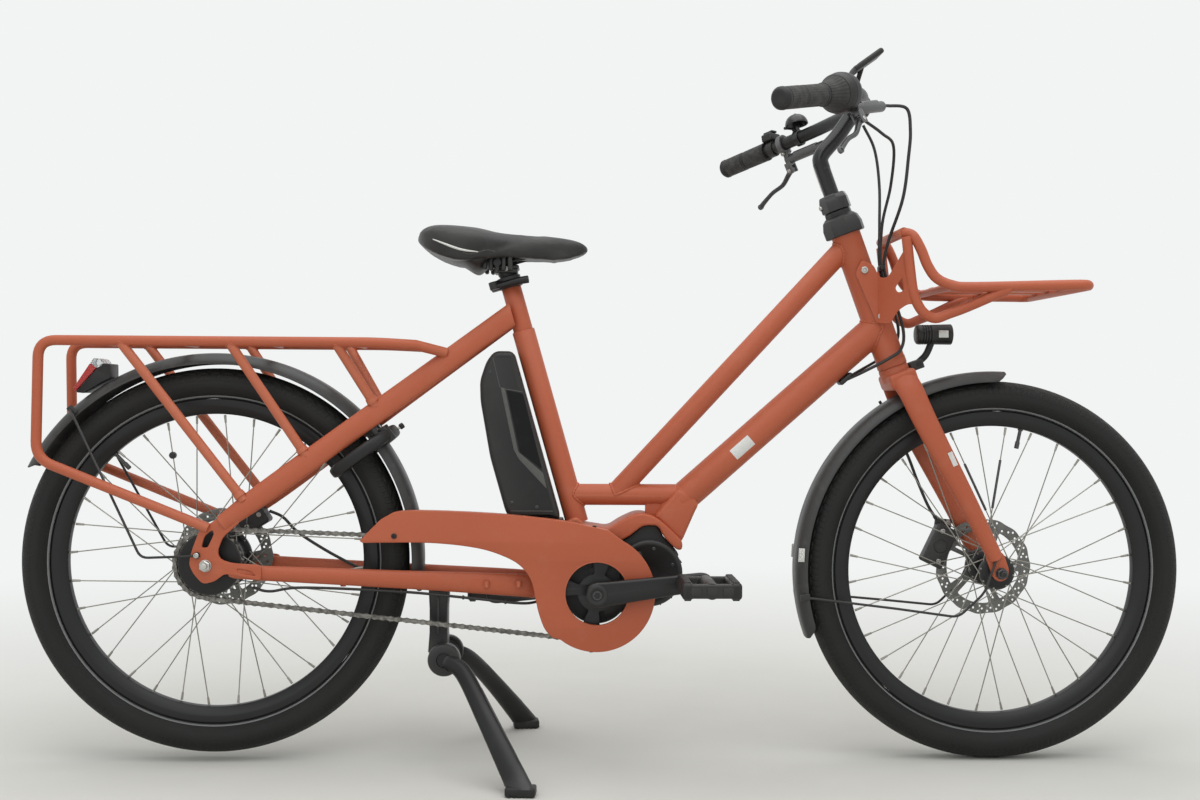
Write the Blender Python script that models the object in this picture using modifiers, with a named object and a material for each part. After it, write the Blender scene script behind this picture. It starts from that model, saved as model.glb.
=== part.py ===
"""Electric cargo bicycle with a low frame, a front platform and a long rear carrier.

Metres, +Z up, +X forward, +Y to the rider's left. The origin lies on the ground, midway
between the wheels. The bicycle stands on its front tyre and the two feet of its stand.
"""

import bpy
import bmesh
from math import atan2, cos, pi, radians, sin, tau
from mathutils import Matrix, Vector

# Gap left between pieces that touch
FIT = 0.0003

# Wheels
TYRE_R = 0.3085
TYRE_HALF = 0.0275
TYRE_DEEP = 0.049
TYRES_APART = 0.641
WHEELBASE = 2 * TYRE_R + TYRES_APART
RIM_R = TYRE_R - TYRE_DEEP
RIM_DEPTH = 0.0245
RIM_HALF = 0.0145
REAR_LIFT = 0.013
HUB_SIDES = 16
SPOKE_R = 0.0007
WHEEL_SIDES = 36
FRONT_FLANGE_R = 0.029
FRONT_FLANGE_LEFT = 0.021
FRONT_FLANGE_RIGHT = 0.033
FRONT_HUB_R = 0.016
FRONT_DROPOUT_Y = 0.0505
REAR_FLANGE_R = 0.050
REAR_FLANGE_LEFT = 0.030
REAR_FLANGE_RIGHT = 0.030
REAR_HUB_R = 0.043
REAR_PHASE = -2.75
REAR_DROPOUT_Y = 0.069
DROPOUT_THICK = 0.006
FRONT_AXLE_R = 0.0045
REAR_AXLE_R = 0.005
NUT_R = 0.0095
NUT_LONG = 0.009
ROTOR_R = 0.080
ROTOR_THICK = 0.002
FRONT_ROTOR_Y = 0.0365
REAR_ROTOR_Y = 0.047
ROTOR_SEAT_R = 0.020

# Frame
HEAD_ANGLE = radians(20.1)
RAKE = 0.040
HEAD_LONG = 0.240
HEAD_R = 0.0245
STEERER_R = 0.0143
SEAT_ANGLE = radians(16.0)
SEAT_TOP = 0.507
SEAT_SEAM = SEAT_TOP - 0.073
SEAT_UPPER_R = 0.0159
SEAT_LOWER_R = 0.0183
TOP_TUBE_R = 0.01725
DOWN_TUBE_R = 0.0245
LEVEL_HIGH = 0.153
LEVEL_FRONT = 0.147
TOP_TUBE_FOOT = 0.030
HOOD_HALF = 0.035
HOOD_UNDER = 0.106
WEB_HALF = 0.0235
STAY_HALF = 0.008
STAY_DEEP = 0.0175
STAY_S = SEAT_TOP - 0.039

# Drive
CRANK_AHEAD = TYRE_R + 0.3015
CRANK_DROP = 0.0455
CRANK_LONG = 0.170
CRANK_TILT = radians(7.4)
SPINDLE_R = 0.012
MOTOR_HALF = 0.033
CHAIN_Y = -0.047
CHAIN_PITCH = 0.0127
RING_TEETH = 38
SPROCKET_TEETH = 27
CHAIN_IN = 0.0012
CHAIN_OUT = 0.0043
CHAIN_WIDE = 0.0074
TOOTH_TIP = 0.0017
TOOTH_ROOT = 0.0055
ARM_IN = 0.066
ARM_OUT = 0.080
PEDAL_IN = 0.088
PEDAL_OUT = 0.188
PEDAL_LONG = 0.0455
PEDAL_HIGH = 0.0145
PEDAL_AXLE_R = 0.007
CASE_OUT = -0.0610
CASE_THICK = 0.0020
CASE_IN = -0.0420

# Carriers
RACK_R = 0.008
RACK_HALF = 0.071
RACK_LOW_HALF = 0.080
RACK_RISE = 0.3495
RACK_BACK = -0.259
FRONT_RACK_BACK = 0.083
FRONT_RACK_FRONT = 0.148
FRONT_RACK_HIGH = 0.1246
PLATE_Y = 0.0248
PLATE_THICK = 0.004

# Mudguards
GUARD_HALF = 0.0325
GUARD_THICK = 0.0016
FRONT_GUARD_R = TYRE_R + 0.0155
REAR_GUARD_R = TYRE_R + 0.0235
CROWN_ROOM = 0.044
STAY_WIRE_R = 0.002

# Bars
BAR_R = 0.0111
BAR_CLAMP_R = 0.0127
STEM_RISER_R = 0.0155
GRIP_R = 0.0165
GRIP_CLEAR = 0.0003
RIGHT_GRIP_LONG = 0.113
SHIFTER_LONG = 0.070
LEFT_GRIP_LONG = 0.100

# Stand
STAND_PIVOT_R = 0.007
STAND_BARREL_R = 0.020
STAND_BARREL_HALF = 0.028
FOOT_Y = 0.205
FOOT_X = -0.132

# Lock ring round the rear wheel
LOCK_MIDDLE = TYRE_R - 0.0215
LOCK_R = 0.061
LOCK_CASE_R = 0.0104
SHACKLE_R = 0.0040
SHACKLE_CLEAR = 0.0016

# Axle, crank and steering places that the rest is measured from
REAR = Vector((-WHEELBASE / 2, 0.0, TYRE_R + REAR_LIFT))
FRONT = Vector((WHEELBASE / 2, 0.0, TYRE_R))
CRANK = REAR + Vector((CRANK_AHEAD, 0.0, -CRANK_DROP))
STEER = Vector((-sin(HEAD_ANGLE), 0.0, cos(HEAD_ANGLE)))
STEER_OUT = Vector((cos(HEAD_ANGLE), 0.0, sin(HEAD_ANGLE)))
HEAD_FOOT = FRONT - RAKE * STEER_OUT
HEAD_BOTTOM = FRONT_GUARD_R + CROWN_ROOM
HEAD_TOP = HEAD_BOTTOM + HEAD_LONG
HEADSET_TOP = HEAD_TOP + 0.0288
TOP_TUBE_S = HEAD_TOP - 0.026
DOWN_TUBE_S = HEAD_BOTTOM + 0.070
RACK_HIGH = REAR.z + RACK_RISE
STAND_PIVOT = CRANK + Vector((-0.242, 0.0, -0.108))
SEAT = Vector((-sin(SEAT_ANGLE), 0.0, cos(SEAT_ANGLE)))
SEAT_OUT = Vector((cos(SEAT_ANGLE), 0.0, sin(SEAT_ANGLE)))
LEFT = Vector((0.0, 1.0, 0.0))
UP = Vector((0.0, 0.0, 1.0))
RING_R = RING_TEETH * CHAIN_PITCH / tau
SPROCKET_R = SPROCKET_TEETH * CHAIN_PITCH / tau

# Matrices that lay a shape's own Z along the bicycle's Y
ACROSS = Matrix.Rotation(-pi / 2, 4, "X")


def clear_scene():
    """Remove every object that the file starts with."""
    for item in list(bpy.data.objects):
        bpy.data.objects.remove(item, do_unlink=True)


def new_collection(name):
    """Make a collection and link it to the scene."""
    group = bpy.data.collections.new(name)
    bpy.context.scene.collection.children.link(group)
    return group


clear_scene()
PARTS = new_collection("cargo_bike")
WORK = new_collection("working_shapes")


def paint(name, colour, roughness, metallic=0.0):
    """One Principled material."""
    finish = bpy.data.materials.new(name)
    finish.use_nodes = True
    shader = finish.node_tree.nodes["Principled BSDF"]
    shader.inputs["Base Color"].default_value = (*colour, 1.0)
    shader.inputs["Roughness"].default_value = roughness
    shader.inputs["Metallic"].default_value = metallic
    return finish


TERRACOTTA = (0.38, 0.085, 0.035)
BLACK = (0.018, 0.018, 0.018)
DARK = (0.030, 0.030, 0.030)
STEEL = (0.55, 0.55, 0.54)


def head(s, out=0.0, y=0.0):
    """A point s along the steering axis from the foot, out in front of it."""
    return HEAD_FOOT + s * STEER + out * STEER_OUT + y * LEFT


def seat(s, out=0.0, y=0.0):
    """A point s along the seat tube from the crank, out in front of it."""
    return CRANK + s * SEAT + out * SEAT_OUT + y * LEFT


def rear(x, z, y=0.0):
    """A point measured from the rear axle."""
    return REAR + Vector((x, y, z))


def front(x, z, y=0.0):
    """A point measured from the front axle."""
    return FRONT + Vector((x, y, z))


def fore(x, z, y=0.0):
    """A point measured from the head tube's lower end."""
    return head(HEAD_BOTTOM) + Vector((x, y, z))


def crank(x, z, y=0.0):
    """A point measured from the crank axis."""
    return CRANK + Vector((x, y, z))


def polar(centre, radius, degrees, y=0.0):
    """A point in the side view at a radius and an angle, 0 forward and 90 up."""
    turn = radians(degrees)
    return centre + Vector((radius * cos(turn), y, radius * sin(turn)))


def bore_loop(centre, radius, sides):
    """A closed loop whose flats, not its corners, lie at the radius."""
    return arc(centre, radius / cos(pi / sides), 0, 360 - 360 / sides, sides - 1)


def arc(centre, radius, first, last, steps):
    """Points along an arc in the side view."""
    span = last - first
    return [polar(centre, radius, first + span * i / steps) for i in range(steps + 1)]


def frame_along(start, axis, near=UP):
    """A matrix at start whose Z runs along axis and whose X is nearest to near."""
    z = axis.normalized()
    x = (near - near.dot(z) * z).normalized()
    y = z.cross(x)
    turn = Matrix((x, y, z)).transposed().to_4x4()
    return Matrix.Translation(start) @ turn


def shape(mesh):
    """A working object for a mesh."""
    item = bpy.data.objects.new("shape", mesh)
    WORK.objects.link(item)
    return item


def tidied(mesh):
    """Weld what lies together and turn every face outwards."""
    bm = bmesh.new()
    bm.from_mesh(mesh)
    bmesh.ops.remove_doubles(bm, verts=bm.verts, dist=1e-6)
    bmesh.ops.recalc_face_normals(bm, faces=bm.faces)
    bm.to_mesh(mesh)
    bm.free()
    return mesh


def baked(item, matrix=None):
    """The mesh that an object's curve or modifiers make, as a new working object."""
    bpy.context.view_layer.update()
    graph = bpy.context.evaluated_depsgraph_get()
    mesh = bpy.data.meshes.new_from_object(item.evaluated_get(graph))
    mesh.transform(item.matrix_world)
    if matrix:
        mesh.transform(matrix)
    bpy.data.objects.remove(item, do_unlink=True)
    return shape(tidied(mesh))


def placed(item, matrix):
    """Move a working shape by a matrix."""
    item.data.transform(matrix)
    return item


def mirrored(item):
    """The same shape on the bicycle's other side."""
    item.data.transform(Matrix.Scale(-1.0, 4, LEFT))
    item.data.flip_normals()
    return item


def sided(item, side):
    """A shape modelled on the left, kept there or mirrored to the right."""
    return item if side > 0 else mirrored(item)


def worked(item, others, operation):
    """Join to a shape, or cut from it, one shape after another."""
    for other in others:
        step = item.modifiers.new("work", "BOOLEAN")
        step.operation = operation
        step.solver = "EXACT"
        step.object = other
    result = baked(item)
    for other in others:
        bpy.data.objects.remove(other, do_unlink=True)
    return result


def joined(*items):
    """One body made of several that overlap."""
    return worked(items[0], items[1:], "UNION") if len(items) > 1 else items[0]


def cut(item, *cutters):
    """A shape less its cutters."""
    return worked(item, cutters, "DIFFERENCE")


def rod(start, end, radius, sides=12, end_radius=None):
    """A round or tapered bar between two points."""
    axis = end - start
    bm = bmesh.new()
    bmesh.ops.create_cone(
        bm, cap_ends=True, segments=sides, radius1=radius,
        radius2=radius if end_radius is None else end_radius, depth=axis.length,
        matrix=frame_along(start.lerp(end, 0.5), axis, UP if abs(axis.normalized().z) < 0.9 else STEER_OUT),
    )
    mesh = bpy.data.meshes.new("rod")
    bm.to_mesh(mesh)
    bm.free()
    return shape(mesh)


def disc(centre, radius, y0, y1, sides=24):
    """A round slab across the bicycle."""
    return rod(centre + y0 * LEFT, centre + y1 * LEFT, radius, sides)


def box(centre, size, turn=None, rounding=0.0):
    """A block of a size about its centre, with rounded edges if asked."""
    bm = bmesh.new()
    bmesh.ops.create_cube(bm, size=1.0, matrix=Matrix.Diagonal((*size, 1.0)))
    mesh = bpy.data.meshes.new("box")
    bm.to_mesh(mesh)
    bm.free()
    item = shape(mesh)
    if rounding:
        bevel = item.modifiers.new("edges", "BEVEL")
        bevel.width = rounding
        bevel.segments = 1
        item = baked(item)
    return placed(item, Matrix.Translation(centre) @ (turn.to_4x4() if turn else Matrix()))


def tube(points, radius, sides=12, radii=None, closed=False):
    """A round bar along a path, with its own radius at each point if asked."""
    curve = bpy.data.curves.new("path", "CURVE")
    curve.dimensions = "3D"
    curve.bevel_depth = radius
    curve.bevel_resolution = sides // 2 - 2
    curve.use_fill_caps = True
    spline = curve.splines.new("POLY")
    spline.points.add(len(points) - 1)
    for index, place in enumerate(points):
        spline.points[index].co = (*place, 1.0)
        spline.points[index].radius = radii[index] / radius if radii else 1.0
    spline.use_cyclic_u = closed
    item = bpy.data.objects.new("path", curve)
    WORK.objects.link(item)
    return baked(item)


def flat_tube(points, half, radii, sides=10):
    """A bar of oval section: radii deep in the side view, half thick across."""
    level = [Vector((p.x, 0.0, p.z)) for p in points]
    item = tube(level, max(radii), sides, radii)
    forward = abs(level[-1].x - level[0].x) > abs(level[-1].z - level[0].z)
    keys = [(p.x if forward else p.z) for p in points]
    for corner in item.data.vertices:
        key = corner.co.x if forward else corner.co.z
        y, deep = along(keys, points, radii, key)
        corner.co.y = y + corner.co.y * half / deep
    bm = bmesh.new()
    bm.from_mesh(item.data)
    bmesh.ops.triangulate(bm, faces=bm.faces)
    bm.to_mesh(item.data)
    bm.free()
    return item


def along(keys, points, radii, key):
    """The sideways place and the radius of a path where its key has a value."""
    for i in range(len(keys) - 1):
        low, high = sorted((keys[i], keys[i + 1]))
        if low <= key <= high and high > low:
            t = (key - keys[i]) / (keys[i + 1] - keys[i])
            return points[i].y + t * (points[i + 1].y - points[i].y), radii[i] + t * (radii[i + 1] - radii[i])
    end = 0 if abs(key - keys[0]) < abs(key - keys[-1]) else -1
    return points[end].y, radii[end]


def smooth(points, parts=4):
    """Points on a smooth curve through the given ones."""
    ends = [2 * points[0] - points[1], *points, 2 * points[-1] - points[-2]]
    path = []
    for a, b, c, d in zip(ends, ends[1:], ends[2:], ends[3:]):
        for step in range(parts):
            t = step / parts
            bend = (2 * a - 5 * b + 4 * c - d) * t * t + (3 * b - a - 3 * c + d) * t ** 3
            path.append(0.5 * (2 * b + (c - a) * t + bend))
    return path + [points[-1]]


def rounded(points, setback, parts=3):
    """A path whose corners are rounded, starting a setback before each."""
    path = [points[0]]
    for before, corner, after in zip(points, points[1:], points[2:]):
        start = corner + (before - corner).normalized() * setback
        end = corner + (after - corner).normalized() * setback
        for step in range(parts + 1):
            t = step / parts
            path.append(start.lerp(corner, t).lerp(corner.lerp(end, t), t))
    return path + [points[-1]]


def plate(outline, y0, y1, holes=()):
    """A flat plate in the side view between two places across, with holes."""
    curve = bpy.data.curves.new("outline", "CURVE")
    curve.dimensions = "2D"
    curve.fill_mode = "BOTH"
    curve.extrude = abs(y1 - y0) / 2
    for loop in (outline, *holes):
        spline = curve.splines.new("POLY")
        spline.points.add(len(loop) - 1)
        for index, place in enumerate(loop):
            spline.points[index].co = (place.x, place.z, 0.0, 1.0)
        spline.use_cyclic_u = True
    item = bpy.data.objects.new("outline", curve)
    WORK.objects.link(item)
    stand_up = Matrix.Rotation(pi / 2, 4, "X")
    return baked(item, Matrix.Translation((0.0, (y0 + y1) / 2, 0.0)) @ stand_up)


def turned(profile, matrix, sides=24, ring=False):
    """A turned shape: (radius, height) pairs, down the outer side from the top."""
    edges = [(i, i + 1) for i in range(len(profile) - 1)]
    if ring:
        edges.append((len(profile) - 1, 0))
    mesh = bpy.data.meshes.new("profile")
    mesh.from_pydata([(r, 0.0, h) for r, h in profile], edges, [])
    item = shape(mesh)
    spin = item.modifiers.new("turn", "SCREW")
    spin.steps = sides
    spin.render_steps = sides
    spin.use_merge_vertices = True
    spin.merge_threshold = 1e-5
    return baked(item, matrix)


def sector(profile, matrix, first, last, steps, thick):
    """Part of a turned sheet between two angles in degrees, given a thickness."""
    mesh = bpy.data.meshes.new("profile")
    edges = [(i, i + 1) for i in range(len(profile) - 1)]
    mesh.from_pydata([(r, 0.0, h) for r, h in profile], edges, [])
    item = shape(mesh)
    spin = item.modifiers.new("turn", "SCREW")
    spin.angle = radians(last - first)
    spin.steps = steps
    spin.render_steps = steps
    skin = item.modifiers.new("skin", "SOLIDIFY")
    skin.thickness = thick
    skin.offset = 0.0
    return baked(item, matrix @ Matrix.Rotation(radians(-last), 4, "Z"))


def piece(name, item, finish, holder=None):
    """Name a finished shape, colour it and hang it on its holder."""
    mesh = tidied(item.data)
    mesh.name = name
    mesh.materials.clear()
    mesh.materials.append(finish)
    mesh.shade_smooth()
    mesh.set_sharp_from_angle(angle=radians(35.0))
    WORK.objects.unlink(item)
    PARTS.objects.link(item)
    item.name = name
    if holder:
        mesh.transform(holder.matrix_world.inverted())
        item.parent = holder
    return item


def pivot(name, place, holder=None, turn=None):
    """An empty on a joint's axis, which its moving pieces hang on."""
    item = bpy.data.objects.new(name, None)
    item.empty_display_size = 0.03
    PARTS.objects.link(item)
    matrix = Matrix.Translation(place) @ (turn or Matrix())
    item.parent = holder
    item.matrix_local = holder.matrix_world.inverted() @ matrix if holder else matrix
    bpy.context.view_layer.update()
    return item


FRAME_PAINT = paint("frame_paint", TERRACOTTA, 0.45)
GUARD_PLASTIC = paint("guard_plastic", DARK, 0.55)
BLACK_PLASTIC = paint("black_plastic", BLACK, 0.45)
BLACK_METAL = paint("black_metal", BLACK, 0.35, 0.6)
RUBBER = paint("rubber", DARK, 0.8)
TYRE_RUBBER = paint("tyre_rubber", (0.028, 0.028, 0.028), 0.85)
BRIGHT_METAL = paint("bright_metal", STEEL, 0.3, 1.0)
COVER = paint("cover", BLACK, 0.5)
RED_LENS = paint("red_lens", (0.45, 0.02, 0.015), 0.3)

# Middle of the bar at its end, its bend and the stem
BAR_END = fore(-0.2379, 0.3696, 0.3020)
BAR_BEND = fore(-0.1015, 0.4130, 0.1540)
BAR_MIDDLE = fore(-0.0629, 0.4206)

# Pivots of everything that moves
STEERING = pivot("steering_axis", head(HEAD_BOTTOM))
FRONT_WHEEL = pivot("front_wheel_axis", FRONT, STEERING)
REAR_WHEEL = pivot("rear_wheel_axis", REAR)
SPROCKET = pivot("sprocket_axis", REAR)
CRANKSET = pivot("crank_axis", CRANK)


def chain_side_stay():
    """Chain stay from the hood's foot to the drop-out, oval and slightly tapered."""
    points = [
        crank(HOOD_REAR + 0.004, 0.006, 0.0235),
        crank(HOOD_REAR - 0.035, 0.010, 0.030),
        rear(0.300, -0.025, 0.045),
        rear(0.070, -0.012, 0.0645),
        rear(0.036, -0.008, 0.0650),
    ]
    return flat_tube(points, STAY_HALF, [0.0185, 0.018, 0.0145, 0.0115, 0.010])


def seat_side_stay():
    """Seat stay from beside the seat tube straight down to the drop-out."""
    top = seat(STAY_S, 0.0, 0.019)
    low = rear(0.024, 0.0655, 0.0705)
    run = low - top
    points = [top, top + run * 0.30, top + run * 0.55, top + run * 0.86, low]
    for place, y in zip(points, (0.020, 0.032, 0.049, 0.067, 0.0715)):
        place.y = y
    return flat_tube(points, STAY_HALF, [STAY_DEEP] * 4 + [0.013])


def dropout():
    """Slotted plate that holds the axle, open below for it to drop out."""
    outline = [
        rear(0.055, 0.0705), rear(0.020, 0.075), rear(-0.010, 0.055), rear(-0.022, 0.022),
        rear(-0.026, 0.002), rear(-0.018, -0.014), rear(-0.004, -0.029), rear(0.014, -0.024),
        rear(0.086, -0.026), rear(0.086, 0.001), rear(0.040, 0.004), rear(0.022, 0.010),
        rear(0.018, 0.022), rear(0.026, 0.044),
    ]
    upper_slot = [rear(0.010, 0.056), rear(-0.002, 0.046), rear(-0.007, 0.028), rear(0.003, 0.028), rear(0.013, 0.050)]
    lower_slot = [rear(0.048, -0.004), rear(0.070, -0.008), rear(0.078, -0.016), rear(0.050, -0.012)]
    axle = bore_loop(REAR, REAR_AXLE_R + FIT, 8)
    return plate(outline, REAR_DROPOUT_Y, REAR_DROPOUT_Y + DROPOUT_THICK, (axle, upper_slot, lower_slot))


HOOD_REAR = -0.100


def rack_corner(x, z, y=RACK_HALF):
    """A point of the rear carrier's side."""
    return Vector((REAR.x + x, y, z))


def rack_side():
    """One side of the rear carrier: rail, upright and lower rail in one bent tube."""
    stay_meet = seat_stay_at(REAR.x + 0.367)
    start = Vector((stay_meet.x, stay_meet.y + 0.004, stay_meet.z + STAY_DEEP * 0.9))
    path = [
        start,
        rack_corner(0.322, RACK_HIGH - 0.003, RACK_HALF - 0.012),
        rack_corner(0.262, RACK_HIGH),
        rack_corner(RACK_BACK, RACK_HIGH),
        rack_corner(RACK_BACK, REAR.z + 0.166, RACK_LOW_HALF),
        rear(0.004, 0.0585, 0.0745),
    ]
    return tube([path[0]] + rounded(path[1:], 0.026), RACK_R, 8)


def seat_stay_at(x):
    """The seat stay's middle line where it has this X."""
    top = seat(STAY_S)
    low = rear(0.024, 0.0655)
    t = (x - top.x) / (low.x - top.x)
    y = 0.020 + (0.032 - 0.020) * t / 0.30 if t < 0.30 else 0.032 + (0.049 - 0.032) * (t - 0.30) / 0.25
    y = y if t < 0.55 else 0.049 + (0.067 - 0.049) * (t - 0.55) / 0.31
    return Vector((x, y, top.z + t * (low.z - top.z)))


def rack_struts():
    """Three slanted struts between the rail and the seat stay."""
    struts = []
    for top_x, stay_x in ((-0.135, 0.058), (0.033, 0.152), (0.198, 0.258)):
        foot = seat_stay_at(REAR.x + stay_x)
        foot.z += STAY_DEEP * 0.6
        struts.append(rod(rack_corner(top_x, RACK_HIGH), foot, RACK_R * 0.95, 8))
    return struts


def cross_bars():
    """Bars across the carrier, welded to the left rail and met by the right one."""
    bars = []
    for x in (-0.171, -0.051, 0.089, 0.226):
        start = rack_corner(x, RACK_HIGH)
        end = rack_corner(x, RACK_HIGH, -RACK_HALF + RACK_R + FIT)
        bars.append(rod(start, end, RACK_R * 0.8, 6))
    return bars


def rear_half(side):
    """One side of the rear frame with its carrier side."""
    stays = joined(seat_side_stay(), chain_side_stay(), dropout(), rack_side(), *rack_struts())
    if side > 0:
        stays = joined(stays, *cross_bars())
    collar = rod(seat(0.40), seat(SEAT_TOP), SEAT_UPPER_R + FIT, 16)
    return sided(cut(stays, collar, grown(hood(), FIT)), side)


def make_rear_frame():
    piece("rear_frame_left", rear_half(1), FRAME_PAINT)
    piece("rear_frame_right", rear_half(-1), FRAME_PAINT)


def hood_outline():
    """The arched motor bracket between the seat tube and the down tube."""
    return [
        crank(0.1375, 0.0665), crank(0.1385, 0.0800), crank(0.1150, 0.1035), crank(0.0970, 0.1180), crank(0.0790, 0.1250),
        crank(0.063, 0.125), crank(0.041, 0.115), crank(0.019, 0.101), crank(-0.020, 0.107),
        crank(-0.032, 0.120), crank(-0.049, 0.112), crank(-0.096, 0.044), crank(HOOD_REAR, 0.028),
        crank(HOOD_REAR, -0.013), crank(-0.060, -0.013), crank(-0.060, 0.026), crank(-0.046, 0.054),
        crank(-0.011, 0.068), crank(0.024, 0.074), crank(0.051, 0.0875), crank(0.0745, HOOD_UNDER),
        crank(0.0985, HOOD_UNDER), crank(0.1090, 0.0860), crank(0.1290, 0.0665),
    ]


def hood():
    """The motor bracket as a solid."""
    return plate(hood_outline(), -HOOD_HALF, HOOD_HALF)


def hood_web():
    """Casting that carries the down tube's foot into the motor bracket."""
    outline = [
        crank(0.080, 0.152), crank(0.080, 0.121), crank(0.097, 0.112), crank(0.115, 0.098), crank(0.1360, 0.0770),
        crank(0.1400, 0.0830), crank(0.1595, 0.1290), crank(0.1640, 0.1360), crank(0.1520, 0.1520),
    ]
    return plate(outline, -WEB_HALF, WEB_HALF)


def main_frame():
    """Head tube, two slanted tubes, level tube, seat tube and motor bracket."""
    level = crank(0.0, LEVEL_HIGH)
    tubes = [
        rod(head(HEAD_BOTTOM), head(HEAD_TOP), HEAD_R, 20),
        rod(head(TOP_TUBE_S), crank(TOP_TUBE_FOOT, LEVEL_HIGH), TOP_TUBE_R, 12),
        rod(head(DOWN_TUBE_S), crank(LEVEL_FRONT, LEVEL_HIGH), DOWN_TUBE_R, 16),
        rod(Vector((seat(LEVEL_HIGH / cos(SEAT_ANGLE)).x, 0.0, level.z)), crank(LEVEL_FRONT, LEVEL_HIGH), TOP_TUBE_R, 12),
        rod(seat(0.112), seat(SEAT_SEAM), SEAT_LOWER_R, 16),
        rod(seat(SEAT_SEAM - 0.01), seat(SEAT_TOP), SEAT_UPPER_R, 16),
        hood(),
        hood_web(),
    ]
    frame = joined(*tubes)
    steerer_bore = rod(head(HEAD_BOTTOM - 0.01), head(HEAD_TOP + 0.01), STEERER_R + 0.003, 12)
    post_bore = rod(seat(POST_BOTTOM - 0.012), seat(SEAT_TOP + 0.01), POST_R + FIT, 16)
    return cut(frame, steerer_bore, post_bore)


POST_R = 0.0136
POST_BOTTOM = 0.250
POST_TOP = SEAT_TOP + 0.026


def make_main_frame():
    piece("main_frame", main_frame(), FRAME_PAINT)


def front_rack_plate():
    """Gusset bolted to the side of the head tube, flaring out to the carrier's post."""
    outline = [
        fore(-0.0539, 0.1656), fore(-0.0379, 0.1606), fore(-0.0289, 0.1416), fore(-0.0199, 0.1416),
        fore(-0.0119, 0.1596), fore(0.0031, 0.1936), fore(0.0111, 0.1496), fore(0.0191, 0.0966),
        fore(0.0021, 0.0966), fore(-0.0089, 0.0866), fore(-0.0169, 0.0676), fore(-0.0309, 0.0706),
        fore(-0.0629, 0.1526),
    ]
    hole = [fore(-0.0039, 0.1406), fore(-0.0119, 0.1236), fore(-0.0089, 0.1156), fore(-0.0019, 0.1176)]
    item = plate(outline, PLATE_Y, PLATE_Y + PLATE_THICK, (hole,))
    bm = bmesh.new()
    bm.from_mesh(item.data)
    for x in (PLATE_BEND, PLATE_BEND + PLATE_RUN):
        everything = bm.verts[:] + bm.edges[:] + bm.faces[:]
        bmesh.ops.bisect_plane(bm, geom=everything, plane_co=(x, 0, 0), plane_no=(1, 0, 0))
    for corner in bm.verts:
        flare = min(max(corner.co.x - PLATE_BEND, 0.0), PLATE_RUN) / PLATE_RUN
        corner.co.y += flare * (FRONT_RACK_BACK - PLATE_Y - PLATE_THICK / 2)
    bm.to_mesh(item.data)
    bm.free()
    return item


PLATE_BEND = head(HEAD_BOTTOM).x - 0.0319
PLATE_RUN = 0.034


def front_rack_tubes():
    """Back hoop, side rail and low loop of the front carrier on one side."""
    back = FRONT_RACK_BACK
    out = FRONT_RACK_FRONT
    high = FRONT_RACK_HIGH
    rail = [
        fore(-0.0019, 0.2106, back - 0.010), fore(0.0101, 0.2046, back), fore(0.0221, 0.1826, back + 0.004),
        fore(0.0321, 0.1566, back + 0.007), fore(0.0461, 0.1366, back + 0.010), fore(0.0691, 0.1256, back + 0.016),
        fore(0.1001, high - 0.002, back + 0.023), fore(0.2351, high, out - 0.012), fore(0.2631, high, out - 0.008),
        fore(0.2731, high, out - 0.020),
    ]
    post = [
        fore(0.0001, 0.2026, back), fore(0.0051, 0.1596, back), fore(0.0111, 0.1166, back), fore(0.0191, 0.0956, back),
        fore(0.0301, 0.0816, back), fore(0.0471, 0.0746, back), fore(0.0671, 0.0816, back + 0.004),
        fore(0.0951, 0.0926, back + 0.012), fore(0.1551, high - 0.004, back + 0.035),
    ]
    return [tube(rail, RACK_R, 8), tube(post, RACK_R, 8)]


def front_rack():
    """Front carrier, fixed to the head tube so that it does not steer."""
    high = FRONT_RACK_HIGH
    halves = []
    for side in (1, -1):
        side_tubes = joined(front_rack_plate(), *front_rack_tubes())
        halves.append(sided(side_tubes, side))
    reach = FRONT_RACK_FRONT - 0.019
    bars = [
        rod(fore(-0.0019, 0.2106, -FRONT_RACK_BACK + 0.008), fore(-0.0019, 0.2106, FRONT_RACK_BACK - 0.008), RACK_R, 8),
        rod(fore(0.2731, high, -reach), fore(0.2731, high, reach), RACK_R, 8),
    ]
    for x, half in ((0.0701, FRONT_RACK_BACK + 0.017), (0.1751, FRONT_RACK_BACK + 0.042)):
        bars.append(rod(fore(x, high, -half), fore(x, high, half), RACK_R * 0.75, 6))
    for y in (-0.084, -0.028, 0.028, 0.084):
        bars.append(box(fore(0.1716, high + 0.004, y), (0.205, 0.022, 0.006)))
    return joined(*halves, *bars)


def make_front_rack():
    piece("front_rack", front_rack(), FRAME_PAINT)


def wheel_tyre(centre):
    """Tyre as a solid ring seated on the rim."""
    bead = RIM_R + FIT
    profile = [
        (bead, RIM_HALF), (bead + 0.020, TYRE_HALF), (TYRE_R - 0.012, TYRE_HALF - 0.004), (TYRE_R, 0.009),
        (TYRE_R, -0.009), (TYRE_R - 0.012, -TYRE_HALF + 0.004), (bead + 0.020, -TYRE_HALF), (bead, -RIM_HALF),
    ]
    return turned(profile, Matrix.Translation(centre) @ ACROSS, WHEEL_SIDES, True)


def wheel_rim(centre):
    """Rim of a hollow-looking section, flat where the spokes end."""
    inner = RIM_R - RIM_DEPTH
    profile = [
        (RIM_R, RIM_HALF), (RIM_R, -RIM_HALF), (RIM_R - 0.012, -RIM_HALF),
        (inner, -0.007), (inner, 0.007), (RIM_R - 0.012, RIM_HALF),
    ]
    return turned(profile, Matrix.Translation(centre) @ ACROSS, WHEEL_SIDES, True)


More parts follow.
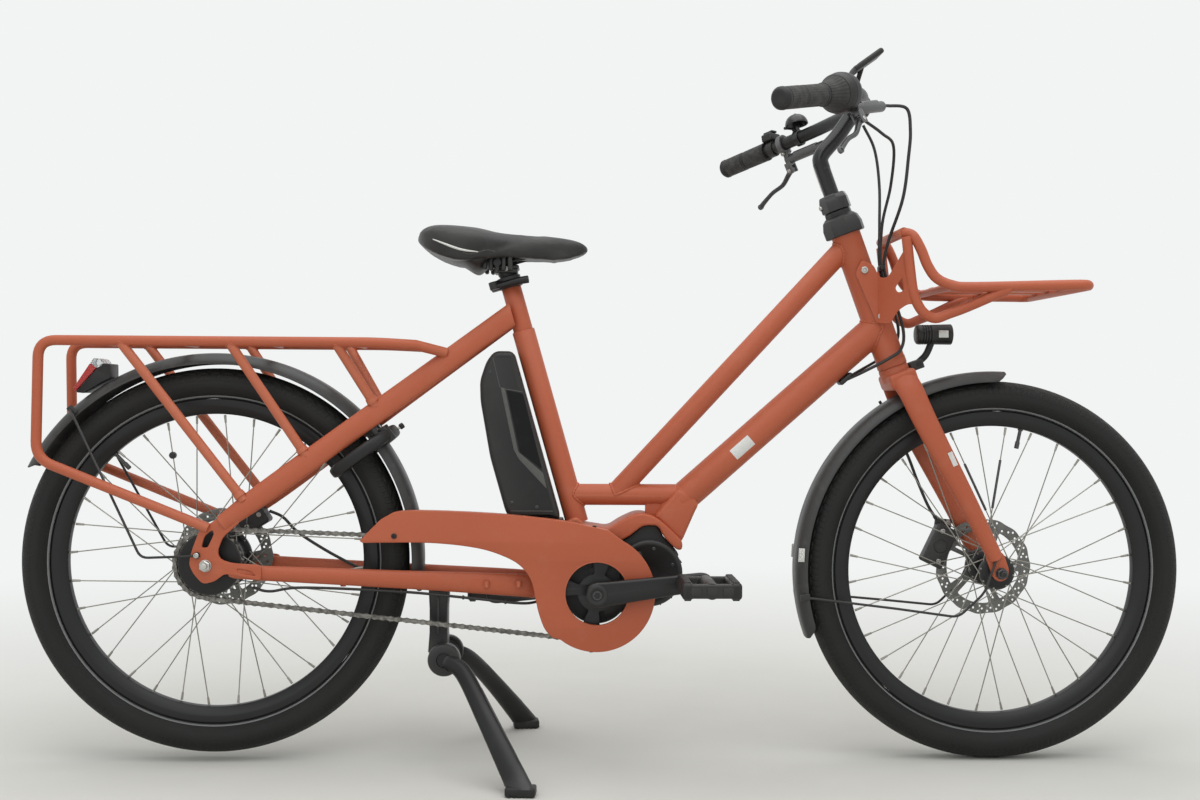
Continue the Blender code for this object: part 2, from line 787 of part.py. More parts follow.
def laced(shell, centre, flange_r, flanges, lace):
    """Draw crossed spokes out of the facets of a hub's two flanges."""
    end_r = (RIM_R - RIM_DEPTH) * cos(pi / WHEEL_SIDES) - FIT - SPOKE_R
    bm = bmesh.new()
    bm.from_mesh(shell.data)
    for index, flange in enumerate(flanges):
        side = 1 - 2 * index
        facets = []
        for face in bm.faces:
            apart = face.calc_center_median() - centre
            reach = Vector((apart.x, 0.0, apart.z)).length
            if abs(apart.y - flange) < 1e-4 and reach > flange_r * 0.95:
                facets.append((atan2(apart.z, apart.x), face))
        facets.sort(key=lambda facet: facet[0])
        for order, (hub_turn, face) in enumerate(facets):
            lead = 1 if order % 2 else -1
            rim_turn = hub_turn + lead * lace - side * tau / (4 * HUB_SIDES)
            foot = centre + Vector((0.98 * flange_r * cos(hub_turn), flange + lead * 0.0018, 0.98 * flange_r * sin(hub_turn)))
            end = centre + Vector((end_r * cos(rim_turn), side * 0.003 + lead * 0.0012, end_r * sin(rim_turn)))
            for place in (foot, end):
                made = bmesh.ops.extrude_discrete_faces(bm, faces=[face])
                face = made["faces"][0]
                middle = face.calc_center_median()
                for corner in face.verts:
                    away = corner.co - middle
                    up = SPOKE_R if away.y > 0 else -SPOKE_R
                    out = Vector((-sin(hub_turn), 0.0, cos(hub_turn)))
                    round_it = SPOKE_R if away.dot(out) > 0 else -SPOKE_R
                    corner.co = place + up * LEFT + round_it * out
    bm.to_mesh(shell.data)
    bm.free()
    tidied(shell.data)
    return shell


def hub(centre, profile, flange_r, flanges, lace, phase):
    """Hub shell with its spokes."""
    stand = Matrix.Translation(centre) @ ACROSS @ Matrix.Rotation(phase, 4, "Z")
    shell = turned(profile, stand, HUB_SIDES, True)
    return laced(shell, centre, flange_r, flanges, lace)


def hub_profile(bore, hub_r, flange_r, flanges, ends, end_radii):
    """Profile of a hub between its two ends, with a flange near each."""
    f = 0.0030
    left, right = flanges
    return [
        (end_radii[0], ends[0]), (end_radii[0], left + f + 0.001), (flange_r, left + f), (flange_r, left - f),
        (hub_r, left - f - 0.002), (hub_r, right + f + 0.002), (flange_r, right + f),
        (flange_r, right - f), (end_radii[1], right - f - 0.001), (end_radii[1], ends[1]),
        (bore, ends[1]), (bore, ends[0]),
    ]


def rotor(centre, y, bore):
    """Brake disc with windows between its arms."""
    windows = []
    for i in range(5):
        start = 72 * i + 8
        inner = arc(centre, 0.030, start, start + 48, 1)
        outer = arc(centre, 0.063, start + 54, start - 2, 3)
        windows.append(inner + outer)
    hole = bore_loop(centre, bore, 12)
    outline = arc(centre, ROTOR_R, 0, 345, 23)
    return plate(outline, y - ROTOR_THICK / 2, y + ROTOR_THICK / 2, (hole, *windows))


def axle(centre, radius, reach, nut_from):
    """Axle with a nut outside each drop-out."""
    parts = [disc(centre, radius, -reach, reach, 10)]
    for side in (1, -1):
        nut = sorted((side * nut_from, side * (nut_from + NUT_LONG)))
        parts.append(disc(centre, NUT_R, nut[0], nut[1], 6))
    return joined(*parts)


def make_wheels():
    bore = REAR_AXLE_R + 2 * FIT
    rotor_face = REAR_ROTOR_Y - ROTOR_THICK / 2 - FIT
    flanges = (REAR_FLANGE_LEFT, -REAR_FLANGE_RIGHT)
    profile = hub_profile(bore, REAR_HUB_R, REAR_FLANGE_R, flanges, (rotor_face, -0.040), (0.026, 0.030))
    left_nose = disc(REAR, ROTOR_SEAT_R, rotor_face - 0.004, REAR_DROPOUT_Y - FIT, 16)
    driver = disc(REAR, 0.0175, -REAR_DROPOUT_Y + FIT, -0.036, 16)
    shell = joined(hub(REAR, profile, REAR_FLANGE_R, flanges, radians(45), radians(REAR_PHASE)), left_nose, driver)
    shell = cut(shell, disc(REAR, bore, -0.08, 0.08, 16))
    piece("rear_hub", shell, BRIGHT_METAL, REAR_WHEEL)
    piece("rear_rotor", rotor(REAR, REAR_ROTOR_Y, ROTOR_SEAT_R + FIT), BRIGHT_METAL, REAR_WHEEL)
    piece("rear_axle", axle(REAR, REAR_AXLE_R, 0.089, REAR_DROPOUT_Y + DROPOUT_THICK + FIT), BRIGHT_METAL)

    bore = FRONT_AXLE_R + 2 * FIT
    rotor_face = FRONT_ROTOR_Y - ROTOR_THICK / 2 - FIT
    flanges = (FRONT_FLANGE_LEFT, -FRONT_FLANGE_RIGHT)
    ends = (rotor_face, -FRONT_DROPOUT_Y + FIT)
    profile = hub_profile(bore, FRONT_HUB_R, FRONT_FLANGE_R, flanges, ends, (0.024, 0.011))
    left_nose = disc(FRONT, 0.015, rotor_face - 0.003, FRONT_DROPOUT_Y - FIT, 16)
    shell = joined(hub(FRONT, profile, FRONT_FLANGE_R, flanges, radians(67.5), 0.0), left_nose)
    shell = cut(shell, disc(FRONT, bore, -0.08, 0.08, 16))
    piece("front_hub", shell, BRIGHT_METAL, FRONT_WHEEL)
    piece("front_rotor", rotor(FRONT, FRONT_ROTOR_Y, 0.015 + FIT), BRIGHT_METAL, FRONT_WHEEL)
    nut_from = FRONT_DROPOUT_Y + DROPOUT_THICK + FIT
    piece("front_axle", axle(FRONT, FRONT_AXLE_R, 0.072, nut_from), BRIGHT_METAL, STEERING)
    for name, centre, holder in (("rear", REAR, REAR_WHEEL), ("front", FRONT, FRONT_WHEEL)):
        piece(name + "_tyre", wheel_tyre(centre), TYRE_RUBBER, holder)
        piece(name + "_rim", wheel_rim(centre), BLACK_METAL, holder)


def toothed(centre, radius, teeth, y, bore):
    """Flat wheel with blunt teeth below the chain's pitch line."""
    outline = []
    for i in range(teeth):
        turn = 360.0 / teeth
        outline.append(polar(centre, radius - TOOTH_ROOT, turn * i))
        outline.append(polar(centre, radius - TOOTH_TIP, turn * (i + 0.5)))
    hole = bore_loop(centre, bore, 12)
    return plate(outline, y - 0.00125, y + 0.00125, (hole,))


def chain():
    """Closed chain band from just below its pitch line to the tops of its links."""
    apart = CRANK - REAR
    lean = atan2(apart.z, apart.x) * 180 / pi
    tuck = 180 / pi * (RING_R - SPROCKET_R) / apart.length
    loops = []
    for offset in (CHAIN_OUT, -CHAIN_IN):
        over_ring = arc(CRANK, RING_R + offset, lean + 90 + tuck, lean - 90 - tuck, 20)
        under_rear = arc(REAR, SPROCKET_R + offset, lean - 90 - tuck, lean - 270 + tuck, 14)
        loops.append(over_ring + under_rear)
    return plate(loops[0], CHAIN_Y - CHAIN_WIDE / 2, CHAIN_Y + CHAIN_WIDE / 2, (loops[1],))


def crank_arm():
    """Crank arm from the spindle to the pedal, tapered, on the left side."""
    end = CRANK_LONG
    arm = [
        (-0.018, 0.0), (-0.012, 0.015), (0.0, 0.0200), (0.020, 0.0190), (0.060, 0.0175), (end - 0.02, 0.0148),
        (end, 0.0135), (end + 0.010, 0.008), (end + 0.0125, 0.0), (end + 0.010, -0.008), (end, -0.0135),
        (end - 0.02, -0.0148), (0.060, -0.0175), (0.020, -0.0190), (0.0, -0.0200), (-0.012, -0.015),
    ]
    outline = [Vector((x, 0.0, z)) for x, z in arm]
    return plate(outline, ARM_IN, ARM_OUT)


def arm_placed(item, degrees):
    """Turn an arm modelled along +X about its spindle and carry it to the crank."""
    return placed(item, Matrix.Translation(CRANK) @ Matrix.Rotation(-radians(degrees), 4, LEFT))


def pedal(centre, side):
    """Pedal: two treads and two ends round the barrel on its axle."""
    mid = (PEDAL_IN + PEDAL_OUT) / 2
    wide = PEDAL_OUT - PEDAL_IN
    parts = [disc(Vector(), 0.0125, PEDAL_IN, PEDAL_OUT - 0.004, 12)]
    for x in (-1, 1):
        parts.append(box(Vector((x * (PEDAL_LONG - 0.009), mid, 0.0)), (0.018, wide, 2 * PEDAL_HIGH)))
    for y in (PEDAL_IN + 0.007, PEDAL_OUT - 0.008):
        parts.append(box(Vector((0.0, y, 0.0)), (2 * PEDAL_LONG - 0.018, 0.012, 0.022)))
    item = cut(joined(*parts), disc(Vector(), PEDAL_AXLE_R + FIT, PEDAL_IN - 0.01, PEDAL_OUT - 0.020, 12))
    return placed(sided(item, side), Matrix.Translation(centre))


def crank_end(side):
    """Where the crank arm on a side carries its pedal."""
    lean = CRANK_TILT if side < 0 else pi + CRANK_TILT
    return CRANK + Vector((CRANK_LONG * cos(lean), 0.0, CRANK_LONG * sin(lean)))


def make_drive():
    tilt = CRANK_TILT * 180 / pi
    for side, name in ((1, "left"), (-1, "right")):
        arm = arm_placed(sided(crank_arm(), side), tilt if side < 0 else tilt + 180)
        end = crank_end(side)
        stub = sorted((side * (ARM_IN + 0.004), side * (PEDAL_OUT - 0.022)))
        arm = joined(arm, disc(end, PEDAL_AXLE_R, stub[0], stub[1], 12))
        if side > 0:
            arm = joined(arm, disc(CRANK, SPINDLE_R, -ARM_IN + FIT, ARM_IN + 0.004, 16))
        piece("crank_arm_" + name, arm, BLACK_METAL, CRANKSET)
        spin = pivot("pedal_axis_" + name, end, CRANKSET)
        piece("pedal_" + name, pedal(end, side), BLACK_PLASTIC, spin)
    piece("chainring", toothed(CRANK, RING_R, RING_TEETH, CHAIN_Y, SPINDLE_R + FIT), BLACK_METAL, CRANKSET)
    sprocket = toothed(REAR, SPROCKET_R, SPROCKET_TEETH, CHAIN_Y, 0.0175 + 2 * FIT)
    piece("rear_sprocket", sprocket, BRIGHT_METAL, SPROCKET)
    piece("chain", chain(), BRIGHT_METAL)


def motor():
    """Mid motor: a drum ahead of the crank, joined to the crank housing."""
    drum = crank(0.085, 0.029)
    shoulder = [
        crank(0.030, 0.0755), crank(0.052, 0.0862), crank(0.0757, HOOD_UNDER - FIT), crank(0.0975, HOOD_UNDER - FIT),
        crank(0.1075, 0.0855), crank(0.1265, 0.0655), crank(0.120, 0.045), crank(0.060, 0.030),
    ]
    body = [
        disc(drum, 0.0535, -MOTOR_HALF, MOTOR_HALF, 22),
        disc(CRANK, 0.046, -MOTOR_HALF, MOTOR_HALF, 20),
        box(crank(0.042, 0.012), (0.095, 2 * MOTOR_HALF, 0.088), Matrix.Rotation(-0.33, 3, LEFT)),
        plate(shoulder, -0.022, 0.022),
        box(crank(-0.0475 + FIT, 0.004), (0.025, 0.044, 0.024)),
    ]
    return cut(joined(*body), disc(CRANK, SPINDLE_R + 2 * FIT, -0.05, 0.05, 16))


def case_outline():
    """Outline of the chain case: a tapering arm over the chain and a ring at the crank."""
    ring = arc(CRANK, 0.0925, 62, -128, 14)
    top = [crank(-0.374, 0.083), crank(-0.334, 0.121), crank(-0.298, 0.131), crank(-0.167, 0.127), crank(-0.058, 0.116),
           crank(-0.012, 0.107), crank(0.024, 0.099)]
    under = [crank(-0.082, -0.056), crank(-0.092, -0.030), crank(-0.097, -0.008), crank(-0.104, 0.020), crank(-0.119, 0.042),
             crank(-0.145, 0.058), crank(-0.190, 0.072), crank(-0.265, 0.080), crank(-0.370, 0.080)]
    return top + ring + under


def case_cavity():
    """What the chain case leaves open inside its rim, out past its lower edge."""
    rim = 0.002
    ring = arc(CRANK, 0.0925 - rim, 62, -112, 13)
    top = [crank(-0.390, 0.081), crank(-0.334, 0.121 - rim), crank(-0.298, 0.131 - rim), crank(-0.167, 0.127 - rim),
           crank(-0.058, 0.116 - rim), crank(-0.012, 0.107 - rim), crank(0.023, 0.099 - rim)]
    under = [crank(-0.050, -0.120), crank(-0.150, -0.100), crank(-0.390, 0.0)]
    return top + ring + under


def chain_case():
    """Chain case: a plate outside the chain with a rim over its top and round its front."""
    hole = arc(CRANK, 0.050, 0, 342, 19)
    body = plate(case_outline(), CASE_OUT, CASE_IN, (hole,))
    inside = plate(case_cavity(), CASE_OUT + CASE_THICK, CASE_IN + 0.01)
    boss_at = crank(0.083, 0.029)
    boss = disc(boss_at, 0.0038, CASE_OUT + CASE_THICK / 2, -MOTOR_HALF - FIT, 8)
    bolt = disc(crank(-0.320, 0.091), 0.005, CASE_OUT - 0.003, CASE_OUT + CASE_THICK / 2, 8)
    return joined(cut(body, inside), boss, bolt)


def make_motor_and_case():
    piece("motor", motor(), BLACK_METAL)
    piece("chain_case", chain_case(), FRAME_PAINT)


BATTERY_HALF = 0.040
BATTERY_GAP = 0.0055
BATTERY_BOTTOM = CRANK.z + 0.115
BATTERY_TOP = CRANK.z + 0.384
DOCK_HALF = 0.018


def seat_back(z):
    """X of the seat tube's back face at a height."""
    return seat((z - CRANK.z) / cos(SEAT_ANGLE)).x - SEAT_LOWER_R / cos(SEAT_ANGLE)


def battery():
    """Battery behind the seat tube, deeper at its foot, with rounded edges."""
    top, low = BATTERY_TOP, BATTERY_BOTTOM
    outline = [
        Vector((seat_back(top) - BATTERY_GAP, 0, top)), Vector((seat_back(low) - BATTERY_GAP, 0, low)),
        Vector((seat_back(low) - 0.086, 0, low)), Vector((seat_back(low) - 0.094, 0, low + 0.012)),
        Vector((CRANK.x - 0.171, 0, top - 0.170)), Vector((CRANK.x - 0.187, 0, top - 0.080)),
        Vector((CRANK.x - 0.188, 0, top - 0.048)), Vector((CRANK.x - 0.178, 0, top - 0.017)),
        Vector((CRANK.x - 0.165, 0, top)),
    ]
    item = plate(outline, -BATTERY_HALF, BATTERY_HALF)
    bevel = item.modifiers.new("edges", "BEVEL")
    bevel.width = 0.006
    bevel.segments = 2
    bevel.angle_limit = radians(50)
    return baked(item)


def battery_mount():
    """Dock under the battery, on the back of the hood and the seat tube's foot."""
    back = seat_back(BATTERY_BOTTOM)
    sill = BATTERY_BOTTOM - 0.012
    outline = [
        Vector((back - 0.0015, 0, BATTERY_BOTTOM - FIT)), Vector((seat_back(sill) - 0.0015, 0, sill)),
        Vector((CRANK.x - 0.065, 0, sill)), Vector((CRANK.x - 0.079, 0, sill - 0.019)),
        Vector((CRANK.x - 0.106, 0, sill - 0.019)), Vector((back - 0.080, 0, sill - 0.002)),
        Vector((back - 0.080, 0, BATTERY_BOTTOM - FIT)),
    ]
    return cut(plate(outline, -DOCK_HALF, DOCK_HALF), grown(hood(), FIT))


def make_battery():
    low = Vector((seat_back(BATTERY_BOTTOM) - 0.045, DOCK_HALF, BATTERY_BOTTOM))
    hinge = pivot("battery_axis", low)
    piece("battery", battery(), BLACK_PLASTIC, hinge)
    piece("battery_mount", battery_mount(), BLACK_PLASTIC)


def seat_clamp():
    """Split collar on top of the seat tube, with an ear for its lever."""
    ring = rod(seat(SEAT_TOP + FIT), seat(SEAT_TOP + 0.018), 0.0195, 16)
    ear = box(seat(SEAT_TOP + 0.009, -0.024), (0.016, 2 * EAR_HALF, 0.016), Matrix.Rotation(-SEAT_ANGLE, 3, LEFT))
    item = joined(ring, ear)
    bore = rod(seat(SEAT_TOP - 0.03), seat(SEAT_TOP + 0.03), POST_R + FIT, 16)
    slit = box(seat(SEAT_TOP + 0.009, -0.026, 0.0), (0.030, 0.002, 0.03), Matrix.Rotation(-SEAT_ANGLE, 3, LEFT))
    return cut(item, bore, slit)


LEVER_PIN = seat(SEAT_TOP + 0.009, -0.026, 0.0)
CAM_R = 0.0075
EAR_HALF = 0.0135
LEVER_AXIS = LEVER_PIN - (EAR_HALF + FIT + CAM_R) * LEFT


def seat_clamp_lever():
    """Quick-release lever on the right of the ear, its cam parallel to the tube."""
    cam = rod(LEVER_AXIS - 0.006 * SEAT, LEVER_AXIS + 0.006 * SEAT, CAM_R, 14)
    arm = tube([LEVER_AXIS, LEVER_AXIS + Vector((0.022, -0.0035, -0.002)), LEVER_AXIS + Vector((0.054, -0.0035, -0.008))], 0.0031, 8)
    return joined(cam, arm)


def seat_post():
    """Seat post with the saddle clamp on its head."""
    post = rod(seat(POST_BOTTOM), seat(POST_TOP), POST_R, 16)
    clamp = box(seat(POST_TOP + 0.004), (0.042, 0.052, 2 * SADDLE_CLAMP_HALF), None, 0.003)
    return joined(post, clamp)


SADDLE_BASE = seat(POST_TOP).z + 0.0256
SADDLE_CLAMP_HALF = 0.00675
SADDLE_RAIL_R = 0.0035
SADDLE_BEND = -0.150
SADDLE_SLOPE = 0.115


def saddle_shell():
    """Saddle base with its two rails, which lie in the post's clamp."""
    parts = []
    clamp = seat(POST_TOP + 0.004)
    rail_z = clamp.z + SADDLE_CLAMP_HALF + FIT + SADDLE_RAIL_R
    for side in (1, -1):
        rail = [
            Vector((-0.268, side * 0.030, SADDLE_BASE + saddle_rise(-0.268) + 0.002)), Vector((-0.235, side * 0.026, rail_z + 0.004)),
            Vector((-0.210, side * 0.022, rail_z)), Vector((-0.130, side * 0.022, rail_z)),
            Vector((-0.095, side * 0.018, rail_z + 0.006)), Vector((-0.066, side * 0.006, SADDLE_BASE + 0.002)),
        ]
        parts.append(tube(rail, SADDLE_RAIL_R, 6))
    rows = [(-0.288, 0.052), (-0.262, 0.072), (-0.225, 0.076), (-0.185, 0.062), (-0.145, 0.038), (-0.100, 0.022), (-0.058, 0.013)]
    outline = [Vector((x, 0, y)) for x, y in rows] + [Vector((x, 0, -y)) for x, y in reversed(rows)]
    base = plate(outline, 0.0, 0.006)
    lie_down = Matrix.Translation((0, 0, SADDLE_BASE)) @ Matrix.Rotation(pi / 2, 4, "X")
    base = lifted(placed(base, lie_down))
    return joined(base, *parts)


def saddle_rise(x):
    """How far the saddle's base curves up towards the tail."""
    return SADDLE_SLOPE * max(0.0, SADDLE_BEND - x)


def lifted(item):
    """Bend a flat saddle layer up towards the tail, along one crease."""
    bm = bmesh.new()
    bm.from_mesh(item.data)
    everything = bm.verts[:] + bm.edges[:] + bm.faces[:]
    bmesh.ops.bisect_plane(bm, geom=everything, plane_co=(SADDLE_BEND, 0, 0), plane_no=(1, 0, 0))
    for corner in bm.verts:
        corner.co.z += saddle_rise(corner.co.x)
    bm.to_mesh(item.data)
    bm.free()
    return item


def saddle_half_width(x):
    """Half width of the cushion along its length: a broad tail and a slim nose."""
    keys = [(-0.307, 0.034), (-0.296, 0.060), (-0.270, 0.081), (-0.235, 0.087), (-0.195, 0.076), (-0.155, 0.052),
            (-0.115, 0.034), (-0.070, 0.024), (-0.045, 0.018), (-0.034, 0.009)]
    for (x0, w0), (x1, w1) in zip(keys, keys[1:]):
        if x <= x1:
            return w0 + (w1 - w0) * (x - x0) / (x1 - x0)
    return keys[-1][1]


def saddle_top(x):
    """Height of the cushion's crown along its length."""
    keys = [(-0.307, 0.033), (-0.290, 0.050), (-0.262, 0.0515), (-0.220, 0.0455), (-0.175, 0.0365), (-0.120, 0.0340),
            (-0.070, 0.0305), (-0.045, 0.0250), (-0.034, 0.0140)]
    for (x0, z0), (x1, z1) in zip(keys, keys[1:]):
        if x <= x1:
            return SADDLE_BASE + z0 + (z1 - z0) * (x - x0) / (x1 - x0)
    return SADDLE_BASE + keys[-1][1]


def saddle_pad():
    """Cushion with a crown, drawn-in sides and a shallow channel down its middle."""
    rows, spread = 16, 6
    bm = bmesh.new()
    bmesh.ops.create_cube(bm, size=2.0)
    bmesh.ops.subdivide_edges(bm, edges=[e for e in bm.edges if abs(e.verts[0].co.x - e.verts[1].co.x) > 1], cuts=rows)
    across = [e for e in bm.edges if abs(e.verts[0].co.y - e.verts[1].co.y) > 1]
    bmesh.ops.subdivide_edges(bm, edges=across, cuts=spread - 1)
    upright = [e for e in bm.edges if abs(e.verts[0].co.z - e.verts[1].co.z) > 1]
    bmesh.ops.subdivide_edges(bm, edges=upright, cuts=2)
    for corner in bm.verts:
        u, v, w = corner.co
        x = -0.1705 + 0.1365 * u
        half = saddle_half_width(x)
        base = SADDLE_BASE + 0.006 + FIT + saddle_rise(x)
        crown = saddle_top(x) - 0.014 * v ** 4 - 0.0025 * max(0.0, 1 - 9 * v * v) * max(0.0, 1 - abs(x + 0.19) / 0.09)
        edge = 0.92 + 0.08 * w - 0.06 * (1 - w * w)
        if w <= -0.99:
            edge = 0.90
        z = base + (crown - base) * (w + 1) / 2
        corner.co = (x, v * half * edge, z)
    mesh = bpy.data.meshes.new("cushion")
    bm.to_mesh(mesh)
    bm.free()
    return shape(tidied(mesh))


def make_saddle():
    lift = pivot("saddle_lift", seat(SEAT_TOP))
    piece("seat_post", seat_post(), BLACK_METAL, lift)
    piece("saddle_shell", saddle_shell(), BLACK_PLASTIC, lift)
    piece("saddle_pad", saddle_pad(), COVER, lift)
    piece("seat_clamp", seat_clamp(), BLACK_METAL)
    pin = pivot("seat_clamp_axis", LEVER_AXIS)
    piece("seat_clamp_lever", seat_clamp_lever(), BLACK_METAL, pin)


def stand_bracket():
    """Bridge between the chain stays with the stand's column and barrel below it."""
    bridge = box(crank(-0.253, 0.014), (0.046, 0.084, 0.012))
    column = box(crank(-0.253, -0.046), (0.034, 0.050, 0.118))
    barrel = disc(STAND_PIVOT, STAND_BARREL_R, -STAND_BARREL_HALF, STAND_BARREL_HALF, 20)
    bore = disc(STAND_PIVOT, STAND_PIVOT_R + FIT, -0.05, 0.05, 16)
    stays = [sided(grown(chain_side_stay(), FIT), side) for side in (1, -1)]
    return cut(joined(column, bridge, barrel), bore, *stays)


def stand_legs():
    """Two splayed legs on one shaft through the barrel, with flat feet."""
    parts = [disc(STAND_PIVOT, STAND_PIVOT_R, -STAND_BARREL_HALF - 0.01, STAND_BARREL_HALF + 0.01, 16)]
    inner = STAND_BARREL_HALF + FIT
    for side in (1, -1):
        ends = sorted((side * inner, side * (inner + 0.020)))
        parts.append(disc(STAND_PIVOT, 0.026, ends[0], ends[1], 16))
        knee = STAND_PIVOT + Vector((0.033, side * 0.064, -0.018))
        ankle = Vector((FOOT_X - 0.006, side * (FOOT_Y - 0.004), 0.014))
        bowed = knee.lerp(ankle, 0.444) + Vector((0.0, side * 0.005, 0.003))
        path = [STAND_PIVOT + Vector((0.005, side * 0.040, -0.002)), knee, bowed, ankle]
        parts.append(tube(path, 0.012, 8, [0.013, 0.013, 0.011, 0.009]))
        parts.append(box(Vector((FOOT_X, side * FOOT_Y, 0.007)), (0.040, 0.024, 0.014)))
    return joined(*parts)


def make_stand():
    hinge = pivot("stand_axis", STAND_PIVOT)
    piece("stand_bracket", stand_bracket(), BLACK_METAL)
    piece("stand_legs", stand_legs(), BLACK_METAL, hinge)


def guard_profile(radius):
    """Cross-section of a mudguard: a shallow arch with its edges turned down."""
    return [
        (radius - 0.012, GUARD_HALF), (radius - 0.0035, GUARD_HALF * 0.80), (radius, GUARD_HALF * 0.38),
        (radius, -GUARD_HALF * 0.38), (radius - 0.0035, -GUARD_HALF * 0.80), (radius - 0.012, -GUARD_HALF),
    ]


def make_mudguards():
    about = Matrix.Translation(REAR) @ ACROSS
    guard = sector(guard_profile(REAR_GUARD_R), about, -8.2, 153.0, 20, GUARD_THICK)
    wires = []
    for side in (1, -1):
        path = [
            polar(REAR, REAR_GUARD_R - 0.0072, 130.9, side * 0.0287), rear(-0.190, 0.245, side * 0.052), rear(-0.100, 0.012, side * 0.075),
            rear(-0.026, 0.015, side * 0.0785), rear(-0.013, 0.0165, side * 0.0785),
        ]
        wires.append(tube(path, STAY_WIRE_R, 6))
        knob = sorted((side * (REAR_DROPOUT_Y + DROPOUT_THICK + FIT), side * 0.0815))
        wires.append(disc(rear(-0.013, 0.0165), 0.005, knob[0], knob[1], 8))
    piece("rear_mudguard", joined(guard, *wires), GUARD_PLASTIC)

    about = Matrix.Translation(FRONT) @ ACROSS
    guard = sector(guard_profile(FRONT_GUARD_R), about, 87.0, 200.0, 14, GUARD_THICK)
    wires = []
    for side in (1, -1):
        path = [
            polar(FRONT, FRONT_GUARD_R - 0.0072, 187.7, side * 0.0287), front(-0.165, -0.042, side * 0.050),
            front(-0.071, -0.069, side * 0.063), front(-0.030, -0.030, side * 0.066), front(-0.008, 0.026, side * 0.0595),
        ]
        wires.append(tube(path, STAY_WIRE_R, 6))
    tab = rod(polar(FRONT, FRONT_GUARD_R - 0.0006, 117.0), head(CROWN_BOTTOM - FIT - 0.0008), 0.006, 8)
    piece("front_mudguard", joined(guard, tab, *wires), GUARD_PLASTIC, STEERING)


CROWN_BOTTOM = HEAD_BOTTOM - 0.0365


BLADE_BOW = 0.0027


def fork_blade(side):
    """Fork blade from the crown to the axle, straight and tapered, with its drop-out."""
    shoulder = head(HEAD_BOTTOM - 0.044, 0.004, 0.045)
    ankle = front(-0.012, 0.034, 0.0540)
    upper = shoulder.lerp(ankle, 0.209) - BLADE_BOW * STEER_OUT
    lower = shoulder.lerp(ankle, 0.674)
    upper.y = 0.0525
    lower.y = 0.0540
    path = [head(HEAD_BOTTOM - 0.022, 0.002, 0.030), shoulder, upper, lower, ankle]
    blade = flat_tube(path, 0.0105, [0.021, 0.0205, 0.019, 0.0150, 0.0115], 10)
    tip = [front(-0.026, 0.030), front(-0.012, 0.040), front(0.004, 0.032), front(0.013, 0.006), front(0.010, -0.009),
           front(-0.002, -0.014), front(-0.012, -0.008)]
    hole = bore_loop(FRONT, FRONT_AXLE_R + FIT, 8)
    end = plate(tip, FRONT_DROPOUT_Y, FRONT_DROPOUT_Y + DROPOUT_THICK, (hole,))
    return sided(joined(blade, end), side)


def fork():
    """Steerer, crown and two blades."""
    crown_top = HEAD_BOTTOM - FIT
    steerer = rod(head(crown_top - 0.02), head(HEADSET_TOP - FIT), STEERER_R, 16)
    race = rod(head(crown_top - 0.022), head(crown_top), 0.0245, 16)
    crown = box(head(HEAD_BOTTOM - 0.0235, 0.002), (0.046, 0.080, 0.026), Matrix.Rotation(-HEAD_ANGLE, 3, LEFT), 0.005)
    parts = [steerer, race, crown, fork_blade(1), fork_blade(-1)]
    return joined(*parts)


def headset_upper():
    """Eight-sided collar over the top of the head tube."""
    outer = rod(head(HEAD_TOP - 0.012), head(HEADSET_TOP), 0.0355, 8)
    socket = rod(head(HEAD_TOP - 0.03), head(HEAD_TOP + FIT), HEAD_R + FIT, 20)
    bore = rod(head(HEAD_TOP - 0.01), head(HEADSET_TOP + 0.01), STEERER_R + 0.0015, 16)
    return cut(outer, socket, bore)


def stem():
    """Cone, riser and forged arm up to the bar clamp."""
    cone_low = head(HEADSET_TOP + FIT)
    cone_mid = head(HEADSET_TOP + 0.030)
    riser_top = head(HEADSET_TOP + 0.0852)
    parts = [
        rod(cone_low, cone_mid, 0.0235, 16, 0.0205),
        rod(cone_mid - 0.004 * STEER, head(HEADSET_TOP + 0.037), 0.0205, 16, STEM_RISER_R),
        rod(head(HEADSET_TOP + 0.02), riser_top, STEM_RISER_R, 20),
    ]
    arm = [riser_top - 0.014 * STEER, riser_top + Vector((0.002, 0, 0.010)), riser_top + Vector((0.030, 0, 0.045)), BAR_MIDDLE]
    parts.append(tube(arm, 0.016, 14, [0.0150, 0.0165, 0.0165, 0.0150]))
    parts.append(rod(BAR_MIDDLE - 0.024 * LEFT, BAR_MIDDLE + 0.024 * LEFT, 0.0205, 16))
    bore = rod(BAR_MIDDLE - 0.03 * LEFT, BAR_MIDDLE + 0.03 * LEFT, BAR_CLAMP_R + 0.0006, 16)
    return cut(joined(*parts), bore)


def at_left(point, side):
    """A point given for the left, or its mirror image for the right."""
    return Vector((point.x, side * point.y, point.z))


GRIP_AXIS = (BAR_BEND - BAR_END).normalized()
REACH = Vector((0.5, 0.0, -0.87))


def grip_place(side=1):
    """Frame at the bar's end: Z inwards along the grip, X towards the lever."""
    return frame_along(BAR_END, GRIP_AXIS, REACH)


def on_grip(item, side):
    """Carry a shape from the grip's own frame to the left or right grip."""
    return sided(placed(item, grip_place()), side)


def handlebar():
    """Swept bar, thicker where the stem holds it."""
    half = [
        BAR_END + 0.004 * GRIP_AXIS, BAR_BEND, fore(-0.0869, 0.4161, 0.128), fore(-0.0729, 0.4196, 0.095),
        BAR_MIDDLE + Vector((-0.0015, 0.052, 0.0)), BAR_MIDDLE + 0.036 * LEFT,
    ]
    path = half + [at_left(p, -1) for p in reversed(half)]
    radii = [BAR_R] * 4 + [BAR_R, BAR_CLAMP_R]
    return tube(path, BAR_CLAMP_R, 16, radii + radii[::-1])


def sleeve(profile, sides=16):
    """A turned sleeve round the bar in the grip's own frame."""
    return turned(profile, Matrix(), sides, True)


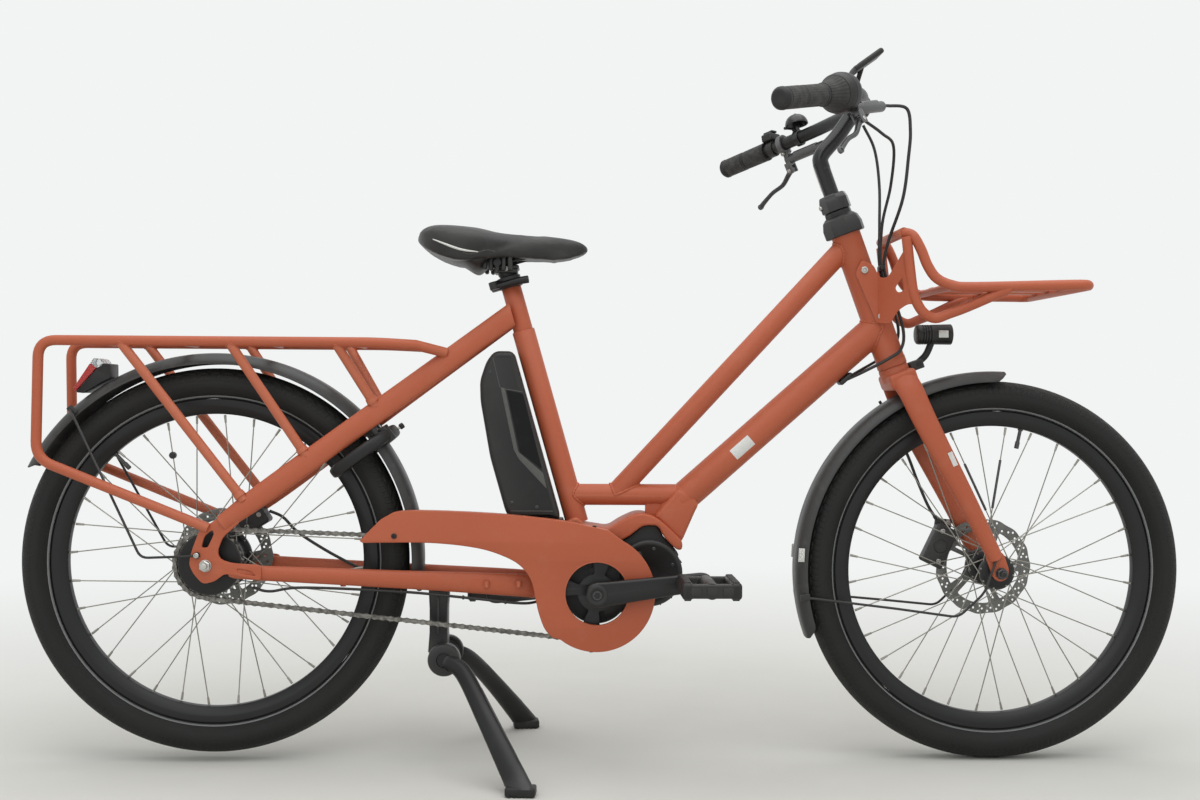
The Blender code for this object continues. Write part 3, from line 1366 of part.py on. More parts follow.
def grip(long):
    """Rubber grip with a closed end."""
    bore = BAR_R + GRIP_CLEAR
    body = rod(Vector((0, 0, 0.0)), Vector((0, 0, long)), GRIP_R, 16)
    cap = rod(Vector((0, 0, -0.004)), Vector((0, 0, 0.001)), GRIP_R * 0.86, 16, GRIP_R)
    hole = rod(Vector((0, 0, 0.0035)), Vector((0, 0, long + 0.01)), bore, 16)
    return cut(joined(body, cap), hole)


def shifter():
    """Twist shifter: a sleeve that flares towards its drum."""
    bore = BAR_R + GRIP_CLEAR
    z0 = RIGHT_GRIP_LONG + FIT
    z1 = z0 + SHIFTER_LONG
    profile = [
        (bore, z1), (0.0280, z1), (0.0310, z1 - 0.010), (0.0310, z1 - 0.022), (0.0260, z1 - 0.036), (0.0195, z1 - 0.052),
        (0.0175, z0), (bore, z0),
    ]
    return sleeve(profile)


BRAKE_CLAMP_LEFT = 0.136
BRAKE_CLAMP_HALF = 0.005
BRAKE_CLAMP_RIGHT = RIGHT_GRIP_LONG + SHIFTER_LONG + 2 * FIT + BRAKE_CLAMP_HALF
LEVER_REACH = 0.043
CYLINDER_LONG = 0.086


def brake_body(z):
    """Brake lever's body: clamp ring, cylinder along the bar and the pivot's fork."""
    bore = BAR_R + GRIP_CLEAR
    half = BRAKE_CLAMP_HALF
    ring = rod(Vector((0, 0, z - half)), Vector((0, 0, z + half)), 0.0170, 12)
    neck = box(Vector((0.022, 0.0, z)), (0.022, 0.014, 2 * half))
    cylinder = rod(Vector((0.028, 0.0, z - half)), Vector((0.028, 0.0, z + CYLINDER_LONG)), 0.0085, 10)
    ears = [box(Vector((LEVER_REACH, y, z - 0.002)), (0.020, 0.003, 0.014)) for y in (-0.0068, 0.0068)]
    web = box(Vector((0.033, 0.0, z)), (0.010, 0.0166, 2 * half))
    hole = rod(Vector((0, 0, z - 0.02)), Vector((0, 0, z + 0.02)), bore, 16)
    return cut(joined(cylinder, neck, ring, web, *ears), hole)


def brake_lever(z):
    """Lever blade with its pivot pin between the body's ears."""
    root = Vector((LEVER_REACH + 0.004, 0.0, z - 0.003))
    path = smooth([
        root, root + Vector((0.008, 0, -0.012)), root + Vector((0.020, 0, -0.030)), root + Vector((0.026, 0, -0.056)),
        root + Vector((0.036, 0, -0.080)), root + Vector((0.042, 0, -0.092)),
    ], 2)
    radii = [0.0045] * len(path)
    boss = rod(root - Vector((0, 0.0050, 0)), root + Vector((0, 0.0050, 0)), 0.0055, 10)
    return joined(tube(path, 0.0045, 6, radii), boss)


def lever_pin(z, side):
    """Where a brake lever turns."""
    local = Vector((LEVER_REACH + 0.004, 0.0, z - 0.003))
    return at_left(grip_place() @ local, side)


def display():
    """Display: a slim slab tilted to the rider on an arm from the bar."""
    tilt = Matrix.Rotation(-radians(36), 3, LEFT)
    slab = box(fore(-0.0469, 0.4966), (0.056, 0.050, 0.009), tilt, 0.003)
    ring = rod(BAR_MIDDLE + 0.025 * LEFT, BAR_MIDDLE + 0.033 * LEFT, 0.0165, 16)
    arm = tube([BAR_MIDDLE + Vector((0.004, 0.0292, 0.0135)), fore(-0.0559, 0.4646, 0.0292), fore(-0.0509, 0.4926, 0.012)], 0.0038, 8)
    hole = rod(BAR_MIDDLE + 0.02 * LEFT, BAR_MIDDLE + 0.036 * LEFT, BAR_CLAMP_R + 2 * FIT, 16)
    return cut(joined(slab, arm, ring), hole)


BELL_Z = 0.172
BELL_POST_R = 0.004
STRIKER_R = 0.0035
SWITCH_Z = LEFT_GRIP_LONG + 0.0125


def bell():
    """Bell: a dome on a clamp ring, above the bar."""
    ring = rod(Vector((0, 0, BELL_Z - 0.005)), Vector((0, 0, BELL_Z + 0.005)), 0.0145, 16)
    up = bell_up()
    post = rod(up * 0.010 + Vector((0, 0, BELL_Z)), up * 0.026 + Vector((0, 0, BELL_Z)), BELL_POST_R, 8)
    dome_at = up * 0.024 + Vector((0, 0, BELL_Z))
    dome = turned([(0.0, 0.019), (0.011, 0.016), (0.018, 0.010), (0.0205, 0.0), (0.0, 0.0)], frame_along(dome_at, up, Vector((0, 0, 1))), 18)
    hole = rod(Vector((0, 0, BELL_Z - 0.02)), Vector((0, 0, BELL_Z + 0.02)), BAR_R + GRIP_CLEAR, 16)
    return cut(joined(ring, post, dome), hole)


def bell_up():
    """World up in the grip's own frame, square to the grip."""
    local = grip_place().to_3x3().inverted() @ UP
    local.z = 0.0
    return local.normalized()


def striker_place():
    """Where the bell's striker turns, beside the post."""
    return bell_up() * 0.0188 + Vector((0, 0, BELL_Z - BELL_POST_R - STRIKER_R - FIT))


def bell_striker():
    """Small thumb lever under the dome's edge."""
    place = striker_place()
    back = bell_up().cross(Vector((0, 0, 1)))
    arm = rod(place, place - back * 0.022 - Vector((0, 0, 0.004)), 0.002, 6)
    knob = rod(place - bell_up() * 0.0030, place + bell_up() * 0.0030, STRIKER_R, 8)
    return joined(knob, arm)


def assist_switch():
    """Assist switch: a small housing beside the left grip."""
    ring = rod(Vector((0, 0, SWITCH_Z - 0.006)), Vector((0, 0, SWITCH_Z + 0.006)), 0.0145, 16)
    up = bell_up()
    turn = frame_along(Vector(), up, Vector((0, 0, 1))).to_3x3()
    body = box(Vector((0, 0, SWITCH_Z)) + up * 0.020, (0.022, 0.030, 0.014), turn, 0.002)
    hole = rod(Vector((0, 0, SWITCH_Z - 0.02)), Vector((0, 0, SWITCH_Z + 0.02)), BAR_R + GRIP_CLEAR, 16)
    return cut(joined(body, ring), hole)


def rocker_place():
    """Middle of the switch's rocker, on top of its housing."""
    return Vector((0, 0, SWITCH_Z)) + bell_up() * (0.027 + FIT)


def assist_rocker():
    """Rocker with two ends, curved below so that it can tip."""
    up = bell_up()
    turn = frame_along(Vector(), up, Vector((0, 0, 1)))
    profile = [Vector((-0.010, 0, 0.0016)), Vector((-0.002, 0, 0.0)), Vector((0.002, 0, 0.0)), Vector((0.010, 0, 0.0016)),
               Vector((0.010, 0, 0.0046)), Vector((-0.010, 0, 0.0046))]
    button = plate(profile, -0.007, 0.007)
    stand = Matrix.Translation(rocker_place()) @ turn
    return placed(button, stand)


def make_bars():
    piece("stem", stem(), BLACK_METAL, STEERING)
    piece("handlebar", handlebar(), BLACK_METAL, STEERING)
    piece("grip_left", on_grip(grip(LEFT_GRIP_LONG), 1), RUBBER, STEERING)
    piece("grip_right", on_grip(grip(RIGHT_GRIP_LONG), -1), RUBBER, STEERING)
    twist = pivot("shifter_axis", at_left(BAR_END + RIGHT_GRIP_LONG * GRIP_AXIS, -1), STEERING)
    piece("twist_shifter", on_grip(shifter(), -1), RUBBER, twist)
    for side, name, z in ((1, "left", BRAKE_CLAMP_LEFT), (-1, "right", BRAKE_CLAMP_RIGHT)):
        piece("brake_body_" + name, on_grip(brake_body(z), side), BLACK_METAL, STEERING)
        pin = pivot("brake_axis_" + name, lever_pin(z, side), STEERING)
        piece("brake_lever_" + name, on_grip(brake_lever(z), side), BLACK_METAL, pin)
    piece("display", display(), BLACK_PLASTIC, STEERING)
    piece("bell", on_grip(bell(), 1), BLACK_METAL, STEERING)
    striker = pivot("striker_axis", grip_place() @ striker_place(), STEERING)
    piece("bell_striker", on_grip(bell_striker(), 1), BLACK_METAL, striker)
    piece("assist_switch", on_grip(assist_switch(), 1), BLACK_PLASTIC, STEERING)
    rocker = pivot("rocker_axis", grip_place() @ rocker_place(), STEERING)
    piece("assist_rocker", on_grip(assist_rocker(), 1), BLACK_PLASTIC, rocker)
    piece("headset_upper", headset_upper(), BLACK_METAL)


def make_front_end():
    piece("fork", fork(), FRAME_PAINT, STEERING)
    body = box(front(-0.0740, 0.034, 0.042), (0.036, 0.028, 0.070), Matrix.Rotation(0.45, 3, LEFT), 0.004)
    slot = disc(FRONT, ROTOR_R + 0.003, FRONT_ROTOR_Y - 0.0025, FRONT_ROTOR_Y + 0.0025, 24)
    arm = box(front(-0.0635, 0.0705, 0.0515), (0.028, 0.0072, 0.0146), Matrix.Rotation(0.12, 3, LEFT))
    piece("front_caliper", cut(joined(body, arm), slot), BLACK_METAL, STEERING)
    bracket = headlight_bracket()
    piece("headlight_bracket", bracket, BLACK_PLASTIC, STEERING)
    tilt = pivot("headlight_axis", LAMP_HINGE, STEERING)
    piece("headlight", headlight(), BLACK_PLASTIC, tilt)
    hose = smooth([
        head(HEAD_BOTTOM - 0.050, -0.030, 0.040), front(-0.130, 0.196, 0.050), front(-0.108, 0.142, 0.050), front(-0.090, 0.100, 0.048),
        front(-0.0764, 0.0782, 0.0451),
    ], 2)
    piece("front_hose", tube(hose, 0.0025, 6), RUBBER, STEERING)


LAMP_S = HEAD_BOTTOM - 0.010
LAMP_OUT = 0.041
LAMP_HINGE = head(LAMP_S, LAMP_OUT)
LAMP_PIN_R = 0.0022


def grown(item, amount):
    """Swell a working shape along its normals, for a cutter that leaves a gap."""
    bm = bmesh.new()
    bm.from_mesh(item.data)
    bm.normal_update()
    for corner in bm.verts:
        corner.co += corner.normal * amount * corner.calc_shell_factor()
    bm.to_mesh(item.data)
    bm.free()
    return item


def headlight_bracket():
    """Plate on the crown's front with two ears and the lamp's hinge pin."""
    turn = Matrix.Rotation(-HEAD_ANGLE, 3, LEFT)
    plate_half = 0.0022
    foot = box(head(HEAD_BOTTOM - 0.0225, 0.025 + FIT + plate_half), (2 * plate_half, 0.0250, 0.0210), turn)
    middle = (0.025 + FIT + plate_half + LAMP_OUT) / 2 + 0.0025
    ears = [box(head(LAMP_S - 0.001, middle, side * 0.0094), (0.0215, 0.0036, 0.0150), turn) for side in (1, -1)]
    pin = disc(LAMP_HINGE, LAMP_PIN_R, -0.0085, 0.0085, 8)
    return joined(foot, *ears, pin)


def headlight():
    """Lamp drum on an arm that tilts between the bracket's ears."""
    bore = disc(LAMP_HINGE, LAMP_PIN_R + 0.0008, -0.0080, 0.0080, 8)
    knuckle = disc(LAMP_HINGE, 0.0068, -0.0072, 0.0072, 12)
    arm = tube([LAMP_HINGE + Vector((0.004, 0, 0.0035)), LAMP_HINGE + Vector((0.014, 0, 0.016)), LAMP_HINGE + Vector((0.024, 0, 0.044))], 0.0055, 8)
    rear_end = LAMP_HINGE + Vector((-0.004, 0, 0.0488))
    lens_end = LAMP_HINGE + Vector((0.054, 0, 0.0500))
    drum = rod(rear_end, lens_end, 0.0162, 20, 0.0172)
    return cut(joined(drum, arm, knuckle), bore)


def make_lock():
    run = seat(STAY_S) - rear(0.024, 0.0655)
    centre = REAR + LOCK_MIDDLE * Vector((run.x, 0.0, run.z)).normalized()
    radial = (centre - REAR).normalized()
    tangent = radial.cross(LEFT).normalized()

    def ring(degrees, radius):
        """A point of the lock's ring, 90 outwards from the axle, 180 to the left."""
        turn = radians(degrees)
        return centre + radius * (cos(turn) * -LEFT + sin(turn) * radial)

    path = [ring(a, LOCK_R) for a in range(-47, 229, 25)]
    case = tube(path, LOCK_CASE_R, 8)
    barrel = rod(ring(62, LOCK_R) - tangent * 0.013, ring(62, LOCK_R) + tangent * 0.013, 0.011, 10)
    feet = []
    stays = []
    for side in (1, -1):
        root = ring(90 + side * 44.2, LOCK_R)
        feet.append(rod(root, root + tangent * 0.040, 0.0048, 6))
        stays.append(sided(grown(seat_side_stay(), FIT), side))
    tunnel = tube([ring(a, LOCK_R) for a in range(-60, 241, 15)], SHACKLE_R + SHACKLE_CLEAR, 8)
    groove = tube([ring(a, LOCK_R + 0.0085) for a in range(93, 222, 16)], 0.0064, 6)
    case = cut(joined(case, barrel, *feet), tunnel, groove, *stays)
    piece("ring_lock_case", case, BLACK_PLASTIC)
    hinge = pivot("shackle_axis", centre)
    bow = tube([ring(a, LOCK_R) for a in range(99, 220, 12)], SHACKLE_R, 6)
    knob = rod(ring(105, LOCK_R), ring(105, LOCK_R + 0.018), 0.0024, 6)
    piece("ring_lock_shackle", joined(bow, knob), BRIGHT_METAL, hinge)


LIGHT_THICK = 0.026


def rear_light():
    """Rear light on the mudguard's tail."""
    at = polar(REAR, REAR_GUARD_R + GUARD_THICK / 2 + FIT + LIGHT_THICK / 2, 122)
    turn = Matrix.Rotation(-radians(122 - 90), 3, LEFT)
    return box(at, (0.046, 0.044, LIGHT_THICK), turn, 0.005)


def rear_caliper():
    """Rear caliper inside the left drop-out."""
    place = rear(0.049, 0.0605, 0.0500)
    body = box(place, (0.046, 0.037, 0.030), Matrix.Rotation(-0.55, 3, LEFT), 0.003)
    slot = disc(REAR, ROTOR_R + 0.003, REAR_ROTOR_Y - 0.0025, REAR_ROTOR_Y + 0.0025, 36)
    return cut(body, slot, grown(seat_side_stay(), 3 * FIT), grown(dropout(), FIT))


def rear_cables():
    """Shift cable and brake hose along the chain stays, from one clip under the hood."""
    clip = box(crank(-0.088, -0.0165 - FIT), (0.010, 0.052, 0.006))
    shift = smooth([
        crank(-0.088, -0.0165, -0.022), crank(-0.120, -0.019, -0.034), crank(-0.200, -0.010, -0.040), rear(0.300, -0.0445, -0.045),
        rear(0.150, -0.036, -0.060), rear(0.098, -0.041, -0.0655), rear(0.070, -0.036, -0.0600),
    ], 2)
    hose = smooth([
        crank(-0.088, -0.0165, 0.022), crank(-0.120, -0.019, 0.034), crank(-0.200, -0.010, 0.040), rear(0.300, -0.0445, 0.045),
        rear(0.160, -0.036, 0.054), rear(0.128, -0.020, 0.0490), rear(0.118, 0.010, 0.0480), rear(0.106, 0.045, 0.050),
        rear(0.094, 0.078, 0.054), rear(0.0715, 0.0742, 0.056),
    ], 2)
    return joined(clip, tube(shift, 0.0022, 6), tube(hose, 0.0025, 6))


def port_place():
    """Middle of the cable port's grommet under the down tube."""
    run = (head(DOWN_TUBE_S) - crank(LEVEL_FRONT, LEVEL_HIGH)).normalized()
    below = Vector((run.z, 0.0, -run.x))
    return head(DOWN_TUBE_S) - 0.098 * run + (DOWN_TUBE_R + FIT + 0.004) * below, run


def bar_cables():
    """Cables from the bars, gathered ahead of the head tube, into the frame's port."""
    port, run = port_place()
    nozzle = at_left(grip_place() @ Vector((0.028, 0.0, BRAKE_CLAMP_RIGHT + CYLINDER_LONG + 4 * FIT)), -1)
    away = at_left(GRIP_AXIS, -1)
    brake = smooth([
        nozzle, nozzle + 0.016 * away, fore(-0.0019, 0.4036, -0.086), fore(0.0041, 0.3696, -0.086), fore(0.0021, 0.3296, -0.084),
        fore(-0.0029, 0.2646, -0.070), fore(-0.0159, 0.1996, -0.030), fore(-0.0189, 0.1596, -0.0165),
        head(HEAD_BOTTOM + 0.112, 0.036, -0.016), head(HEAD_BOTTOM + 0.052, 0.033, -0.016), head(HEAD_BOTTOM + 0.024, 0.016, -0.029), head(HEAD_BOTTOM + 0.016, -0.010, -0.034),
        fore(-0.0529, -0.0094, -0.024), port + Vector((0.002, -0.008, -0.001)),
    ], 2)
    shift = smooth([
        fore(-0.0849, 0.3796, -0.128), fore(-0.0469, 0.3596, -0.110), fore(-0.0209, 0.3446, -0.080),
        fore(-0.0149, 0.2896, -0.040), fore(-0.0219, 0.2296, -0.014), fore(-0.0219, 0.1596, -0.0085),
        head(HEAD_BOTTOM + 0.112, 0.034, -0.006),
    ], 2)
    lead = smooth([
        fore(-0.0444, 0.3996, 0.029), fore(-0.0249, 0.3596, 0.030), fore(-0.0189, 0.2996, 0.020),
        fore(-0.0219, 0.2296, 0.004), fore(-0.0219, 0.1596, -0.0005), head(HEAD_BOTTOM + 0.112, 0.035, 0.004),
        head(HEAD_BOTTOM + 0.052, 0.033, 0.014), head(HEAD_BOTTOM + 0.024, 0.016, 0.030), head(HEAD_BOTTOM + 0.016, -0.010, 0.034),
        fore(-0.0529, -0.0094, 0.024), port + Vector((0.002, 0.008, -0.001)),
    ], 2)
    tie = box(fore(-0.0214, 0.1596, -0.0085), (0.008, 0.024, 0.012))
    lower_tie = box(head(HEAD_BOTTOM + 0.110, 0.0350, -0.006), (0.009, 0.026, 0.010))
    lean = atan2(run.z, run.x)
    grommet = box(port, (0.022, 0.028, 0.008), Matrix.Rotation(-lean, 3, LEFT))
    return joined(tie, tube(brake, 0.0026, 6), tube(shift, 0.0026, 6), tube(lead, 0.0026, 6), lower_tie, grommet)


def make_small_pieces():
    piece("rear_light", rear_light(), RED_LENS)
    piece("rear_caliper", rear_caliper(), BLACK_METAL)
    piece("rear_cables", rear_cables(), RUBBER)
    piece("bar_cables", bar_cables(), RUBBER)


make_main_frame()
make_rear_frame()
make_front_rack()
make_wheels()
make_drive()
make_motor_and_case()
make_battery()
make_saddle()
make_stand()
make_mudguards()
make_front_end()
make_bars()
make_lock()
make_small_pieces()
bpy.data.collections.remove(WORK)
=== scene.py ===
from math import atan2, cos, pi, radians, sin, sqrt, tau
import bmesh
import bpy
from mathutils import Matrix, Vector


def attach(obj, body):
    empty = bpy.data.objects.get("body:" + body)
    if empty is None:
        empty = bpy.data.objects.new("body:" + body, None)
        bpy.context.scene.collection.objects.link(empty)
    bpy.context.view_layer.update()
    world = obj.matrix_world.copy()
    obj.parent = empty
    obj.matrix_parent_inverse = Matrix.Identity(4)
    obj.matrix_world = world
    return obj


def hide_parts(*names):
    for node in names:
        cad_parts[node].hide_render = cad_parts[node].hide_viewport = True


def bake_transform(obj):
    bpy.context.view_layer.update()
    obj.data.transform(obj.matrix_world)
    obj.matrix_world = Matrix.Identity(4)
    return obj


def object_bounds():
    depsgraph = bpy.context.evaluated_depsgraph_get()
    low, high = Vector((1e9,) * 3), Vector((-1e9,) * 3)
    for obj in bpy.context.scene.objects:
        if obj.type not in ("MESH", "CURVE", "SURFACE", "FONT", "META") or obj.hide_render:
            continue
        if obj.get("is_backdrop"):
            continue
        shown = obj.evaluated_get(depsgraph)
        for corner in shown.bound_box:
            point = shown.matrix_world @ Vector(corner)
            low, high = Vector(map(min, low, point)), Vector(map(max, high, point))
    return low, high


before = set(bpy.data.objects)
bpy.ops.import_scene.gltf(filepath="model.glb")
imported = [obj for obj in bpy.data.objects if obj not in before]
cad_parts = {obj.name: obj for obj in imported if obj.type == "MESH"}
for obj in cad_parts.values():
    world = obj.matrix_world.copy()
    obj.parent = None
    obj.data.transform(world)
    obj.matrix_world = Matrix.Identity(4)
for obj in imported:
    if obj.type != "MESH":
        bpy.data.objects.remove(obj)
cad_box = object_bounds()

# The room: the bicycle stands on a pale painted floor that rises into a white wall behind it.
# A long lens looks square at the drive side, and soft light comes from above and all round.
ahead = Vector((sin(0.0348) * cos(0.0057), cos(0.0348) * cos(0.0057), -sin(0.0057)))
aside = ahead.cross(Vector((0, 0, 1))).normalized()
lens = bpy.data.cameras.new("photo_camera")
lens.lens = 40.4
lens.sensor_width = 36
eye = bpy.data.objects.new("photo_camera", lens)
bpy.context.scene.collection.objects.link(eye)
facing = Matrix((aside, aside.cross(ahead), -ahead)).transposed().to_4x4()
eye.matrix_world = Matrix.Translation((-0.09, -2.188, 0.595)) @ Matrix.Rotation(-0.006, 4, ahead) @ facing
bpy.context.scene.camera = eye
bpy.context.scene.view_settings.view_transform = "Standard"


def rgb(red, green, blue):
    """A colour as a paint chart gives it, 0 to 255, for a shader."""
    return tuple((c / 255 / 12.92 if c < 10.3 else ((c / 255 + 0.055) / 1.055) ** 2.4)
        for c in (red, green, blue)) + (1,)


class Wire:
    """One value on its way through a finish, so that shader maths reads as plain sums."""

    def __init__(self, finish, socket):
        self.finish, self.socket = finish, socket

    def maths(self, kind, *values):
        return self.finish.node("ShaderNodeMath", {"operation": kind}, dict(enumerate(values)))

    def __add__(self, other):
        return self.maths("ADD", self, other)

    def __sub__(self, other):
        return self.maths("SUBTRACT", self, other)

    def __rsub__(self, other):
        return self.maths("SUBTRACT", other, self)

    def __mul__(self, other):
        return self.maths("MULTIPLY", self, other)

    def __pow__(self, other):
        return self.maths("POWER", self, other)

    __radd__ = __add__
    __rmul__ = __mul__

    def between(self, low, high):
        """0 below low, 1 above high, and a smooth rise from one to the other."""
        return self.finish.node("ShaderNodeMapRange", {"interpolation_type": "SMOOTHSTEP"},
            {0: self, 1: low, 2: high, 3: 0, 4: 1})


class Finish:
    """A material: one principled shader, with what varies over the surface linked into it."""

    def __init__(self, name, slot="", shader="ShaderNodeBsdfPrincipled", **fixed):
        self.made = bpy.data.materials.new(name)
        self.made.use_nodes = True
        self.slot, self.tree = slot, self.made.node_tree
        self.tree.nodes.clear()
        self.shader = self.tree.nodes.new(shader)
        self.end = self.tree.nodes.new("ShaderNodeOutputMaterial")
        self.tree.links.new(self.shader.outputs[0], self.end.inputs["Surface"])
        for socket, value in fixed.items():
            self.shader.inputs[socket.replace("_", " ")].default_value = value
        self.place = self.node("ShaderNodeTexCoord", output="Object")

    def node(self, kind, settings=(), sockets=(), output=0):
        """Any node: its settings first, then the values or links of its sockets."""
        made = self.tree.nodes.new(kind)
        for name, value in dict(settings).items():
            setattr(made, name, value)
        for name, value in dict(sockets).items():
            if isinstance(value, Wire):
                self.tree.links.new(value.socket, made.inputs[name])
            else:
                made.inputs[name].default_value = value
        return Wire(self, made.outputs[output])

    def mix(self, share, one, two):
        return self.node("ShaderNodeMix", {"data_type": "RGBA"}, {0: share, 6: one, 7: two}, 2)

    def noise(self, scale, detail=3):
        return self.node("ShaderNodeTexNoise", {}, {"Vector": self.place, "Scale": scale, "Detail": detail})

    def cells(self, scale, feature="DISTANCE_TO_EDGE"):
        """Distance in a field of cells, from their walls or their middles."""
        return self.node("ShaderNodeTexVoronoi", {"feature": feature}, {"Vector": self.place, "Scale": scale},
            "Distance")

    def axis(self, index):
        return self.node("ShaderNodeSeparateXYZ", {}, {0: self.place}, index)

    def edges(self, low=0.515, high=0.56):
        """1 along raised edges, where handling wears a surface."""
        return self.node("ShaderNodeNewGeometry", output="Pointiness").between(low, high)

    def put(self, height=None, depth=0.0003, **links):
        """Link what varies: colours, roughness and the height that makes the bump."""
        for socket, value in links.items():
            self.tree.links.new(value.socket, self.shader.inputs[socket.replace("_", " ")])
        if height:
            bump = self.node("ShaderNodeBump", {}, {"Strength": 1, "Distance": depth, "Height": height})
            self.tree.links.new(bump.socket, self.shader.inputs["Normal"])

    def coat(self, cloud, grain, depth, dark, light, rough, spread, share=None):
        """A fine grain under a coat whose colour and gloss drift with a cloud."""
        self.put(grain, depth, Base_Color=self.mix(cloud if share is None else share, rgb(*dark),
            rgb(*light)), Roughness=rough + cloud * spread)


WALL = rgb(242, 244, 243)
floor_paint = Finish("painted_floor", shader="ShaderNodeBsdfDiffuse")
floor_across = floor_paint.axis(0)
floor_away = floor_paint.axis(1)
floor_far = (floor_across * floor_across * 0.55 + floor_away * floor_away) ** 0.5
scuffs = floor_paint.noise(1.7, 5).between(0.35, 0.75) * 0.5 + floor_paint.noise(9, 6) * 0.5
floor_colour = floor_paint.mix(scuffs, rgb(213, 213, 207), rgb(203, 203, 197))
floor_colour = floor_paint.mix(floor_far.between(0.1, 1.9), floor_colour, rgb(233, 234, 231))
floor_paint.tree.links.new(floor_colour.socket, floor_paint.shader.inputs["Color"])
rays = [floor_paint.node("ShaderNodeLightPath", output="Is %s Ray" % ray) for ray in ("Camera", "Glossy",
    "Transmission")]
glow = floor_paint.node("ShaderNodeEmission", {}, {"Color": WALL, "Strength": 1})
share = floor_far.between(0.75, 2.6) * (rays[0] + rays[1] + rays[2]).between(0, 1)
joint = floor_paint.node("ShaderNodeMixShader", {}, {0: share, 1: Wire(floor_paint,
    floor_paint.shader.outputs[0]), 2: glow})
floor_paint.tree.links.new(joint.socket, floor_paint.end.inputs["Surface"])

ground = bpy.data.meshes.new("floor")
ground.from_pydata([(8 * cos(tau * i / 64), 8 * sin(tau * i / 64), -0.0005) for i in range(64)], [],
    [tuple(range(64))])
ground.materials.append(floor_paint.made)
floor = bpy.data.objects.new("floor", ground)
bpy.context.scene.collection.objects.link(floor)
floor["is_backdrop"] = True

world = bpy.data.worlds.new("white_room")
world.use_nodes = True
bpy.context.scene.world = world
sky = world.node_tree
seen = sky.nodes["Background"]
seen.inputs["Color"].default_value = WALL
lit = sky.nodes.new("ShaderNodeBackground")
lit.inputs["Strength"].default_value = 0.8
path = sky.nodes.new("ShaderNodeLightPath")
either, either_too = (sky.nodes.new("ShaderNodeMath") for _ in range(2))
either.use_clamp = either_too.use_clamp = True
chosen = sky.nodes.new("ShaderNodeMixShader")
for giver, output, taker, socket in ((path, "Is Camera Ray", either, 0), (path, "Is Glossy Ray", either, 1),
        (either, 0, either_too, 0), (path, "Is Transmission Ray", either_too, 1), (either_too, 0, chosen, 0),
        (lit, 0, chosen, 1), (seen, 0, chosen, 2), (chosen, 0, sky.nodes["World Output"], "Surface")):
    sky.links.new(giver.outputs[output], taker.inputs[socket])

for name, place, aim, size, power in (("top_light", (0.2, -0.6, 3.2), (0, 0, 0.3), 3.6, 66),
        ("front_light", (-1.6, -3.4, 2.4), (0, 0, 0.5), 2.2, 14)):
    lamp = bpy.data.lights.new(name, "AREA")
    lamp.size, lamp.energy = size, power
    holder = bpy.data.objects.new(name, lamp)
    towards = (Vector(aim) - Vector(place)).to_track_quat("-Z", "Y").to_matrix().to_4x4()
    holder.matrix_world = Matrix.Translation(place) @ towards
    bpy.context.scene.collection.objects.link(holder)


# Main frame: aluminium tubes welded at the joints and powder coated in satin terracotta.
# The level tube and the arched bracket over the motor carry the low step.
UP = Vector((0, 0, 1))
LEFT = Vector((0, 1, 0))
REAR = Vector((-0.629, 0, 0.3215))
FRONT = Vector((0.629, 0, 0.3085))
CRANK = REAR + Vector((0.61, 0, -0.0455))
HEAD_ANGLE, SEAT_ANGLE = radians(20.1), radians(16)
STEER = Vector((-sin(HEAD_ANGLE), 0, cos(HEAD_ANGLE)))
STEER_OUT = Vector((STEER.z, 0, -STEER.x))
HEAD_FOOT = FRONT - 0.04 * STEER_OUT
SEAT = Vector((-sin(SEAT_ANGLE), 0, cos(SEAT_ANGLE)))
SEAT_OUT = Vector((SEAT.z, 0, -SEAT.x))


def head(s, out=0, y=0):
    """A place s along the steering axis, out in front of it."""
    return HEAD_FOOT + s * STEER + out * STEER_OUT + y * LEFT


HEAD_LOW = head(0.368)


def seat(s, out=0, y=0):
    """A place s along the seat tube from the crank."""
    return CRANK + s * SEAT + out * SEAT_OUT + y * LEFT


def near(centre, x, z, y=0):
    """A place measured from an axle."""
    return centre + Vector((x, y, z))


def fore(x, z, y=0):
    """A place measured from the head tube's lower end."""
    return near(HEAD_LOW, x, z, y)


def across(place, start, end):
    """Two places to the left of one, by their distances from it."""
    return [place + start * LEFT, place + end * LEFT]


def tipped(angle):
    """A turn in the side view that lowers the front end."""
    return Matrix.Rotation(angle, 3, "Y")


HEAD_TURN = tipped(-HEAD_ANGLE)


def mm(*rows):
    """Rows of sizes in millimetres, as metres."""
    return [tuple(size / 1000 for size in row) for row in rows]


def spots(centre, *rows):
    """Places round a point, from rows of X, Z and perhaps Y in millimetres."""
    return [near(centre, *row) for row in mm(*rows)]


def polar(centre, radius, degrees, y=0):
    """A place in the side view at a radius and an angle, 0 forward and 90 up."""
    return centre + Vector((radius * cos(radians(degrees)), y, radius * sin(radians(degrees))))


def arc(centre, radius, first, last, steps):
    return [polar(centre, radius, first + (last - first) * i / steps) for i in range(steps + 1)]


def along(start, axis, towards=UP):
    """A frame at start with its Z along axis and its X nearest to towards."""
    z = Vector(axis).normalized()
    if abs(z.dot(towards)) > 0.98:
        towards = Vector((1, 0, 0)) if abs(z.x) < 0.9 else LEFT
    x = (towards - towards.dot(z) * z).normalized()
    return Matrix.Translation(start) @ Matrix((x, z.cross(x), z)).transposed().to_4x4()


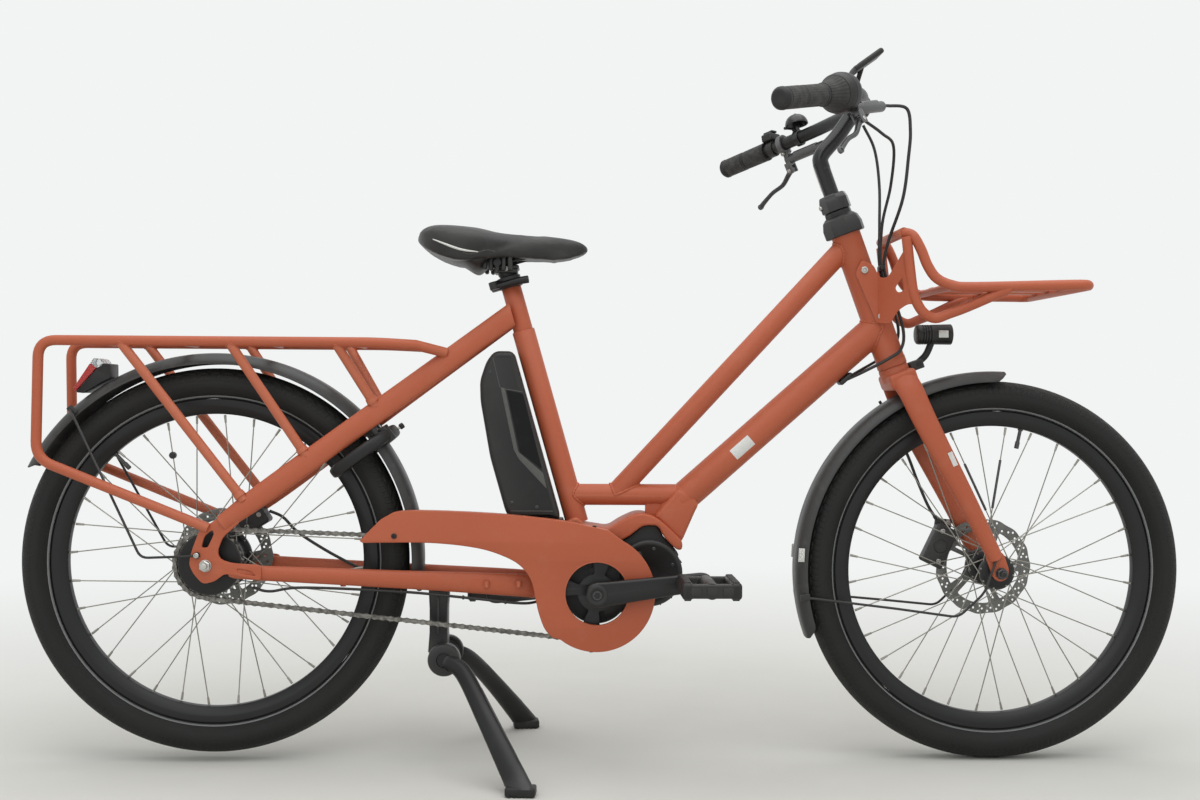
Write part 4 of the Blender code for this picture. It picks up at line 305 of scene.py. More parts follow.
def smooth(points, parts=6):
    """A smooth curve through the given points."""
    points = [Vector(p) for p in points]
    ends = [2 * points[0] - points[1], *points, 2 * points[-1] - points[-2]]
    line = []
    for a, b, c, d in zip(ends, ends[1:], ends[2:], ends[3:]):
        for step in range(parts):
            t = step / parts
            line.append(0.5 * (2 * b + (c - a) * t + (2 * a - 5 * b + 4 * c - d) * t * t
                + (3 * b - a - 3 * c + d) * t ** 3))
    return line + [points[-1]]


def softened(points, setback, parts=6, closed=False):
    """A line or loop whose corners are rounded from a setback before each."""
    points = [Vector(p) for p in points]
    count = len(points)
    line = [] if closed else [points[0]]
    for i in range(0 if closed else 1, count if closed else count - 1):
        before, corner, after = points[i - 1], points[i], points[(i + 1) % count]
        back = min(setback, 0.48 * (before - corner).length)
        on = min(setback, 0.48 * (after - corner).length)
        start = corner + (before - corner).normalized() * back
        end = corner + (after - corner).normalized() * on
        for step in range(parts + 1):
            t = step / parts
            line.append(start.lerp(corner, t).lerp(corner.lerp(end, t), t))
    return line if closed else line + [points[-1]]


def settled(item):
    """A new mesh of an object, its modifiers worked out."""
    bpy.context.view_layer.update()
    return bpy.data.meshes.new_from_object(item.evaluated_get(bpy.context.evaluated_depsgraph_get()))


class Form:
    """A piece while it is made: the points and faces of all its shapes."""

    def __init__(self):
        self.points, self.faces = [], []

    def add(self, points, faces, matrix=None):
        first = len(self.points)
        self.points += [(matrix @ Vector(p) if matrix else Vector(p)) for p in points]
        self.faces += [[first + i for i in face] for face in faces]
        return self

    def rings(self, rings, closed=False, caps=True):
        """A skin over rings of points, one after another."""
        n, m = len(rings[0]), len(rings)
        faces = []
        for a in range(m if closed else m - 1):
            b = (a + 1) % m
            faces += [(a * n + i, a * n + (i + 1) % n, b * n + (i + 1) % n, b * n + i) for i in range(n)]
        if caps and not closed:
            faces += [tuple(range(n))[::-1], tuple((m - 1) * n + i for i in range(n))]
        return self.add([p for ring in rings for p in ring], faces)

    def tube(self, path, radius, sides=24, wide=None, closed=False, blunt=0):
        """A bar along a path, round or, with its half width across given, oval."""
        path = [Vector(p) for p in path]
        radii = list(radius) if isinstance(radius, (list, tuple)) else [radius] * len(path)
        if blunt:
            first, last = (path[0] - path[1]).normalized(), (path[-1] - path[-2]).normalized()
            lead = [(path[0] - first * blunt * (1 - sin(a)), radii[0] - blunt * (1 - cos(a)))
                for a in (1.57, 1.05, 0.52)]
            tail = [(path[-1] - last * blunt * (1 - sin(a)), radii[-1] - blunt * (1 - cos(a)))
                for a in (0.52, 1.05, 1.57)]
            start, end = path[0] - first * blunt, path[-1] - last * blunt
            radii = [r for _, r in lead] + [radii[0]] + radii[1:-1] + [radii[-1]] + [r for _, r in tail]
            path = [p for p, _ in lead] + [start] + path[1:-1] + [end] + [p for p, _ in tail]
        rings = []
        over = None
        for i, place in enumerate(path):
            before = path[i - 1] if i or closed else path[0]
            after = path[(i + 1) % len(path)] if i < len(path) - 1 or closed else path[-1]
            run = (after - before).normalized()
            if over is None:
                over = LEFT if abs(run.y) < 0.9 else UP
            if wide is not None:
                over = LEFT
            over = (over - over.dot(run) * run).normalized()
            other = run.cross(over)
            half = wide if wide is not None else radii[i]
            rings.append([place + over * half * cos(tau * k / sides) + other * radii[i] * sin(tau * k / sides)
                for k in range(sides)])
        return self.rings(rings, closed)

    def rod(self, start, end, radius, sides=24, end_radius=None, blunt=0.0004):
        blunt = min(blunt, radius * 0.4)
        return self.tube([start, end], [radius, radius if end_radius is None else end_radius], sides,
            blunt=blunt)

    def turned(self, profile, matrix=None, steps=48):
        """A turned shape from (radius, height) pairs."""
        angles = [radians(360 * i / steps) for i in range(steps)]
        points = [(r * cos(a), r * sin(a), h) for a in angles for r, h in profile]
        n = len(profile)
        faces = [(i * n + j, (i + 1) % steps * n + j, (i + 1) % steps * n + j + 1,
            i * n + j + 1) for i in range(steps) for j in range(n - 1)]
        return self.add(points, faces, matrix)

    def plate(self, outline, y0, y1, holes=(), edge=0.0006, matrix=None):
        """A flat plate in the side view with softened edges and holes."""
        y0, y1 = sorted((y0, y1))
        curve = bpy.data.curves.new("outline", "CURVE")
        curve.dimensions, curve.fill_mode = "2D", "BOTH"
        curve.extrude = (y1 - y0) / 2 - edge
        curve.bevel_depth, curve.offset, curve.bevel_resolution = edge, -edge, 2
        for loop in (outline, *holes):
            line = curve.splines.new("POLY")
            line.points.add(len(loop) - 1)
            for point, place in zip(line.points, loop):
                point.co = (place[0], place[2], 0, 1)
            line.use_cyclic_u = True
        item = bpy.data.objects.new("outline", curve)
        bpy.context.scene.collection.objects.link(item)
        stood = Matrix.Translation((0, (y0 + y1) / 2, 0)) @ Matrix.Rotation(pi / 2, 4, "X")
        self.cast(settled(item), (matrix or Matrix()) @ stood)
        bpy.data.objects.remove(item, do_unlink=True)
        return self

    def block(self, centre, size, turn=None, edge=0.002, segments=3):
        """A block with rounded edges."""
        bm = bmesh.new()
        bmesh.ops.create_cube(bm, size=1, matrix=Matrix.Diagonal((*size, 1)))
        bmesh.ops.bevel(bm, geom=bm.edges[:], offset=edge, segments=segments, profile=0.5, affect="EDGES")
        return self.cut(bm, Matrix.Translation(centre) @ (turn.to_4x4() if turn else Matrix()))

    def cut(self, bm, matrix=None):
        """The shape of a mesh that is still being cut."""
        bm.verts.index_update()
        self.add([v.co for v in bm.verts], [[v.index for v in f.verts] for f in bm.faces], matrix)
        bm.free()
        return self

    def cast(self, mesh, matrix=None):
        """The shape of a finished mesh."""
        return self.add([v.co for v in mesh.vertices], [list(p.vertices) for p in mesh.polygons], matrix)

    def cad(self, node):
        """The CAD node's own form, to be given rounded edges and its finish."""
        return self.cast(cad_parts[node].data)

    def mirrored(self):
        """The same shapes on the other side of the bicycle as well."""
        return self.add([(p.x, -p.y, p.z) for p in self.points], [face[::-1] for face in self.faces])

    def flipped(self):
        self.points = [Vector((p.x, -p.y, p.z)) for p in self.points]
        self.faces = [face[::-1] for face in self.faces]
        return self

    def done(self, name, finish, body, replaces=(), angle=38, bevel=0, at=None):
        """Make the mesh, finish it, and hang it on its body."""
        mesh = bpy.data.meshes.new(name)
        mesh.from_pydata([(p - at if at else p) for p in self.points], [], self.faces)
        bm = bmesh.new()
        bm.from_mesh(mesh)
        bmesh.ops.remove_doubles(bm, verts=bm.verts, dist=2e-6)
        if bevel:
            bmesh.ops.dissolve_limit(bm, angle_limit=radians(1), verts=bm.verts, edges=bm.edges)
        bmesh.ops.recalc_face_normals(bm, faces=bm.faces)
        bm.to_mesh(mesh)
        bm.free()
        mesh.shade_smooth()
        mesh.set_sharp_from_angle(angle=radians(angle))
        mesh.materials.append(finish.made)
        item = bpy.data.objects.new(name, mesh)
        bpy.context.scene.collection.objects.link(item)
        if at:
            item.location = at
        if bevel:
            soft = item.modifiers.new("worn_edges", "BEVEL")
            soft.width, soft.segments, soft.limit_method = bevel, 2, "ANGLE"
            soft.angle_limit = radians(32)
            soft.harden_normals = True
        if body:
            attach(item, body)
        if replaces:
            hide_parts(*([replaces] if isinstance(replaces, str) else replaces))
        return item


def bead(form, a0, a1, ra, b0, b1, rb, width=0.0023):
    """A weld's row of ripples where tube a meets the side of tube b."""
    run, other = (Vector(a1) - a0).normalized(), (Vector(b1) - b0).normalized()
    stand = along(a0, run)
    line, radii = [], []
    count = 96
    for k in range(count):
        out = stand.to_3x3() @ Vector((cos(tau * k / count), sin(tau * k / count), 0))
        start = Vector(a0) + out * ra
        d = start - b0
        d -= d.dot(other) * other
        r = run - run.dot(other) * other
        qa, qb, qc = r.dot(r), 2 * d.dot(r), d.dot(d) - rb * rb
        inside = max(qb * qb - 4 * qa * qc, 0)
        line.append(start + run * (-qb - sqrt(inside)) / (2 * qa))
        radii.append(width * (0.86 + 0.14 * sin(k * tau / 4)))
    return form.tube(line, radii, 10, closed=True)


terracotta = Finish("satin_terracotta_paint", "frame_paint", Roughness=0.46, Specular_IOR_Level=0.38)
drift = terracotta.noise(2.6, 2)
fleck = terracotta.noise(1900, 1)
dusty = terracotta.noise(34, 5).between(0.52, 0.85)
paint_colour = terracotta.mix(drift.between(0.3, 0.7), rgb(172, 84, 54), rgb(180, 91, 60))
paint_colour = terracotta.mix(fleck.between(0.45, 0.75) * 0.35, paint_colour, rgb(202, 120, 90))
paint_colour = terracotta.mix(dusty * 0.1, paint_colour, rgb(190, 150, 130))
paint_colour = terracotta.mix(terracotta.edges(0.53, 0.6) * 0.25, paint_colour, rgb(205, 130, 100))
terracotta.put(height=terracotta.noise(620, 2) * 0.35 + fleck * 0.12, depth=0.00025, Base_Color=paint_colour,
    Roughness=0.42 + fleck * 0.1 + dusty * 0.12)

LEVEL = near(CRANK, 0.147, 0.153)
frame_form = Form()
frame_form.turned(mm((17.5, 0), (23.8, 0), (24.5, 0.8), (24.5, 12), (23.8, 12.8), (23.8, 227.2), (24.5, 228),
    (24.5, 239.2), (23.8, 240), (17.5, 240), (17.5, 0)), along(head(0.368), STEER), 48)
TOP_TUBE = (near(CRANK, 0.03, 0.153), head(0.582))
DOWN_TUBE = (LEVEL, head(0.438))
DOWN_RUN = (DOWN_TUBE[1] - DOWN_TUBE[0]).normalized()
SEAT_FOOT = Vector((seat(0.153 / cos(SEAT_ANGLE)).x, 0, LEVEL.z))
frame_form.rod(*TOP_TUBE, 0.01725, 40).rod(*DOWN_TUBE, 0.0245, 48).rod(SEAT_FOOT, LEVEL, 0.01725, 40)
frame_form.turned(mm((13.9, 507), (15.5, 507), (15.9, 506.6), (15.9, 435.8), (17.4, 435.2), (18.3, 434),
    (18.3, 112)), along(CRANK, SEAT), 48)
bead(frame_form, *TOP_TUBE, 0.01725, head(0.3), head(0.7), 0.0238)
bead(frame_form, *DOWN_TUBE, 0.0245, head(0.3), head(0.7), 0.0238)
bead(frame_form, TOP_TUBE[1], TOP_TUBE[0], 0.01725, SEAT_FOOT, LEVEL, 0.01725)
bead(frame_form, SEAT_FOOT + Vector((0.05, 0, 0)), SEAT_FOOT, 0.01725, seat(0.1), seat(0.4), 0.0183)
hood = spots(CRANK, (137.5, 66.5), (138.5, 80), (115, 103.5), (97, 118), (79, 125), (63, 125), (41, 115),
    (19, 101), (-20, 107), (-32, 120), (-49, 112), (-96, 44), (-100, 28), (-100, -13), (-60, -13), (-60, 26),
    (-46, 54), (-11, 68), (24, 74), (51, 87.5), (74.5, 106), (98.5, 106), (109, 86), (129, 66.5))
frame_form.plate(softened(hood, 0.008, 4, True), -0.035, 0.035, edge=0.0035)
for half, edge, *corners in ((0.01, 0.0015, (80, 150), (80, 119), (105, 108), (130, 120), (130, 150)),
        (0.0235, 0.006, (130, 163), (93, 119), (115, 98), (136, 77), (140, 83), (160, 129), (165, 138),
        (155, 156))):
    frame_form.plate(softened(spots(CRANK, *corners), 0.006, 4, True), -half, half, edge=edge)
frame_form.tube([LEVEL - back * DOWN_RUN for back in (-0.006, 0.012, 0.04, 0.062)],
    [0.0245, 0.024, 0.0205, 0.015], 48, blunt=0.004)
for side in (-1, 1):
    frame_form.rod(*across(near(CRANK, -0.055, 0.085), side * 0.034, side * 0.035), 0.0052, 24)
frame_form.done("main_frame_tubes", terracotta, "frame", "main_frame", angle=50)

# Reflective foil strips, cut square and stuck round the down tube's sides.
foil = Finish("reflective_foil", "bright_metal", Roughness=0.32, Metallic=0.15)
hatch = foil.cells(900)
foil.put(height=hatch.between(0, 0.12), depth=0.0001, Base_Color=foil.mix(hatch.between(0, 0.1),
    rgb(196, 196, 192), rgb(226, 226, 222)))


def sticker(form, start, end, radius, first, last, side=-1):
    """A thin strip that follows a round tube's side, between two angles up from level."""
    run = (Vector(end) - start).normalized()
    up = run.cross(LEFT) if run.cross(LEFT).z > 0 else -run.cross(LEFT)
    angles = [radians(first + (last - first) * k / 10) for k in range(11)]
    rows = []
    for i in range(3):
        place = Vector(start).lerp(end, i / 2)
        rows.append([place + radius * (cos(a) * side * LEFT + sin(a) * up) for a in angles])
    faces = [(r * 11 + k, r * 11 + k + 1, (r + 1) * 11 + k + 1, (r + 1) * 11 + k) for r in range(2)
        for k in range(10)]
    return form.add([p for row in rows for p in row], faces)


foils = Form()
for side in (-1, 1):
    sticker(foils, LEVEL + DOWN_RUN * 0.0985, LEVEL + DOWN_RUN * 0.137, 0.02465, -22, 24, side)
foils.done("down_tube_foil", foil, "frame")

# Rear frame: on each side a seat stay and a chain stay run to a slotted drop-out plate, with the
# long carrier's rail, upright and struts welded on. The cross bars are welded to the left rail.
RACK_HIGH = 0.671


def swelling(radii, parts=6):
    """Radii along a smooth curve, from those at its given points."""
    return [p.x for p in smooth([Vector((radius, 0, 0)) for radius in radii], parts)]


def oval(form, points, radii, ys=None, parts=5):
    """An oval stay, deep in the side view and slim across."""
    if ys:
        points = [Vector((p.x, y, p.z)) for p, y in zip(points, ys)]
    return form.tube(smooth(points, parts), swelling(radii, parts), 32, wide=0.008)


STAY_TOP, STAY_LOW = seat(0.468), near(REAR, 0.024, 0.0655)


def stay_at(x):
    """The seat stay's middle line where it has this X."""
    top, low = STAY_TOP, STAY_LOW
    t = (x - top.x) / (low.x - top.x)
    y = 0.02 + 0.012 * t / 0.3 if t < 0.3 else 0.032 + 0.017 * (t - 0.3) / 0.25
    return Vector((x, y if t < 0.55 else 0.049 + 0.018 * (t - 0.55) / 0.31, top.z + t * (low.z - top.z)))


for side, word in ((1, "left"), (-1, "right")):
    half = Form()
    points = [STAY_TOP.lerp(STAY_LOW, t) for t in (0, 0.3, 0.55, 0.86, 1)]
    oval(half, points, [0.0175, 0.0175, 0.0175, 0.0172, 0.013], (0.02, 0.032, 0.049, 0.067, 0.0715))
    slope = (STAY_LOW - STAY_TOP).normalized()
    for i in range(32):
        off = -0.01 - (half.points[i] - STAY_TOP).dot(SEAT_OUT)
        half.points[i] = half.points[i] + slope * (off / slope.dot(SEAT_OUT))
    oval(half, spots(CRANK, (-98, 6, 23.5), (-135, 10, 30)) + spots(REAR, (300, -25, 45), (70, -12, 64.5),
        (36, -8, 65)), [0.0182, 0.018, 0.0145, 0.0115, 0.01])
    outline = spots(REAR, (55, 70.5), (20, 75), (-10, 55), (-22, 22), (-26, 2), (-18, -14), (-4, -29),
        (14, -24.5), (21, -19), (30, -12.5), (52, -16.5), (86, -23.5), (86, 1), (40, 4), (22, 10), (18, 22),
        (26, 44))
    windows = [softened(spots(REAR, *loop), 0.004, 3, True) for loop in (
        ((10, 56), (-2, 46), (-7, 28), (3, 28), (13, 50)), ((48, -4), (70, -8), (78, -16), (50, -12)))]
    half.plate(softened(outline, 0.007, 4, True), 0.069, 0.075, (*windows, arc(REAR, 0.0055, 0, 345, 23)),
        edge=0.0011)
    start = stay_at(-0.262)
    start = Vector((start.x, start.y + 0.004, start.z + 0.0157))
    high = [Vector((near(REAR, x, 0).x, y, z)) for x, y, z in ((0.322, 0.059, RACK_HIGH - 0.003),
        (0.262, 0.071, RACK_HIGH), (-0.259, 0.071, RACK_HIGH))]
    rail = [*high, near(REAR, -0.259, 0.166, 0.08), near(REAR, 0.004, 0.0585, 0.0745)]
    half.tube([start] + softened(rail, 0.027, 8), 0.008, 24)
    for top_x, foot_x in ((-0.764, -0.571), (-0.596, -0.477), (-0.431, -0.371)):
        foot = stay_at(foot_x) + Vector((0, 0, 0.0105))
        top = Vector((top_x, 0.071, RACK_HIGH))
        half.tube([top, foot], 0.0076, 24)
        run = (foot - top).normalized()
        bead(half, foot, top, 0.0076, top - Vector((0.1, 0, 0)), top + Vector((0.1, 0, 0)), 0.008, 0.0013)
        meet = foot - run * 0.012
        half.tube([meet - run * 0.004, meet + run * 0.004], [0.0086, 0.0096], 24)
    if side > 0:
        for x in (-0.8, -0.68, -0.54, -0.403):
            half.tube([Vector((x, 0.071, RACK_HIGH)), Vector((x, -0.0632, RACK_HIGH))], 0.0063, 20)
    for x, drop in ((0.209, 0.021), (0.435, 0.018), (0.486, 0.016)):
        boss = near(REAR, x, -0.018 - 0.015 * x - 0.5 * drop, 0.052 - 0.02 * x)
        half.rod(boss + Vector((0, 0, 0.006)), boss - Vector((0, 0, 0.004)), 0.0045, 16)
    if side < 0:
        half.flipped()
    half.done("rear_stays_" + word, terracotta, "frame", "rear_frame_" + word, angle=50)

# Front carrier: a bent tube frame with flat slats, held by two pressed gusset plates that bolt
# to the head tube. It is fixed to the frame and doesn't turn with the bars.
bright = Finish("bright_steel", "bright_metal", Metallic=1, Roughness=0.3)
brushed = bright.noise(90, 6)
bright.coat(brushed, bright.noise(700, 2), 0.00006, (176, 175, 170), (205, 204, 200), 0.22, 0.2)


def bolt(form, place, axis, radius=0.0045, high=0.0035):
    """A socket bolt's head with its hexagon hole."""
    stand = along(place, axis)
    form.turned([(0, -0.001), (radius, -0.001), (radius, high - 0.0008), (radius - 0.0008, high),
        (radius * 0.56, high)], stand, 24)
    form.turned([(radius * 0.56, high), (radius * 0.5, high * 0.35), (0, high * 0.35)], stand, 6)


rack = Form()
gusset = spots(HEAD_LOW, (-58.5, 171), (-39, 163), (-28.9, 141.6), (-19.9, 141.6), (-11.9, 159.6),
    (3.1, 193.6), (11.1, 149.6), (19.1, 96.6), (2.1, 96.6), (-8.9, 86.6), (-16.9, 67.6), (-33, 69),
    (-68, 149))
gap = spots(HEAD_LOW, (-3.9, 140.6), (-11.9, 123.6), (-8.9, 115.6), (-1.9, 117.6))
sheet = Form().plate(softened(gusset, 0.005, 3, True), 0.0248, 0.0288, (softened(gap, 0.003, 2, True),),
    edge=0.0008)
mesh = bpy.data.meshes.new("gusset")
mesh.from_pydata(sheet.points, [], sheet.faces)
bm = bmesh.new()
bm.from_mesh(mesh)
PLATE_BEND = head(0.368).x - 0.0319
for i in range(9):
    bmesh.ops.bisect_plane(bm, geom=bm.verts[:] + bm.edges[:] + bm.faces[:],
        plane_co=(PLATE_BEND + i * 0.00425, 0, 0), plane_no=(1, 0, 0))
for corner in bm.verts:
    flare = min(max(corner.co.x - PLATE_BEND, 0), 0.034) / 0.034
    corner.co.y += flare * (0.083 - 0.0268)
rack.cut(bm)
side_rail = spots(HEAD_LOW, (-1.9, 210.6, 73), (10.1, 204.6, 83), (22.1, 182.6, 87), (32.1, 156.6, 90),
    (46.1, 136.6, 93), (69.1, 125.6, 99), (100.1, 122.6, 106), (235.1, 124.6, 136), (263.1, 124.6, 140),
    (273.1, 124.6, 128))
low_loop = spots(HEAD_LOW, (0.1, 202.6, 83), (5.1, 159.6, 83), (11.1, 116.6, 83), (19.1, 95.6, 83),
    (30.1, 81.6, 83), (47.1, 74.6, 83), (67.1, 81.6, 87), (95.1, 92.6, 95), (155.1, 120.6, 118))
rack.tube(smooth(side_rail, 5), 0.008, 24, blunt=0.001).tube(smooth(low_loop, 5), 0.008, 24, blunt=0.001)
rack.mirrored()
rack.tube(across(fore(-0.0019, 0.2106), -0.075, 0.075), 0.008, 24)
rack.tube(across(fore(0.2731, 0.1246), -0.129, 0.129), 0.008, 24, blunt=0.001)
for x, reach in ((0.0701, 0.1), (0.1751, 0.125)):
    rack.tube(across(fore(x, 0.1246), -reach, reach), 0.006, 20)
for y in (-0.084, -0.028, 0.028, 0.084):
    rack.block(fore(0.1716, 0.1286, y), (0.205, 0.022, 0.006), edge=0.0014)
rack.done("front_carrier", terracotta, "frame", "front_rack", angle=50)
rack_bolts = Form()
for x, z in ((-0.0539, 0.1545), (-0.0262, 0.0797)):
    for side in (-1, 1):
        bolt(rack_bolts, fore(x, z, side * 0.0288), side * LEFT, 0.0056, 0.0036)
rack_bolts.done("carrier_bolts", bright, "frame")

# Wheels: black tyres, 55 wide, with a block tread, a ribbed shoulder and a reflective ring moulded
# into each side, on extruded rims laced with 32 steel spokes. A valve comes through each rim, and
# the speed magnet and the clip-on spoke sticks are pushed onto the spokes.
tyre_rubber = Finish("tyre_rubber_worn", "tyre_rubber", Specular_IOR_Level=0.35)
wheel_x, wheel_y, wheel_z = (tyre_rubber.axis(i) for i in range(3))
reach = (wheel_x * wheel_x + wheel_z * wheel_z) ** 0.5
off_middle = wheel_y.maths("ABSOLUTE", wheel_y)


def around(up, forward):
    """The angle round an axle, from two distances across it."""
    return up.maths("ARCTAN2", up, forward)


def wave(value):
    return value.maths("SINE", value)


turn = around(wheel_z, wheel_x)
chevron = wave(turn * 96 + off_middle * 420).between(-0.55, -0.25)
shoulder = wave(turn * 192 - off_middle * 260).between(-0.6, -0.2)
middle_groove = off_middle.between(0.0012, 0.002) * (1 - off_middle.between(0.0088, 0.0094)
    * (1 - off_middle.between(0.0108, 0.0114)))
tread = reach.between(0.2995, 0.301)
on_side = (1 - tread) * reach.between(0.288, 0.2885)
ribs = wave(reach * 3600).between(-0.3, 0.6) * (1 - reach.between(0.279, 0.2795)) \
    * reach.between(0.2685, 0.269)
relief = tread * chevron * middle_groove + on_side * shoulder * 0.5 + ribs * 0.12 \
    + tyre_rubber.noise(600, 3) * 0.06
ring = reach.between(0.2621, 0.2624) * (1 - reach.between(0.2646, 0.2649))
grey = tyre_rubber.noise(14, 5).between(0.35, 0.8)
rubber_colour = tyre_rubber.mix(grey, rgb(22, 22, 21), rgb(34, 34, 32))
rubber_colour = tyre_rubber.mix(tread * tyre_rubber.noise(60, 4) * 0.5, rubber_colour, rgb(56, 55, 52))
rubber_colour = tyre_rubber.mix(ring, rubber_colour, rgb(150, 152, 152))
tyre_rubber.put(height=relief, depth=0.0016, Base_Color=rubber_colour,
    Roughness=0.62 + grey * 0.16 - ring * 0.3)

rim_black = Finish("anodised_rim", "black_metal", Metallic=0.25, Roughness=0.36)
rim_black.coat(rim_black.noise(22, 4), rim_black.noise(900, 2), 0.00005, (17, 17, 18), (28, 28, 29), 0.34,
    0.14)
hub_black = Finish("satin_black_hub", "black_metal", Metallic=0.4, Roughness=0.35)
hub_cloud = hub_black.noise(60, 4)
hub_colour = hub_black.mix(hub_cloud, rgb(26, 26, 27), rgb(40, 40, 41))
hub_black.put(height=hub_black.noise(1500, 1), depth=0.00005, Base_Color=hub_black.mix(hub_black.edges()
    * 0.5, hub_colour, rgb(96, 96, 96)), Roughness=0.3 + hub_cloud * 0.12)
spoke_steel = Finish("spoke_steel", "bright_metal", Metallic=0.75, Roughness=0.34)
spoke_steel.coat(spoke_steel.noise(40, 4), spoke_steel.noise(800, 2), 0.00002, (128, 126, 118),
    (168, 166, 158), 0.28, 0.2)
rotor_steel = Finish("ground_rotor_steel", "bright_metal", Metallic=0.85, Roughness=0.36)
rotor_turn = rotor_steel.node("ShaderNodeVectorMath", {"operation": "LENGTH"}, {0: rotor_steel.place},
    "Value")
grinding = wave(rotor_turn * 9000 + rotor_steel.noise(30, 4) * 8)
rotor_steel.put(height=grinding * 0.5 + rotor_steel.noise(500, 3), depth=0.00006,
    Base_Color=rotor_steel.mix(rotor_steel.noise(70, 4), rgb(96, 96, 93), rgb(128, 128, 125)),
    Roughness=0.3 + rotor_steel.noise(120, 3) * 0.16)


def sideways(centre, side=1):
    """The frame at an axle, its Z to the left or, for side -1, to the right."""
    return Matrix.Translation(centre) @ Matrix.Rotation(-side * pi / 2, 4, "X")


tyre_section = []
for degrees in range(-64, 245, 7):
    a = radians(degrees)
    low = 0.5 * (1 - min(1, max(0, (sin(a) + 0.9) / 0.6)))
    tyre_section.append((0.2835 + 0.025 * sin(a), 0.0275 * cos(a) * (1 - 0.28 * low)))
tyre_section = [(min(r, 0.3085), h) for r, h in tyre_section]
tyre_section = [(0.2598, 0.0145), (0.2604, 0.0172)] + tyre_section[1:-1] + [(0.2604, -0.0172),
    (0.2598, -0.0145)]


def both(*rows):
    """A profile from its left half and the mirror image of it."""
    return mm(*rows) + mm(*[(radius, -y) for radius, y in reversed(rows)])


rim_section = both((259.5, 12), (259.5, 13.8), (258.8, 14.5), (250, 14.5), (247.6, 14), (244, 12.2),
    (237.2, 8.4), (235.4, 6.4), (235, 4))
rim_section += both((256, -11.5), (254, -6)) + rim_section[:1]
ends_r = (0.2595 - 0.0245) * cos(pi / 36) - 0.001

for word, centre, body, flange_r, flanges, lace, first in (("rear", REAR, "rear_wheel", 0.05, (0.03, -0.03),
        45, -166), ("front", FRONT, "front_wheel", 0.029, (0.021, -0.033), 67.5, -168.75)):
    stand = sideways(centre)
    Form().turned(tyre_section, stand, 216).done(word + "_tyre_form", tyre_rubber, body, word + "_tyre",
        angle=60, at=centre)
    Form().turned(rim_section, stand, 180).done(word + "_rim_form", rim_black, body, word + "_rim", angle=28,
        at=centre)
    spokes, nipples, runs = Form(), Form(), []
    for index, flange in enumerate(flanges):
        side = 1 - 2 * index
        for order in range(16):
            lead = 1 if order % 2 else -1
            hub_turn = first + 22.5 * order
            rim_turn = hub_turn + lead * lace - side * 5.625
            foot = polar(centre, 0.93 * flange_r, hub_turn, flange + lead * 0.0026)
            end = polar(centre, ends_r, rim_turn, side * 0.003 + lead * 0.0012)
            run = (end - foot).normalized()
            runs.append((foot, end))
            elbow = foot + run * 0.004
            hook = polar(centre, 0.93 * flange_r, hub_turn, flange - lead * 0.003)
            spokes.tube([hook, foot, elbow, foot.lerp(end, 0.5), end], 0.00095, 8)
            spokes.turned(mm((0, 1.2), (1.4, 0.8), (1.9, 0), (0, 0)), along(hook, -lead * LEFT), 10)
            nipples.tube([end - run * 0.012, end + run * 0.0005], [0.0017, 0.0021], 8)
    spokes.done(word + "_spokes", spoke_steel, body, at=centre)
    nipples.done(word + "_nipples", spoke_steel, body, at=centre)
    valve_at = polar(centre, 0.2345, 133.7 if word == "rear" else 78)
    inwards = (centre - valve_at).normalized()
    valve = Form().tube([valve_at - inwards * 0.004, valve_at + inwards * 0.002], 0.0042, 16)
    valve.tube([valve_at, valve_at + inwards * 0.028], 0.0029, 16).tube([valve_at + inwards * 0.02,
        valve_at + inwards * 0.032], 0.0038, 16, blunt=0.0012)
    valve.done(word + "_valve", hub_black, body)
    on_spokes = Form()
    if word == "rear":
        foot, end = min(runs, key=lambda pair: (pair[0].lerp(pair[1], 0.74) - near(REAR, -0.064, 0.1755,
            -0.01)).length)
        magnet = foot.lerp(end, 0.74)
        on_spokes.tube(across(magnet, -0.0042, 0.0042), 0.0056, 24, blunt=0.0012)
        on_spokes.rod(*across(magnet, -0.005, -0.004), 0.003, 20)
    else:
        for k in (0, 1):
            place = near(FRONT, -0.026 + 0.008 * k, 0.155, -0.01)
            foot, end = sorted(runs, key=lambda pair: (pair[0].lerp(pair[1], 0.58) - place).length)[k]
            on_spokes.tube([foot.lerp(end, 0.4), foot.lerp(end, 0.76)], 0.0021, 12, blunt=0.0006)
    on_spokes.done(word + "_spoke_clips", hub_black, body)

# Rear hub: a gear hub in a black shell with tall spoke flanges and a driver on the right.
# Front hub: a slim shell. Both carry a drilled brake disc on the left, held by a lock ring.
rear_shell = Form().turned(mm((5.6, 45.5), (19, 45.5), (20, 44.5), (20, 40), (25.5, 39.5), (26, 38),
    (26, 34.5), (30, 34), (49, 33), (50, 32.2), (50, 27.5), (49, 27), (44.5, 26.2), (43, 24), (42.5, 12),
    (43, 0), (42.5, -12), (43, -24), (44.5, -26.2), (49, -27), (50, -27.5), (50, -32.2), (49, -33),
    (31, -34.2), (30, -35), (30, -39.6), (29, -40), (17.5, -40.2), (17.5, -64), (15, -68.5), (5.6, -68.7)),
    sideways(REAR), 64)
rear_shell.turned(mm((5.6, 68.7), (14, 68.7), (16.5, 66), (16.5, 48), (19.5, 47.8)), sideways(REAR), 48)
for i in range(12):
    place = polar(REAR, 0.0385, 30 * i + 8, 0.0336)
    rear_shell.rod(*across(place, -0.002, 0.0012), 0.0024, 12)
rear_shell.done("rear_hub_shell", hub_black, "rear_wheel", "rear_hub", at=REAR)
